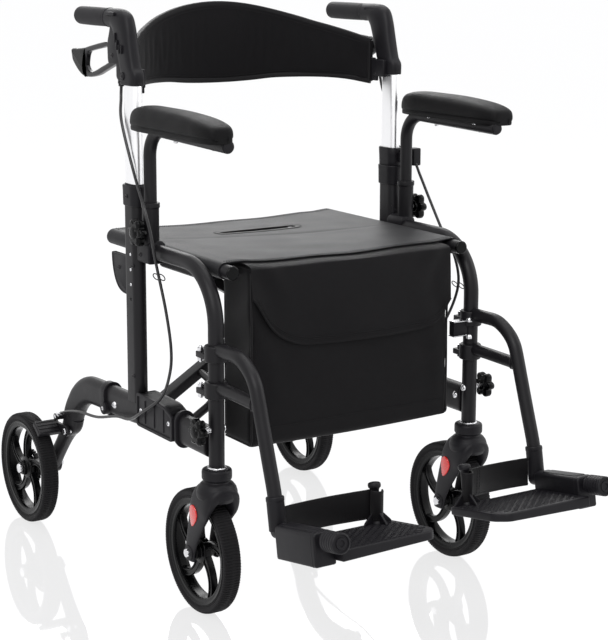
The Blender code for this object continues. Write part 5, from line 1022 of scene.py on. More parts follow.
def lever_lines():
    """Outer and inner outline of the lever loop, smoothed piece by piece and eased by a mean of five."""
    outer = [(-0.0085, 0.003), (-0.005, 0.01), (0.01, 0.018), (0.032, 0.02), (0.043, 0.0198), (0.0865, 0.0125),
        (0.1205, 0.0058), (0.143, 0.0035), (0.164, 0.0025), (0.1668, -0.001), (0.1648, -0.009), (0.1622, -0.016),
        (0.152, -0.025), (0.139, -0.0337), (0.126, -0.0395), (0.1148, -0.0415), (0.1, -0.0417), (0.0845, -0.04),
        (0.065, -0.036), (0.0485, -0.0305), (0.01, -0.0175), (-0.005, -0.01), (-0.0085, -0.003), (-0.0085, 0.003)]
    inner = [(0.0155, 0.001), (0.018, 0.01), (0.032, 0.0128), (0.05, 0.0098), (0.0865, 0.004), (0.1024, 0.0012),
        (0.109, -0.006), (0.1125, -0.016), (0.1136, -0.0232), (0.106, -0.0298), (0.093, -0.033), (0.075, -0.029),
        (0.055, -0.0225), (0.032, -0.015), (0.018, -0.009), (0.0155, 0.001)]
    outer, inner = np.array(outer), np.array(inner)
    pairs = ((slice(0, 3), slice(0, 2), 20), (slice(2, 7), slice(1, 6), 50), (slice(6, 16), slice(5, 9), 60),
             (slice(15, 20), slice(8, 13), 50), (slice(19, 24), slice(12, 16), 30))
    a = np.concatenate([smooth(outer[i], n)[:-1] for i, _, n in pairs])
    b = np.concatenate([smooth(inner[j], n)[:-1] for _, j, n in pairs])
    ease = np.ones(5) / 5
    a, b = (np.stack([np.convolve(np.concatenate([p[-2:, k], p[:, k], p[:2, k]]), ease, "valid") for k in (0, 1)], 1)
            for p in (a, b))
    return a, b


def build_levers(s, side):
    """Looped brake lever: a flat ring between two smooth outlines, with a glossy finger pad at its end."""
    body = side + "_lever"
    outer, inner = lever_lines()
    where = facing_x(s * HANDLE_X, LEVER_Y, LEVER_Z)
    loop = ring_slab(outer, inner, LEVER_T - 0.0004, 0.003, where, 5)
    hub = turned([(0.0045, -0.0058), (0.0092, -0.0058), (0.0092, 0.0058), (0.0045, 0.0058)],
        (s * HANDLE_X, LEVER_Y, LEVER_Z), (1, 0, 0), 36, ease=0.0008)
    piece(side + "_brake_lever", [loop, hub], "painted_alloy", body)
    pad = smooth(np.array([(0.112, 0.0074), (0.1205, 0.0063), (0.143, 0.0041), (0.164, 0.0031), (0.1673, -0.001),
                           (0.1654, -0.009), (0.1627, -0.0165), (0.1525, -0.0256), (0.1393, -0.0343),
                           (0.1262, -0.0401), (0.1148, -0.0421), (0.106, -0.0416)]), 70)
    back = smooth(np.array([(0.108, -0.0395), (0.116, -0.0352), (0.1195, -0.027), (0.118, -0.0165), (0.115, -0.0075),
        (0.1115, 0.0), (0.109, 0.005)]), 40)
    parts = [slab(np.concatenate([pad, back]), LEVER_T + 0.0008, 0.0042, where, 6)]
    piece(side + "_lever_pad", parts, "polished_abs", body, slot="lever_grey")


def build_armrest(s, side):
    """Bent armrest tube and its cushion. The cushion's section is carried along Y and drawn in at both
    ends by k = (1 - |v|^n)^(1/n)."""
    body = side + "_armrest"
    a = np.linspace(0, np.pi / 2, 20)
    bend = (ARM_Y - ARM_BEND, ARM_Z - ARM_BEND) + polar(ARM_BEND, a)
    line = np.concatenate([[(ARM_Y, ARM_BOTTOM), (ARM_Y, 0.62), (ARM_Y, 0.67)], bend,
                           [(-0.08, ARM_Z - 0.0012), (-0.15, ARM_Z - 0.0027), (ARM_FRONT + 0.002, ARM_Z - ARM_DROP)]])
    path = at_x(s * ARM_X, line)
    piece(side + "_armrest_tube", tube(path, ARM_R, sides=36, edge=0.001), "powder_coat", body)
    plug = turned([(0.0, 0.0012), (0.006, 0.0012), (0.009, 0.0004), (0.0092, -0.003), (0.0, -0.003)],
                  (s * ARM_X, ARM_FRONT, ARM_Z - ARM_DROP), (0, -1, 0), 36, ease=0.0006)
    piece(side + "_armrest_plug", plug, "moulded_nylon", body)
    half = PAD_W / 2
    side_line = np.array([(0.8, 0.0), (0.95, 0.0006), (0.985, 0.003), (0.985, 0.0066), (0.935, 0.0082), (0.95, 0.0094),
        (0.996, 0.0115), (1.0, 0.015), (0.985, 0.02), (0.93, 0.0268), (0.82, 0.0328), (0.64, 0.0376), (0.4, 0.04),
        (0.2, 0.0408), (0.0, 0.041)])
    fine = smooth(side_line * np.array([half, 1.0]), 44)
    section = np.concatenate([fine, fine[::-1][1:] * np.array([-1, 1])])
    v = -np.cos(np.linspace(0.02, np.pi - 0.02, 96))
    k = (1 - np.abs(v) ** 7) ** (1 / 7)
    rise = (1 - np.abs(v) ** 9) ** (1 / 9)
    corner = np.maximum(0, np.abs(v) - 0.6) / 0.4
    wide = k * (1 - 0.16 * corner ** 2)
    fall = 0.36 * np.clip((0.15 - v) / 1.15, 0, 1) ** 2.2 + 0.1 * np.clip((v - 0.55) / 0.45, 0, 1) ** 2
    crown = 1 - (fall + 0.06 * corner ** 2) * (np.clip(section[:, 1] - 0.008, 0, 1) / PAD_H)[None].T
    x = section[:, 0][None] * wide[:, None]
    z = section[:, 1][None] * np.where(section[:, 1][None] > 0.008, (0.35 + 0.65 * rise)[:, None], 1.0) * crown.T
    y = PAD_Y0 + PAD_LEN / 2 + v * PAD_LEN / 2
    bulge = np.where(section[:, 1] > 0.008, 1.0, 0.985)
    y = (PAD_Y0 + PAD_LEN / 2) + (y[:, None] - PAD_Y0 - PAD_LEN / 2) * bulge[None]
    rows = xyz(s * PAD_X + x, y, PAD_BASE + z)
    piece(side + "_armrest_pad", skin(rows), "foam_skin", body, sharp=50)
    screws = [screw((s * (PAD_X - 0.02), y, PAD_BASE + 0.0004), (0, 0, -1), 0.0048, 0.003) for y in (-0.185, -0.06)]
    screws += [screw((s * ARM_X, y, ARM_Z - ARM_R - 0.0018), (0, 0, -1), 0.004, 0.0022) for y in (-0.19, -0.07)]
    piece(side + "_armrest_screws", screws, "zinc_steel", body)


def build_knob(s, side, name, body, y, z, face, radius, leg):
    """Star knob: the outline r = R (0.86 + 0.14 cos 6t) softened over its lobes, with a domed hub."""
    t = turns(144)
    r = radius * (0.86 + 0.14 * np.cos(6 * t) - 0.02 * np.cos(12 * t))
    star = polar(r, t)
    sink = np.array([0.003, 0.001, 0.0, 0.0, 0.0016, 0.0046, 0.007])
    level = np.array([0.0, 0.0004, 0.0022, 0.0098, 0.0122, 0.0138, 0.0138])
    rows = raised(star[None] * (1 - sink / radius)[:, None, None], level)
    where = ((s * face, y, z), (0, 1, 0), (0, 0, 1), (s, 0, 0))
    parts = [skin(place(rows, *where))]
    parts.append(turned([(0.0, 0.0172), (radius * 0.22, 0.017), (radius * 0.4, 0.0158), (radius * 0.46, 0.0136),
                         (0.0, 0.012)], where[0], (s, 0, 0), 40, ease=0.0006))
    parts.append(turned([(0.0036, -0.0028), (radius * 0.4, -0.0024), (radius * 0.46, 0.0006), (0.0036, 0.001)],
                        where[0], (s, 0, 0), 40, ease=0.0006))
    piece(side + "_" + name, parts, "polished_abs", body)
    inner = 0.248 if leg else 0.264
    bolt = [rod((s * inner, y, z), (s * (face + 0.002), y, z), 0.0036)]
    if leg:
        bolt.append(nut((s * (LEG_X + LEG_R - 0.0008), y, z), (s, 0, 0), 0.01, 0.0042))
        bolt.append(screw((s * (LEG_X - LEG_R), y, z), (-s, 0, 0), 0.0058, 0.003))
    piece(side + "_" + name + "_shank", bolt, "zinc_steel", body)


# ---- wheels ----

def build_tyre(name, x, y, body):
    """Tyre: section points turned about X, with the tread lowered between ribs: r = R(p) - d (1 - f(132 a)),
    where f is a softened square wave and d falls to nothing past the shoulder."""
    n, ribs = 792, 132
    seat = WHEEL_R - TYRE_DEPTH
    profile = np.array([(seat, 0.01), (seat + 0.0006, 0.0122), (seat + 0.003, 0.0128), (seat + 0.004, 0.0122),
        (seat + 0.005, 0.013), (WHEEL_R - 0.0085, 0.0148), (WHEEL_R - 0.005, 0.015), (WHEEL_R - 0.0022, 0.0138),
        (WHEEL_R - 0.0007, 0.0115), (WHEEL_R, 0.008), (WHEEL_R, 0.004), (WHEEL_R, 0.0)])
    profile = np.concatenate([profile, (profile * np.array([1, -1]))[::-1][1:]])
    a = turns(n)
    wave = np.clip(0.5 + 1.4 * np.cos(ribs * a), 0, 1)
    deep = np.interp(np.abs(profile[:, 1]), [0.0, 0.001, 0.0016, 0.0138, 0.015], [0.2, 0.2, 1.0, 1.0, 0.0])
    deep = deep * (profile[:, 0] > WHEEL_R - 0.006)
    r = profile[None, :, 0] - 0.0013 * deep[None] * (1 - wave[:, None])
    rows = xyz(x + np.broadcast_to(profile[None, :, 1], r.shape), y + r * np.cos(a)[:, None],
               WHEEL_R + r * np.sin(a)[:, None])
    piece(name, skin(rows, wrap_rows=True), "tyre_rubber", body, sharp=30)


def build_rim(name, x, y, s, body, hub_in, hub_out, rear):
    """Moulded rim: a ring with lips, five curved spokes with ridged edges and a stepped hub."""
    seat = WHEEL_R - TYRE_DEPTH - 0.0003
    inner = seat - RIM_WALL
    flank = [(inner + 0.0012, 0.011), (inner + 0.003, 0.0118), (seat - 0.003, 0.0118), (seat + 0.0014, 0.0134),
             (seat + 0.0018, 0.012), (seat - 0.0004, 0.01)]
    ring = turned(flank + [(r, -h) for r, h in flank[::-1]] + [(inner, -0.006), (inner, 0.006)],
                  (x, y, WHEEL_R), (1, 0, 0), 144, closed=True, ease=0.001)
    hub = turned([(0.0064, hub_out), (0.0118, hub_out), (0.0128, hub_out - 0.0015), (0.0135, 0.0085), (0.0165, 0.0075),
        (0.02, 0.0068), (0.0208, 0.005), (0.0208, -0.005), (0.02, -0.0068), (0.0165, -0.0075), (0.0135, -0.0085),
        (0.0128, -hub_in + 0.0015), (0.0118, -hub_in), (0.0064, -hub_in)], (x, y, WHEEL_R), (s, 0, 0), 64, closed=True,
        ease=0.001)
    parts = [ring, hub]
    for k in range(5):
        t = np.linspace(0, 1, 26)
        r = HUB_R * 0.55 + (inner + 0.004 - HUB_R * 0.55) * t
        a = 2 * np.pi * k / 5 + 0.55 * t ** 1.5
        line = xyz(x, y + r * np.cos(a), WHEEL_R + r * np.sin(a))
        half = 0.0078 - 0.0022 * np.sin(np.pi * t)
        parts.append(carried(bar(1, 1, 0.35, 6), line, (1, 0, 0), np.stack([np.full(26, 0.0044), half - 0.0012], 1)))
        for d in (-1, 1):
            ridge = xyz(x, y + r * np.cos(a) - d * (half - 0.0012) * np.sin(a),
                        WHEEL_R + r * np.sin(a) + d * (half - 0.0012) * np.cos(a))
            parts.append(carried(bar(0.006, 0.0013, 0.0009), ridge, (1, 0, 0)))
    if rear:
        # Toothed ring for the brake on the inboard face
        n = 288
        a = turns(n)
        tooth = 0.03 + 0.002 * np.clip(0.5 + 1.6 * np.cos(24 * a), 0, 1)
        parts.append(ring_slab(polar(tooth, a), circle(0.0235, n), 0.006, 0.0006,
                               facing_x(x - s * 0.007, y, WHEEL_R)))
        a = turns(80)
        parts.append(slab(polar(0.0098 + 0.0022 * np.cos(5 * a), a), 0.003, 0.001,
                          facing_x(x + s * (hub_out + 0.0002), y, WHEEL_R)))
    piece(name, parts, "polished_abs", body)


def build_caster_fork(s, side):
    """Caster fork: an oval section carried over the wheel from arm to arm, under a turned cap ring."""
    body = side + "_caster"
    x = s * LEG_X
    half = np.array([(0.0215, 0.0885, -0.133, 0.0034, 0.0132), (0.0215, 0.1015, -0.133, 0.0036, 0.0138),
                     (0.0215, 0.118, -0.137, 0.0036, 0.015), (0.022, 0.145, -0.148, 0.0042, 0.019),
                     (0.023, 0.17, -0.161, 0.0055, 0.0235), (0.0228, 0.19, -0.171, 0.0085, 0.0285),
                     (0.017, 0.2065, -0.178, 0.0125, 0.031), (0.008, 0.2135, -0.1805, 0.015, 0.0322)])
    mirror = half[::-1] * np.array([-1, 1, 1, 1, 1])
    top = np.array([[0.0, 0.215, -0.181, 0.0155, 0.0325]])
    k = smooth(np.concatenate([half, top, mirror]), 110)
    path = xyz(x + k[:, 0], k[:, 2], k[:, 1])
    arch = carried(superellipse(44, 0.85, 0.7), path, (0, 1, 0), k[:, 4:2:-1])
    cap = LEG_BOTTOM - 0.003
    crown = turned([(0.0, 0.0), (0.0195, 0.0), (0.0228, -0.0012), (0.024, -0.004), (0.024, -0.015), (0.0228, -0.0176),
        (0.0205, -0.019), (0.0212, -0.021), (0.0262, -0.0242), (0.0305, -0.03), (0.0326, -0.037), (0.0322, -0.045),
        (0.028, -0.052), (0.0, -0.054)], (x, LEG_Y, cap), (0, 0, 1), 72, ease=0.0012)
    bosses = [turned([(0.0062, 0.0), (0.0118, 0.0), (0.0124, -0.0012), (0.0124, -0.0052), (0.0062, -0.0052)],
                     (x + d * 0.0262, LEG_Y + CASTER_TRAIL, WHEEL_R), (d, 0, 0), 40, ease=0.0006) for d in (-1, 1)]
    piece(side + "_caster_fork", [arch, crown] + bosses, "moulded_nylon", body)
    wheel_y = LEG_Y + CASTER_TRAIL
    metal = [turned([(0.0055, 0.0), (0.013, 0.0), (0.015, -0.0014), (0.015, -0.0026), (0.0055, -0.0026)],
                    (x, LEG_Y, LEG_BOTTOM - 0.0004), (0, 0, 1), 48, ease=0.0004),
             rod((x - 0.0268, wheel_y, WHEEL_R), (x + 0.0268, wheel_y, WHEEL_R), 0.005),
             *(nut((x + d * 0.0258, wheel_y, WHEEL_R), (d, 0, 0), 0.013, 0.005) for d in (1, -1))]
    piece(side + "_caster_hardware", metal, "zinc_steel", body)
    # Teardrop reflector lying on each arm's outer face
    for d, tag in ((-1, "a"), (1, "b")):
        u = np.linspace(0, 2 * np.pi, 64, endpoint=False)
        drop = np.stack([0.0108 * np.sin(u) * (1 + 0.45 * np.cos(u)), 0.0205 * np.cos(u)], 1)
        axis = unit(np.array([d * 0.13, -0.38, 0.925]))
        across = unit(np.cross((1.0, 0.0, 0.0), axis))
        origin = np.array([x + d * 0.0285, wheel_y - 0.0225, 0.1695])
        lens = slab(drop, 0.0036, 0.0014, (origin, across, axis, np.cross(across, axis)))
        piece(f"{side}_reflector_{tag}", lens, "reflector_acrylic", body)


def build_wheels(s, side):
    """Rear wheel and front wheel of one side."""
    rear = s * REAR_WHEEL_X
    build_tyre(side + "_rear_tyre", rear, REAR_AXLE_Y, side + "_rear_wheel")
    build_rim(side + "_rear_rim", rear, REAR_AXLE_Y, s, side + "_rear_wheel", REAR_WHEEL_X - REAR_HUB_IN,
              REAR_HUB_OUT - REAR_WHEEL_X, True)
    front = s * LEG_X
    wheel_y = LEG_Y + CASTER_TRAIL
    build_tyre(side + "_caster_tyre", front, wheel_y, side + "_caster_wheel")
    build_rim(side + "_caster_rim", front, wheel_y, s, side + "_caster_wheel", 0.0176, 0.0176, False)


# ---- footrests ----

def build_hangers(s, side):
    """Footrest hanger: a bent tube and a low bar on two collars round the leg, with clamp ears."""
    body = side + "_hanger"
    x = s * LEG_X
    line = np.array([(-0.186, 0.442), (-0.215, 0.442), (-0.248, 0.442), (-0.268, 0.436), (-0.287, 0.424),
        (-0.298, 0.412), (-0.305, 0.398), (-0.3205, 0.353), (-0.336, 0.308), (-0.352, 0.262), (-0.357, 0.242)])
    path = smooth(at_x(x, line), 90)
    parts = [tube(path, HANGER_R, sides=36)]
    parts.append(tube(smooth([(x, -0.186, 0.382), (x, -0.23, 0.3818), (x, -0.28, 0.3808), (x, -0.311, 0.38)], 12), 0.01,
                      sides=32))
    for top in HANGER_COLLARS:
        parts.append(turned([(0.013, 0.0), (0.017, 0.0), (0.0185, -0.0015), (0.0185, -COLLAR_H + 0.0015),
                             (0.017, -COLLAR_H), (0.013, -COLLAR_H)], (x, LEG_Y, top), (0, 0, 1), 56, ease=0.0008))
        parts.append(slab(rounded([(-0.01, -0.018), (0.01, -0.018), (0.01, 0.016), (-0.01, 0.016)], 0.004), 0.009,
                          0.001, facing_z(x + s * 0.004, LEG_Y + 0.026, top - COLLAR_H + 0.006)))
    # Weld ring where the low bar meets the bent tube
    u = turns(40)
    weld = xyz(x + 0.0102 * np.cos(u), -0.2988 - 0.002 * np.cos(2 * u), 0.3803 + 0.0102 * np.sin(u))
    parts.append(tube(weld, 0.0014, up=(0, 1, 0), sides=8, wrap=True))
    piece(side + "_footrest_hanger", parts, "powder_coat", body)
    metal = []
    for top in HANGER_COLLARS:
        for up in (-1, 1):
            spot, way = (x + s * 0.007, LEG_Y + 0.036, top - COLLAR_H + 0.006 + up * 0.0046), (0, 0, up)
            metal += [nut(spot, way, 0.0105, 0.0062),
                      turned([(0.0, 0.0088), (0.0022, 0.0084), (0.003, 0.0066), (0.003, 0.0)], spot, way, 20)]
    if s > 0:
        metal += [block((0.2215, -0.183, z), (0.03, 0.016, 0.0018), 0.0005) for z in (0.4325, 0.4075)]
        metal += [turned([(0.0, 0.0052), (0.003, 0.0044), (0.0044, 0.0022), (0.0048, 0.0), (0.0048, -0.0022),
                          (0.0, -0.0022)],
                         (0.233, -0.1975, z), (0, 0, 1), 28) for z in (0.4345, 0.4055)]
        piece("left_channel", [block((0.2215, -0.183, 0.42), (0.029, 0.014, 0.023), 0.001)], "moulded_nylon", body)
    else:
        metal.append(nut((-0.2125, -0.2, 0.418), (0, -1, 0), 0.01, 0.005))
        metal.append(rod((-0.2125, -0.2, 0.418), (-0.2125, -0.186, 0.418), 0.0026))
    piece(side + "_hanger_nuts", metal, "zinc_steel", body)
    end = np.array([x, *HANGER_FOOT])
    origin = facing_foot(s)[0]
    parts = [turned([(0.0112, 0.0), (0.0134, 0.0), (0.014, 0.0014), (0.014, 0.006), (0.0135, 0.0072),
                     (0.0135, SLEEVE_LEN - 0.0012), (0.012, SLEEVE_LEN), (0.0, SLEEVE_LEN)], end, SLEEVE_DIR, 48,
                    ease=0.0006)]
    parts.append(turned([(0.0, -0.004), (0.0125, -0.004), (0.0125, 0.0156), (0.0116, 0.0161), (0.0, 0.0161)], origin,
                        FOOT_DIR, 48, ease=0.0008))
    parts.append(turned([(0.0, 0.0), (0.009, 0.0), (0.009, 0.127), (0.0, 0.127)], origin, FOOT_DIR, 36))
    # Bumper: rings along its side and a stepped end face
    h = np.linspace(0, BUMPER[1], 60)
    r = 0.015 + 0.0006 * np.clip(0.5 + 1.5 * np.cos(2 * np.pi * h / 0.006), 0, 1)
    r = np.minimum(r, 0.0142 + np.minimum(h, BUMPER[1] - h) * 1.2)
    profile = np.concatenate([[(0.0, 0.0)], np.stack([r, h], 1), [(0.0125, BUMPER[1] + 0.0002),
                              (0.0118, BUMPER[1] - 0.0014), (0.0092, BUMPER[1] - 0.0014), (0.0085, BUMPER[1]),
                              (0.0052, BUMPER[1]), (0.0044, BUMPER[1] - 0.0016), (0.0, BUMPER[1] - 0.0016)]])
    parts.append(turned(profile, origin + FOOT_DIR * BUMPER[0], FOOT_DIR, 56))
    piece(side + "_foot_pivot", parts, "moulded_nylon", body)
    pin = turned([(0.0, 0.124), (0.007, 0.124), (0.007, BUMPER[0] + 0.001), (0.0, BUMPER[0] + 0.001)],
                 origin + FOOT_UP * 0.0026, FOOT_DIR, 36)
    piece(side + "_foot_pin", pin, "zinc_steel", body)


def build_footplates(s, side):
    """Footplate: a rounded box on its pivot and a wedge plate with a brick pattern of low ribs."""
    body = side + "_foot"
    start, length, width, up, down = BOX
    centre = facing_foot(s, start + length / 2, (up - down) / 2)
    outline = rounded([(-width / 2, -(up + down) / 2), (width / 2, -(up + down) / 2),
                       (width / 2, (up + down) / 2 - 0.004),
                       (width / 2 - 0.005, (up + down) / 2), (-width / 2 + 0.005, (up + down) / 2),
                       (-width / 2, (up + down) / 2 - 0.004)], 0.004, 6)
    parts = [slab(outline, length - 0.001, 0.003, centre, 6)]
    # Lip lines along the box and a shallow lid outline on its top
    parts.append(slab(outline * np.array([1.018, 1.012]), 0.0022, 0.0008,
                      facing_foot(s, start + length - 0.01, (up - down) / 2)))
    parts.append(slab(bar(0.011, 0.04, 0.004), 0.003,
                      0.0008, (facing_foot(s, start + length / 2, up - 0.0006)[0], (s, 0, 0), FOOT_DIR, FOOT_UP)))
    p0, plen, pin, drop, thick = PLATE
    pout = FOOT_X - width / 2 + 0.003
    plan = rounded([(pin, p0), (pout, p0), (pout, p0 + plen), (pin + 0.016, p0 + plen), (pin, p0 + plen - 0.022)],
                   [0.01, 0.002, 0.002, 0.008, 0.008], 7)
    base = facing_foot(s)[0].copy()
    base[0] = 0.0
    edge, a = 0.0025, np.linspace(0, np.pi / 2, 5)
    ins = edge * (1 - np.sin(a))
    way = inward(plan)
    rows = []
    for sign, order in ((1, slice(None)), (-1, slice(None, None, -1))):
        for i, e in zip(ins[order], (edge * (1 - np.cos(a)))[order]):
            flat = plan + way * i
            deep = np.interp(flat[:, 0], [pin, pout], [thick, 0.017])
            level = (-drop - e) if sign > 0 else (-drop - deep + e)
            rows.append(np.column_stack([flat[:, 0], np.broadcast_to(level, len(flat)), flat[:, 1]]))
    parts.append(skin(place(np.array(rows), base, (s, 0, 0), FOOT_UP, FOOT_DIR)))
    # Brick ribs: rows 7.5 mm apart along the plate, every other row shifted by half a brick
    u, v = np.meshgrid(np.arange(pin + 0.012, pout - 0.008, 0.015), np.arange(p0 + 0.008, p0 + plen - 0.006, 0.0075),
                       indexing="ij")
    u = u + np.where(np.arange(v.shape[1]) % 2 == 0, 0.0, 0.0075)[None]
    keep = ~((u < pin + 0.026) & (v > p0 + plen - 0.03)) & (u < pout - 0.008)
    keep &= np.hypot(u - STRAP_POST[0], v - (p0 + 0.009)) > 0.013
    u, v = u[keep], v[keep]
    brick = np.array([(-1, -1), (1, -1), (1, 1), (-1, 1)])
    corners = []
    for shrink, level in ((1.0, -0.0006), (0.93, 0.0006), (0.8, 0.0009)):
        corners.append(xyz(u[:, None] + brick[None, :, 0] * 0.0058 * shrink, -drop + level,
                           v[:, None] + brick[None, :, 1] * 0.0018 * shrink))
    cage = np.stack(corners, 1)
    count = len(u)
    points = place(cage.reshape(-1, 3), base, (s, 0, 0), FOOT_UP, FOOT_DIR)
    k = np.arange(count)[:, None] * 12
    j = np.arange(4)
    quads = [np.stack([k + r * 4 + j, k + r * 4 + (j + 1) % 4, k + r * 4 + 4 + (j + 1) % 4, k + r * 4 + 4 + j],
                      2).reshape(-1, 4)
             for r in (0, 1)]
    top = (k + np.array([8, 9, 10, 11])).reshape(-1, 4)
    bottom = (k + np.array([3, 2, 1, 0])).reshape(-1, 4)
    faces = np.concatenate(quads + [top, bottom])
    flat = cage.reshape(-1, 3)[:, [0, 2]]
    parts.append(outward({"points": points, "groups": [(faces, flat[faces])]}))
    # Strap post with a round head and a three-cornered gusset at its foot
    root = base + np.array([s * STRAP_POST[0], 0, 0]) + FOOT_DIR * (p0 + STRAP_POST[1] + 0.002)
    parts.append(turned([(0.0, -drop - 0.002), (0.0105, -drop - 0.002), (0.0098, -drop + 0.002),
                         (0.0074, -drop + 0.006),
                         (0.0068, 0.0), (0.0066, 0.0365), (0.008, 0.0395), (0.0098, 0.041), (0.0102, 0.044),
                         (0.0096, 0.0472), (0.007, 0.0486), (0.0, 0.049)], root, FOOT_UP, 40, ease=0.0008))
    gusset = rounded([(0.004, -drop - 0.001), (0.026, -drop - 0.001), (0.024, -drop + 0.003), (0.006, 0.006)], 0.002)
    for way in ((s, 0, 0), (-s, 0, 0), tuple(FOOT_DIR)):
        parts.append(slab(gusset, 0.0034, 0.0007, (root, way, FOOT_UP, np.cross(way, FOOT_UP))))
    piece(side + "_footplate", parts, "moulded_nylon", body)


def cable_start(s):
    """Where the cable leaves the elbow, and its heading there."""
    return (np.array([s * (HANDLE_X + 0.003), HOUSING_FRONT + HOUSING_L + 0.008, HOUSING_BOTTOM - 0.004]),
            unit([s * 0.12, -0.16, -0.98]))


def cable_route(s):
    """Places of the cable from the handle down to the stop, drawn for the left side and mirrored by s."""
    end, way = cable_start(1)
    if s > 0:
        upper = [(0.263, 0.098, 0.78), (0.265, 0.092, 0.73), (0.273, 0.064, 0.697), (0.282, 0.036, 0.679),
                 (0.2815, 0.014, 0.653), (0.277, -0.0204, 0.616), (0.272, -0.0684, 0.5636), (0.2655, -0.11, 0.53),
                 (0.264, -0.125, 0.48), (0.262, -0.095, 0.415)]
    else:
        upper = [(0.2695, 0.085, 0.77), (0.271, 0.043, 0.695), (0.277, -0.006, 0.638), (0.272, -0.0165, 0.598),
                 (0.2655, -0.022, 0.549), (0.262, -0.045, 0.48), (0.262, -0.0615, 0.42)]
    bend = ([(0.266, -0.038, 0.362), (0.276, -0.012, 0.325)] if s > 0
            else [(0.262, -0.056, 0.377), (0.266, -0.034, 0.334)])
    lower = bend + [(0.2765, 0.014, 0.3), (0.2765, 0.06, 0.277), (0.276, 0.11, 0.27), (0.279, 0.18, 0.253),
                    (0.279, 0.25, 0.246), (0.276, 0.31, 0.232),
                    (CABLE_STOP[0], CABLE_STOP[1] - 0.0093, CABLE_STOP[2] + 0.0065)]
    route = np.array([tuple(end), tuple(end + way * 0.02)] + upper + lower)
    return route * np.array([s, 1, 1])


def build_cables(s, side):
    """Brake cable: a round sheath along a smooth curve from the handle down to the side."""
    path = smooth(cable_route(s), 220)
    name = side + "_brake_cable"
    obj = piece(name, tube(path, CABLE_R, up=(1, 0.2, 0.1), sides=14, edge=0.0002), "pvc_sheath", None)
    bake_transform(obj)
    low = unit(path[-1] - path[-4])
    parts = [turned([(0.0026, 0.0), (0.0042, 0.0), (0.0042, -0.005), (0.0034, -0.0058), (0.0034, -0.018),
                     (0.0026, -0.018)], path[-1] + low * 0.003, low, 24, ease=0.0003)]
    ferrule = piece(side + "_cable_ferrule", parts, "zinc_steel", side + "_side")
    # Wire guides that keep the cable by the post: small loops of spring wire
    t = np.linspace(0.0, 2 * np.pi, 40, endpoint=False)
    loops = [tube(xyz(s * 0.264 + 0.0045 * np.cos(t), y + 0.0065 * np.sin(t), z + 0.004 * np.sin(t)), 0.0009,
                  up=(0, 0, 1), sides=8, wrap=True)
             for y, z in (((-0.037, 0.532), (-0.018, 0.53)) if s < 0 else ((-0.133, 0.48), (-0.116, 0.48)))]
    piece(side + "_wire_guide", loops, "black_oxide", side + "_side")


# ---- cloth ----

def stitches(line, normal, pitch=0.0042, length=0.003, radius=0.00042):
    """A run of stitches: short five-sided beads, one every pitch along a line, set as one array."""
    line = np.asarray(line, float)
    total = np.linalg.norm(np.diff(line, axis=0), axis=1).sum()
    count = max(3, int(total / pitch))
    c = resample(line, count)
    t = unit(np.gradient(c, axis=0))
    n = np.broadcast_to(np.asarray(normal, float), c.shape)
    n = unit(n - np.sum(n * t, 1, keepdims=True) * t)
    b = np.cross(t, n)
    along = np.array([-0.5, -0.36, 0.36, 0.5]) * length
    size = np.array([0.35, 1.0, 1.0, 0.35]) * radius
    a = turns(5)
    ring = np.cos(a)[None, :, None] * n[:, None] + np.sin(a)[None, :, None] * b[:, None]
    points = (c[:, None, None] + along[None, :, None, None] * t[:, None, None]
              + size[None, :, None, None] * ring[:, None])
    start = np.arange(count)[:, None] * 20
    j = np.arange(5)
    quads = np.concatenate([side_quads(start + r * 5, 5) for r in range(3)])
    groups = [(quads, np.zeros((len(quads), 4, 2)))]
    groups += [(start + order, np.zeros((count, 5, 2))) for order in (j[::-1], 15 + j)]
    return outward({"points": points.reshape(-1, 3), "groups": groups})


def ripple(x, y, seed, size, waves=7):
    """Soft cloth relief: a sum of sine waves of fixed random headings, about size across."""
    rng = np.random.default_rng(seed)
    total = 0.0
    for _ in range(waves):
        a, p, k = rng.uniform(0, 2 * np.pi), rng.uniform(0, 2 * np.pi), 2 * np.pi / (size * rng.uniform(0.6, 1.8))
        total = total + np.sin(k * (x * math.cos(a) + y * math.sin(a)) + p)
    return total / waves


def seat_level(u, y, look):
    """Height of the seat over its rails' tops at u across (-1 to 1) and y."""
    sag = (look.seat_sag - 0.0015) * (1 - u * u)
    edge = np.minimum(np.abs(y - SEAT_Y[0]), np.abs(y - SEAT_Y[1]))
    relief = ripple(u * PIVOT_X, y, 3, 0.11) * 0.0016 * (1 - u ** 4)
    pull = 0.0012 * np.sin(44 * (u * PIVOT_X + 0.35 * y)) * np.exp(-((np.abs(u) - 0.86) / 0.1) ** 2)
    crease = -0.0014 * np.exp(-((y - SLOT_Y + 0.055 + 0.2 * u * PIVOT_X) / 0.006) ** 2) * (1 - u ** 4)
    return -sag + relief + pull + crease + 0.0004 * np.exp(-(edge / 0.01) ** 2)


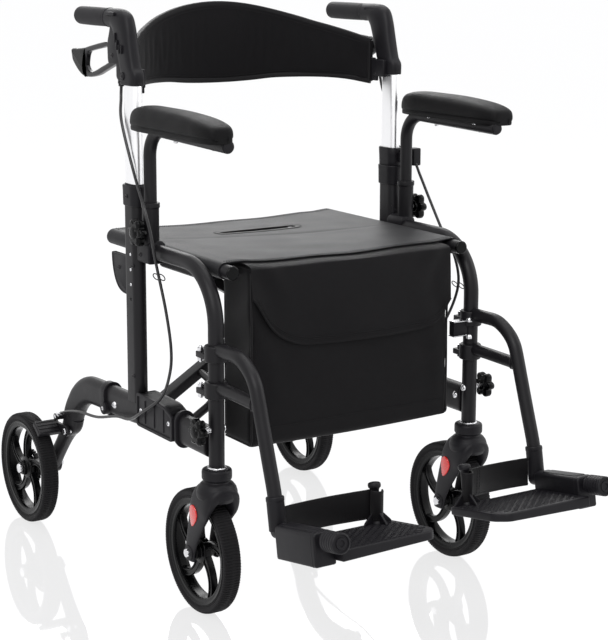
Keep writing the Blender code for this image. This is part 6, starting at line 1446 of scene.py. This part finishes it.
def build_seat(look):
    """Seat sling: a cloth loop round both rails. Between them its height is the sag s (1 - u^2) with
    ripples; round each rail it follows a circle, and it is closed by its own thickness."""
    outer, thick = SEAT_OVER, 0.0018
    a = np.linspace(math.radians(-100), math.radians(-270), 22)
    wrap = (-PIVOT_X, RAIL_Z) + polar(outer, a)
    u = np.linspace(-1, 1, 110)[1:-1]
    flat = np.stack([PIVOT_X * u, np.full(len(u), RAIL_Z + outer)], 1)
    tail = np.stack([np.linspace(-PIVOT_X + 0.026, -PIVOT_X + 0.003, 8),
                     RAIL_Z - outer + np.linspace(0.0045, 0.0002, 8)], 1)
    top = np.concatenate([tail, wrap, flat, wrap[::-1] * np.array([-1, 1]), tail[::-1] * np.array([-1, 1])])
    tangent = unit(np.gradient(top, axis=0))
    normal = np.stack([-tangent[:, 1], tangent[:, 0]], 1)
    normal *= np.where(normal[len(top) // 2, 1] > 0, 1, -1)
    y = np.concatenate([[SEAT_Y[0], SEAT_Y[0] + 0.0006], np.linspace(SEAT_Y[0] + 0.003, SEAT_Y[1] - 0.003, 96),
                        [SEAT_Y[1] - 0.0006, SEAT_Y[1]]])
    edge = np.minimum(np.abs(y - SEAT_Y[0]), np.abs(y - SEAT_Y[1]))
    hem = thick * (0.5 + 0.5 * np.minimum(1, edge / 0.0008)) + 0.0009 * (edge < 0.013) * np.minimum(1, edge / 0.0008)
    w = np.clip(top[:, 0] / PIVOT_X, -1, 1)
    inside = (np.abs(top[:, 0]) < PIVOT_X) & (top[:, 1] > RAIL_Z)
    lift = np.where(inside[None], seat_level(w[None], y[:, None], look), 0.0)
    over = xyz(top[:, 0], y[:, None], top[:, 1][None] + lift)
    n3 = xyz(normal[:, 0], np.zeros(len(normal)), normal[:, 1])
    under = over - n3[None] * hem[:, None, None]
    rows = np.concatenate([over, under[:, ::-1]], 1)
    seat = piece("seat_sling", skin(rows), "seat_cloth", None, sharp=45)
    slot_outline = stadium(SLOT_W, SLOT_L, 24)[:, ::-1]
    carve(seat, [slab(slot_outline, 0.06, 0.0002, facing_z(0, SLOT_Y, RAIL_Z + 0.01))])
    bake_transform(seat)
    # Bound slot: tape folded over the cut edge
    ring = resample(stadium(SLOT_W + 0.003, SLOT_L + 0.003, 30)[:, ::-1], 160)
    level = RAIL_Z + outer + seat_level(ring[:, 0] / PIVOT_X, ring[:, 1] + SLOT_Y, look)
    path = xyz(ring[:, 0], ring[:, 1] + SLOT_Y, level - 0.0008)
    tape = piece("seat_slot_binding", carried(bar(0.0016, 0.0042, 0.0012), path, (0, 0, 1), wrap=True), "webbing", None)
    # Dark webbing strip just under the slot, standing in for the shade seen through it: the slot shows dark but for its
    # ends
    px = np.linspace(-SLOT_L / 2 + 0.006, SLOT_L / 2 + 0.002, 30)
    under = xyz(px, SLOT_Y + 0.018, RAIL_Z + outer - 0.0075 + seat_level(px / PIVOT_X, SLOT_Y + 0.018, look))
    pull = piece("seat_slot_shade_strip", carried(bar(0.03, 0.0009, 0.0008), under, (0, 1, 0)), "webbing", None)
    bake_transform(pull)
    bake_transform(tape)
    # Stitch lines along the hems and round the slot
    runs = []
    x = np.linspace(-PIVOT_X + 0.004, PIVOT_X - 0.004, 120)
    for yy in (SEAT_Y[0] + 0.011, SEAT_Y[1] - 0.011, SEAT_Y[0] + 0.003, SEAT_Y[1] - 0.003):
        runs.append(xyz(x, yy, RAIL_Z + outer + 0.0003 + seat_level(x / PIVOT_X, yy, look)))
    hem_ring = resample(stadium(SLOT_W + 0.016, SLOT_L + 0.016, 30)[:, ::-1], 120)
    hem_z = RAIL_Z + outer + 0.0003 + seat_level(hem_ring[:, 0] / PIVOT_X, hem_ring[:, 1] + SLOT_Y, look)
    runs.append(xyz(hem_ring[:, 0], hem_ring[:, 1] + SLOT_Y, hem_z))
    sewn = piece("seat_stitching", [stitches(r, (0, 0, 1)) for r in runs], "thread", None)
    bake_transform(sewn)


def bag_front(x, z, look):
    """Y of the bag's front panel: flat at the top, a belly below, drawn in to the bottom seam."""
    u = np.abs(x) / (BAG_W / 2)
    t = np.clip((BAG_TOP - z) / (BAG_TOP - BAG_BOTTOM), 0, 1)
    belly = look.bag_bulge * np.sin(np.pi * np.clip(t, 0, 1) ** 0.8) * (1 - u ** 4)
    folds = 0.002 * np.sin(60 * x + 3 * np.sin(14 * z)) * np.exp(-((u - 0.86) / 0.16) ** 2) * np.sin(np.pi * t)
    return BAG_Y0 + 0.0045 - belly - folds - 0.001 * ripple(x, z, 11, 0.13)


def build_bag(look):
    """Storage bag: rings of a rounded rectangle stacked in Z and pushed out by a belly, with creases at
    its corners, a flap over the front, piping and stitch lines."""
    z = np.concatenate([[BAG_BOTTOM] * 3, BAG_BOTTOM + 0.012 * (1 - np.cos(np.linspace(0.15, np.pi / 2, 8))),
                        np.linspace(BAG_BOTTOM + 0.018, 0.5585, 84)])
    inset = np.concatenate([[0.06, 0.028, 0.0135], 0.012 * (1 - np.sin(np.linspace(0.15, np.pi / 2, 8))), np.zeros(84)])
    back = BAG_Y0 + BAG_DEPTH
    corners = rounded([(-BAG_W / 2, BAG_Y0 + 0.005), (BAG_W / 2, BAG_Y0 + 0.005), (BAG_W / 2, back),
                       (-BAG_W / 2, back)],
                      [0.01, 0.01, 0.012, 0.012], 8)
    ring = resample(np.concatenate([corners, corners[:1]]), 261)[:-1]
    way = inward(ring)
    flat = ring[None] + way[None] * np.minimum(inset, 0.04)[:, None, None]
    x, y = flat[..., 0], flat[..., 1]
    zz = np.broadcast_to(z[:, None], x.shape).copy()
    t = np.clip((BAG_TOP - zz) / (BAG_TOP - BAG_BOTTOM), 0, 1)
    live = np.clip((zz - BAG_BOTTOM) / 0.03, 0, 1)
    shift = (bag_front(x, zz, look) - (BAG_Y0 + 0.005)) * np.clip((BAG_Y0 + 0.03 - y) / 0.02, 0, 1) * live
    side_in = 0.004 * np.sin(np.pi * t) * np.sign(x) * (np.abs(x) > BAG_W / 2 - 0.012) * np.sin(
        np.pi * np.clip((y - BAG_Y0) / BAG_DEPTH, 0, 1))
    side_fold = 0.0022 * np.sin(70 * (zz + 0.6 * y)) * (np.abs(x) > BAG_W / 2 - 0.012) * np.sin(np.pi * t) * np.sign(x)
    sag = 0.003 * np.cos(np.pi * x / BAG_W) * np.clip(1 - (zz - BAG_BOTTOM) / 0.09, 0, 1)
    rear = 0.003 * ripple(x, zz, 5, 0.1) * (y > back - 0.004)
    rows = xyz(x - side_in + side_fold, y + shift + rear, zz - sag + 0.003)
    obj = piece("storage_bag", skin(rows), "bag_cloth", "right_side", sharp=60)
    pieces = [obj]
    # Flap: a double sheet hung from the seat's front edge, its lower line dipping in the middle
    u = np.linspace(-1, 1, 150)
    fx = u * (BAG_W / 2 - 0.001)
    bottom = np.interp(fx, FLAP_LOW[:, 0], FLAP_LOW[:, 1])
    bottom = np.convolve(np.pad(bottom, 4, mode="edge"), np.ones(9) / 9, "valid")
    v = np.linspace(0, 1, 60)
    fz = FLAP_TOP + (bottom[None] - FLAP_TOP) * v[:, None]
    xx = np.broadcast_to(fx[None], fz.shape)
    hang = 0.0036 + 0.003 * v[:, None] ** 2 + 0.0016 * np.sin(26 * xx + 1.0) * v[:, None] ** 1.5
    fall = FLAP_TOP - fz
    crease = (0.0024 * np.sin(90 * (xx * np.sign(xx) + 0.8 * fall)) * np.exp(-((np.abs(xx) - 0.165) / 0.03) ** 2)
              * np.exp(-(fall / 0.055) ** 2))
    fy = bag_front(xx, fz, look) - hang - crease * 0.7
    face = xyz(xx, fy, fz)
    # Over its top the flap runs back under the seat's front hem along a parabola
    t = np.linspace(0, 1, 14)[:-1, None]
    seat_z = RAIL_Z + SEAT_OVER + seat_level(fx / PIVOT_X, SEAT_Y[0], look) - 0.0036
    lead = ((1 - t) ** 2)[..., None] * xyz(fx, SEAT_Y[0] + 0.004, seat_z)
    lead = lead + (2 * t * (1 - t))[..., None] * xyz(fx, fy[0] + 0.002, seat_z + 0.0005) + (t * t)[..., None] * face[0]
    face = np.concatenate([lead, face])
    thick = 0.0016
    both = np.concatenate([face, (face + np.array([0, thick, -thick]) * np.array([1, 1, 0.8]))[:, ::-1]], 1)
    pieces.append(piece("bag_flap", skin(both), "bag_cloth", "right_side", sharp=60))
    # Binding along the flap's lower edge, and piping along the bag's front corners and bottom
    low = face[-1] + np.array([0, thick / 2, 0.0006])
    low = resample(low, 160)
    hem = carried(bar(0.0016, 0.0013, 0.001), low, (0, 0, 1))
    pieces.append(piece("flap_hem", hem, "bag_cloth", "right_side"))
    zc = np.linspace(0.556, BAG_BOTTOM + 0.01, 50)
    seam = []
    for d in (-1, 1):
        xs = np.full(50, d * (BAG_W / 2 - 0.0032))
        seam.append(xyz(xs, bag_front(xs, zc, look) + 0.0018, zc))
    xs = np.linspace(-BAG_W / 2 + 0.004, BAG_W / 2 - 0.004, 90)
    base = xyz(xs, BAG_Y0 + 0.011, BAG_BOTTOM + 0.0065 - 0.003 * np.cos(np.pi * xs / BAG_W))
    loop = smooth(np.concatenate([seam[0][::3], base[::5], seam[1][::-1][::3]]), 240)
    piping = tube(loop, 0.0019, up=(0, 1, 0), sides=10)
    sides = []
    for d in (-1, 1):
        yy = np.linspace(BAG_Y0 + 0.012, back - 0.004, 24)
        sides.append(tube(xyz(d * (BAG_W / 2 - 0.0035), yy, BAG_BOTTOM + 0.006), 0.0017, up=(0, 0, 1), sides=10))
        sides.append(tube(xyz(d * (BAG_W / 2 - 0.004), back - 0.0035, np.linspace(BAG_BOTTOM + 0.008, 0.556, 30)),
            0.0017, up=(0, 1, 0), sides=10))
    pieces.append(piece("bag_binding", [piping] + sides, "webbing", "right_side"))
    runs = []
    for off in (0.0085, 0.0115):
        line = face[-1] + np.array([0, -0.0004, off])
        runs.append(line[4:-4])
    for d in (-1, 1):
        xs = np.full(50, d * (BAG_W / 2 - 0.009))
        runs.append(xyz(xs, bag_front(xs, zc, look) - 0.0004, zc)[22:])
    xs = np.linspace(-BAG_W / 2 + 0.014, BAG_W / 2 - 0.014, 80)
    zl = np.full(80, BAG_BOTTOM + 0.034)
    runs.append(xyz(xs, bag_front(xs, zl, look) - 0.0004, zl))
    pieces.append(piece("bag_stitching", [stitches(r, (0, -1, 0.15)) for r in runs], "thread", "right_side"))
    for p in pieces:
        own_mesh(p)


def backrest_edges(u):
    """Lower and upper height of the backrest at u across, by a smooth curve through measured places."""
    k = smooth(np.concatenate([BACK_SHAPE[:0:-1] * np.array([-1, 1, 1]), BACK_SHAPE]), 400)
    return GRIP_Z + np.interp(np.abs(u), k[:, 0], k[:, 1]), GRIP_Z + np.interp(np.abs(u), k[:, 0], k[:, 2])


def backrest_bow(u):
    """Depth of the backrest at u across: y0 + b (1 - |u|^2.6)."""
    return BACK_Y + 0.026 + (BACK_BOW - BACK_Y - 0.026) * (1 - np.abs(u) ** 2.6)


def puff_up(rows, held, look):
    """Cloth simulation of the padded band: its own mesh, held along its edges, is blown up with gravity
    off for 16 frames, and each point's move is capped at 7 mm."""
    mesh = make_mesh("backrest_form", [skin(rows)])
    form, scene = new_object("backrest_form", mesh), bpy.context.scene
    form.vertex_groups.new(name="held").add(np.nonzero(held.ravel())[0].tolist(), 1.0, "REPLACE")
    cloth = form.modifiers.new("cloth", "CLOTH")
    how = cloth.settings
    how.use_pressure, how.uniform_pressure_force, how.quality = True, look.backrest_pressure, 5
    how.effector_weights.gravity, how.vertex_group_mass = 0.0, "held"
    cloth.point_cache.frame_start, cloth.point_cache.frame_end = 1, 16
    for f in range(1, 17):
        scene.frame_set(f)
    done = bpy.data.meshes.new_from_object(form.evaluated_get(bpy.context.evaluated_depsgraph_get()))
    after = np.zeros(rows.size)
    done.vertices.foreach_get("co", after)
    scene.frame_set(1)
    bpy.data.objects.remove(form)
    for used in (mesh, done):
        bpy.data.meshes.remove(used)
    move = after.reshape(rows.shape) - rows
    size = np.linalg.norm(move, axis=-1, keepdims=True)
    return rows + move * np.minimum(1.0, 0.007 / np.maximum(size, 1e-9))


def build_backrest(look):
    """Padded backrest band: y = y0 + b (1 - |u|^2.6), between two measured edges, its section a flat lens
    h (1 - |2w - 1|^5)^(1/2.2), then blown up as cloth and finished with tape, stitches and end clips."""
    n, m = 130, 36
    u = np.linspace(-1, 1, n)
    w = 0.5 - 0.5 * np.cos(np.pi * np.linspace(0, 1, m))
    low, high = backrest_edges(u)
    bow = backrest_bow(u)
    tangent = unit(np.gradient(np.stack([u * BACK_END_X, bow], 1), axis=0))
    normal = np.stack([-tangent[:, 1], tangent[:, 0]], 1)
    h = 0.0052 * (1 - np.abs(2 * w - 1) ** 5) ** (1 / 2.2) + 0.001
    z = low[:, None] + (high - low)[:, None] * w[None]
    puff = 0.003 * np.sin(np.pi * w)
    ripples = 0.001 * ripple(u[:, None] * 0.3, z, 21, 0.1) + 0.0008 * np.sin(60 * u[:, None]) * np.exp(
        -((np.abs(u[:, None]) - 0.95) / 0.06) ** 2)
    sides = []
    for d in (1, -1):
        off = puff[None] + d * (h[None] + ripples)
        sides.append(xyz((u * BACK_END_X)[:, None] + normal[:, 0:1] * off, bow[:, None] + normal[:, 1:2] * off, z))
    rows = np.concatenate([sides[0], sides[1][:, ::-1]], 1)
    held = (np.abs(u)[:, None] > 0.955) | (np.concatenate([w, w[::-1]])[None] < 0.07) | (
        np.concatenate([w, w[::-1]])[None] > 0.93)
    rows = puff_up(rows, held, look)
    back = piece("backrest", skin(rows), "backrest_knit", "right_handle", sharp=60)
    pieces = [back]
    tape = []
    for line in (low, high):
        path = resample(xyz(u * BACK_END_X, bow, line), 170)
        tape.append(carried(bar(0.0045, 0.004, 0.0024), path, (0, 0, 1)))
    for d in (-1, 1):
        e = 0 if d < 0 else -1
        zs = np.linspace(low[e], high[e], 20)
        tape.append(carried(bar(0.0042, 0.0036, 0.0022), xyz(d * (BACK_END_X - 0.0012), bow[e], zs), (1, 0, 0)))
    pieces.append(piece("backrest_binding", tape, "webbing", "right_handle"))
    runs = []
    for line, off in ((low, 0.0075), (high, -0.0075)):
        for d in (1, -1):
            side = d * 0.0062
            runs.append(xyz(u * BACK_END_X + normal[:, 0] * side, bow + normal[:, 1] * side, line + off)[3:-3])
    pieces.append(piece("backrest_stitching", [stitches(r, (0, 1, 0)) for r in runs], "thread", "right_handle"))
    clips, pins = [], []
    for d in (-1, 1):
        z0 = HOUSING_BOTTOM + 0.007
        clips.append(block((d * 0.239, BACK_Y + 0.026, z0), (0.0085, 0.016, 0.04), 0.0018))
        clips.append(block((d * 0.2385, BACK_Y + 0.016, z0 - 0.01), (0.006, 0.016, 0.02), 0.0014))
        pins += [screw((d * 0.239, BACK_Y + 0.0182, z0 + dz), (0, -1, 0), 0.0024, 0.0016) for dz in (0.014, 0.006)]
    pieces.append(piece("backrest_clips", clips, "moulded_nylon", "right_handle"))
    pieces.append(piece("backrest_rivets", pins, "zinc_steel", "right_handle"))
    for p in pieces:
        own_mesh(p)


def build_heel_strap(s, side):
    """Heel strap: a webbing band carried from the hanger's sleeve round the post on the footplate."""
    t = np.linspace(2.3, -3.1, 24)
    post = facing_foot(s)[0] + FOOT_DIR * 0.024
    cx, cy = STRAP_POST[0], post[1]
    wrap = (cx, cy) + polar(0.0088, t)
    first = np.array([(0.2338, -0.3585), (0.215, -0.355), (0.185, -0.3535), (0.15, -0.358), (0.118, -0.369),
        (0.0985, -0.3775)])
    plan = smooth(np.concatenate([first, wrap[4:]]), 110)
    along = np.clip((0.2338 - plan[:, 0]) / 0.14, 0, 1)
    z = 0.2118 + 0.008 * along ** 1.2 - 0.003 * np.sin(np.pi * along)
    path = np.column_stack([s * plan[:, 0], plan[:, 1], z])
    section = bar(0.0235, 0.0011, 0.0009, 4)
    strap = piece(side + "_heel_strap", carried(section, path, (0, 0, 1)), "webbing", None, sharp=50)
    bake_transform(strap)
    t3 = unit(np.gradient(path, axis=0))
    out = unit(np.cross(t3, (0, 0, 1)))
    runs = [path + np.array([0, 0, dz]) + out * d * 0.0012 for dz in (-0.0205, 0.0205) for d in (-1, 1)]
    cross = [np.linspace(path[k] + np.array([0, 0, -0.018]), path[k] + np.array([0, 0, 0.018]), 8) + out[k] * d * 0.0012
             for k in (62, 66) for d in (-1, 1)]
    sewn = piece(side + "_strap_stitching", [stitches(r, out.mean(0)) for r in runs + cross], "thread", None)
    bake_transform(sewn)


# ---- stage ----

def build_stage(look):
    """Pale floor that runs out to the white surround, soft lamps, and the camera of the photograph."""
    reach = 30.0
    rows = reach * np.array([[(-1, -1, 0), (1, -1, 0)], [(-1, 1, 0), (1, 1, 0)]], float)
    mesh = make_mesh("floor", [skin(rows, wrap_cols=False, caps=False)])
    floor = new_object("floor", mesh)
    # Seamless paper: white, with the least gloss so that the wheels mirror faintly
    tree = new_material("seamless_paper", look.floor, 0.9, Specular_IOR_Level=0.0)
    shader = tree.nodes["Principled BSDF"]
    glow = add(tree, "ShaderNodeEmission", Strength=look.floor_glow)
    mirror = add(tree, "ShaderNodeBsdfGlossy", Color=tuple(look.floor_mirror), Roughness=0.03)
    both = add(tree, "ShaderNodeAddShader", i0=shader.outputs[0], i1=mirror.outputs[0])
    mix = add(tree, "ShaderNodeAddShader", i0=both.outputs[0], i1=glow.outputs[0])
    tree.links.new(mix.outputs[0], tree.nodes["Material Output"].inputs["Surface"])
    mesh.materials.append(MATERIALS["seamless_paper"])
    scene = bpy.context.scene
    world = bpy.data.worlds.new("surround")
    scene.world = world
    world.use_nodes = True
    tree = world.node_tree
    tree.nodes.clear()
    path = add(tree, "ShaderNodeLightPath").outputs
    soft = add(tree, "ShaderNodeBackground", Color=(1.0, 1.0, 1.0, 1.0), Strength=look.ambient)
    white = add(tree, "ShaderNodeBackground", Color=(1.0, 1.0, 1.0, 1.0), Strength=1.0)
    seen = add(tree, "ShaderNodeMath", {"operation": "MAXIMUM"}, i0=path["Is Camera Ray"], i1=path["Is Glossy Ray"])
    either = add(tree, "ShaderNodeMath", {"operation": "MAXIMUM"}, i0=seen.outputs[0], i1=path["Is Transmission Ray"])
    shown = add(tree, "ShaderNodeMixShader", Fac=either.outputs[0], i1=soft.outputs[0], i2=white.outputs[0])
    out = add(tree, "ShaderNodeOutputWorld")
    tree.links.new(shown.outputs[0], out.inputs["Surface"])
    for name, spot, target, size, power in (
            ("key", (-2.6, -2.6, 3.4), (0.0, 0.0, 0.45), 2.4, look.key_power),
            ("fill", (3.4, -1.6, 2.2), (0.0, 0.0, 0.45), 2.8, look.key_power * 0.45),
            ("top", (0.2, 0.4, 4.2), (0.0, 0.0, 0.2), 3.6, look.key_power * 0.9),
            ("rim", (1.6, 3.2, 2.6), (0.0, 0.0, 0.5), 2.0, look.key_power * 0.5)):
        lamp = bpy.data.lights.new(name, "AREA")
        lamp.energy, lamp.size = power, size
        light = new_object(name, lamp)
        light.matrix_world = (Matrix.Translation(spot)
                              @ (Vector(target) - Vector(spot)).to_track_quat("-Z", "Y").to_matrix().to_4x4())
    lens = bpy.data.cameras.new("camera")
    lens.lens, lens.sensor_width, lens.sensor_fit = CAMERA_LENS, 36.0, "AUTO"
    lens.shift_x, lens.shift_y = CAMERA_SHIFT
    lens.clip_end = 100.0
    camera = new_object("camera", lens)
    right, up = Vector(CAMERA_RIGHT), Vector(CAMERA_UP)
    turn = Matrix((right, up, right.cross(up))).transposed()
    camera.matrix_world = Matrix.Translation(CAMERA_PLACE) @ turn.to_4x4()
    scene.camera = camera
    scene.view_settings.view_transform = "Standard"


# ---- add-on ----

def colour(name, description, code):
    """A colour the user can change."""
    return bpy.props.FloatVectorProperty(name=name, description=description, subtype="COLOR", size=4, min=0.0, max=1.0,
                                         default=linear(code))


def length(name, description, default):
    """A length the user can change, in metres."""
    return bpy.props.FloatProperty(name=name, description=description, default=default, min=0.0, unit="LENGTH")


class WalkerLook(bpy.types.PropertyGroup):
    """Sizes and colours a user would change."""
    seat_sag: length("Seat sag", "How far the seat cloth hangs between its rails", SEAT_SAG)
    bag_bulge: length("Bag bulge", "How far the bag's front panel bellies out", 0.006)
    backrest_pressure: bpy.props.FloatProperty(name="Backrest padding", description="Cloth pressure in the backrest",
                                               default=4.0, min=0.0)
    frame: colour("Frame", "Powder coat", "#131214")
    frame_light: colour("Frame, worn", "Lighter tone in the powder coat", "#19181b")
    silver: colour("Tube", "Anodised tube", "#f2f2f4")
    silver_light: colour("Tube, bright", "Bright draw lines of the tube", "#fbfbfc")
    plastic: colour("Mouldings", "Nylon mouldings", "#111013")
    plastic_light: colour("Mouldings, light", "Lighter tone in the mouldings", "#17161a")
    gloss: colour("Lever pad", "Glossy pad of the lever", "#030304")
    lever: colour("Lever", "Painted lever", "#1b1a1d")
    grip: colour("Grip", "Rubber of the grips", "#1a191c")
    pad: colour("Armrest", "Skin of the armrest pads", "#0b0a0c")
    tyre: colour("Tyre", "Polyurethane of the tyres", "#0b0a0c")
    tyre_light: colour("Tyre, dust", "Dusty tone of the tyres", "#151416")
    cloth: colour("Bag cloth", "Threads of the bag", "#09080a")
    cloth_light: colour("Bag cloth, light", "Tops of the bag's threads", "#121113")
    seat: colour("Seat cloth", "Threads of the seat", "#1d1d1f")
    seat_light: colour("Seat cloth, light", "Tops of the seat's threads", "#2a2a2c")
    tape: colour("Tape", "Binding tape and webbing", "#0d0c0e")
    zinc: colour("Fasteners", "Zinc plating", "#b9b9bc")
    oxide: colour("Dark screws", "Black oxide", "#2c2b2d")
    reflector: colour("Reflector", "Red acrylic", "#b80c0a")
    # Painted glints: the lighter red of the reflector's prism cells
    reflector_glint: colour("Reflector, lit", "Bright cells of the reflector", "#e81c10")
    floor: colour("Floor", "Paper under the walker", "#545456")
    floor_mirror: colour("Floor gloss", "What the paper mirrors", "#7b7b7c")
    floor_glow: bpy.props.FloatProperty(name="Floor glow", description="Even light of the paper", default=0.76, min=0.0)
    ambient: bpy.props.FloatProperty(name="Surround", description="Light from all round", default=0.4, min=0.0)
    key_power: bpy.props.FloatProperty(name="Lamps", description="Power of the key lamp", default=100.0, min=0.0,
                                       unit="POWER")


UNDOABLE = {"REGISTER", "UNDO"}


def both_sides(builder):
    """Run a builder for the right side, then for the left."""
    for s, side in SIDES:
        builder(s, side)
    return {"FINISHED"}


def looking(builder, context):
    """Run a builder with the look the user has set."""
    builder(context.scene.walker_look)
    return {"FINISHED"}


class WALKER_OT_materials(bpy.types.Operator):
    """Make all finishes"""
    bl_idname, bl_label, bl_options = "walker.materials", "Materials", UNDOABLE

    def execute(self, context):
        return looking(make_materials, context)


class WALKER_OT_legs(bpy.types.Operator):
    """Front legs with the seat tubes, and the saddles of the rails"""
    bl_idname, bl_label, bl_options = "walker.legs", "Legs and saddles", UNDOABLE

    def execute(self, context):
        return both_sides(build_legs)


class WALKER_OT_posts(bpy.types.Operator):
    """Rear posts with their sockets, guide plates and junction blocks"""
    bl_idname, bl_label, bl_options = "walker.posts", "Rear posts", UNDOABLE

    def execute(self, context):
        return both_sides(build_posts)


class WALKER_OT_collars(bpy.types.Operator):
    """Collars on the posts"""
    bl_idname, bl_label, bl_options = "walker.collars", "Post collars", UNDOABLE

    def execute(self, context):
        return both_sides(build_collars)


class WALKER_OT_beams(bpy.types.Operator):
    """Lower beams, brace blocks and clamps"""
    bl_idname, bl_label, bl_options = "walker.beams", "Lower beams", UNDOABLE

    def execute(self, context):
        return both_sides(build_beams)


class WALKER_OT_forks(bpy.types.Operator):
    """Rear forks, axles and brake shoes"""
    bl_idname, bl_label, bl_options = "walker.forks", "Rear forks and brakes", UNDOABLE

    def execute(self, context):
        return both_sides(build_forks)


class WALKER_OT_brace(bpy.types.Operator):
    """Scissor bars under the seat"""
    bl_idname, bl_label, bl_options = "walker.brace", "Scissor brace", UNDOABLE

    def execute(self, context):
        build_brace("brace_a", -1)
        build_brace("brace_b", 1)
        return {"FINISHED"}


class WALKER_OT_handles(bpy.types.Operator):
    """Handle tubes, elbows and grips"""
    bl_idname, bl_label, bl_options = "walker.handles", "Handles", UNDOABLE

    def execute(self, context):
        return both_sides(build_handles)


class WALKER_OT_levers(bpy.types.Operator):
    """Looped brake levers with their pads"""
    bl_idname, bl_label, bl_options = "walker.levers", "Brake levers", UNDOABLE

    def execute(self, context):
        return both_sides(build_levers)


class WALKER_OT_armrests(bpy.types.Operator):
    """Armrest tubes and pads"""
    bl_idname, bl_label, bl_options = "walker.armrests", "Armrests", UNDOABLE

    def execute(self, context):
        both_sides(build_armrest)
        return {"FINISHED"}


class WALKER_OT_knobs(bpy.types.Operator):
    """Star knobs of the armrests and legs"""
    bl_idname, bl_label, bl_options = "walker.knobs", "Knobs", UNDOABLE

    def execute(self, context):
        for s, side in SIDES:
            build_knob(s, side, "armrest_knob", side + "_arm_knob", *ARM_KNOB, False)
            build_knob(s, side, "leg_knob", side + "_lock_knob", *LEG_KNOB, True)
        return {"FINISHED"}


class WALKER_OT_wheels(bpy.types.Operator):
    """Tyres and spoked rims of all four wheels"""
    bl_idname, bl_label, bl_options = "walker.wheels", "Wheels", UNDOABLE

    def execute(self, context):
        return both_sides(build_wheels)


class WALKER_OT_casters(bpy.types.Operator):
    """Caster forks with their reflectors"""
    bl_idname, bl_label, bl_options = "walker.casters", "Caster forks", UNDOABLE

    def execute(self, context):
        return both_sides(build_caster_fork)


class WALKER_OT_hangers(bpy.types.Operator):
    """Footrest hangers and foot pivots"""
    bl_idname, bl_label, bl_options = "walker.hangers", "Footrest hangers", UNDOABLE

    def execute(self, context):
        return both_sides(build_hangers)


class WALKER_OT_footplates(bpy.types.Operator):
    """Footplates with their strap posts"""
    bl_idname, bl_label, bl_options = "walker.footplates", "Footplates", UNDOABLE

    def execute(self, context):
        return both_sides(build_footplates)


class WALKER_OT_straps(bpy.types.Operator):
    """Heel straps"""
    bl_idname, bl_label, bl_options = "walker.straps", "Heel straps", UNDOABLE

    def execute(self, context):
        return both_sides(build_heel_strap)


class WALKER_OT_cables(bpy.types.Operator):
    """Brake cables"""
    bl_idname, bl_label, bl_options = "walker.cables", "Brake cables", UNDOABLE

    def execute(self, context):
        return both_sides(build_cables)


class WALKER_OT_seat(bpy.types.Operator):
    """Seat sling with its slot"""
    bl_idname, bl_label, bl_options = "walker.seat", "Seat", UNDOABLE

    def execute(self, context):
        return looking(build_seat, context)


class WALKER_OT_bag(bpy.types.Operator):
    """Storage bag with its flap"""
    bl_idname, bl_label, bl_options = "walker.bag", "Bag", UNDOABLE

    def execute(self, context):
        return looking(build_bag, context)


class WALKER_OT_backrest(bpy.types.Operator):
    """Padded backrest band"""
    bl_idname, bl_label, bl_options = "walker.backrest", "Backrest", UNDOABLE

    def execute(self, context):
        return looking(build_backrest, context)


class WALKER_OT_stage(bpy.types.Operator):
    """Floor, lamps, surround and camera"""
    bl_idname, bl_label, bl_options = "walker.stage", "Stage", UNDOABLE

    def execute(self, context):
        return looking(build_stage, context)


OPERATORS = (WALKER_OT_materials, WALKER_OT_legs, WALKER_OT_posts, WALKER_OT_collars, WALKER_OT_beams,
             WALKER_OT_forks, WALKER_OT_brace, WALKER_OT_handles, WALKER_OT_levers, WALKER_OT_armrests,
             WALKER_OT_knobs, WALKER_OT_wheels, WALKER_OT_casters, WALKER_OT_hangers, WALKER_OT_footplates,
             WALKER_OT_straps, WALKER_OT_cables, WALKER_OT_seat, WALKER_OT_bag, WALKER_OT_backrest,
             WALKER_OT_stage)


class WALKER_PT_panel(bpy.types.Panel):
    """Lists the walker's pieces and its look"""
    bl_idname, bl_label = "WALKER_PT_panel", "Folding walker"
    bl_space_type, bl_region_type, bl_category = "VIEW_3D", "UI", "Walker"

    def draw(self, context):
        for kind in OPERATORS:
            self.layout.operator(kind.bl_idname)
        for name in WalkerLook.__annotations__:
            self.layout.prop(context.scene.walker_look, name)


CLASSES = (WalkerLook, *OPERATORS, WALKER_PT_panel)


def register():
    """Add the classes and the walker's look to Blender."""
    for kind in CLASSES:
        bpy.utils.register_class(kind)
    bpy.types.Scene.walker_look = bpy.props.PointerProperty(type=WalkerLook)


def unregister():
    """Take them out again."""
    del bpy.types.Scene.walker_look
    for kind in reversed(CLASSES):
        bpy.utils.unregister_class(kind)


def main():
    """Build every piece in order."""
    register()
    for kind in OPERATORS:
        group, name = kind.bl_idname.split(".")
        getattr(getattr(bpy.ops, group), name)()


if __name__ == "__main__":
    main()
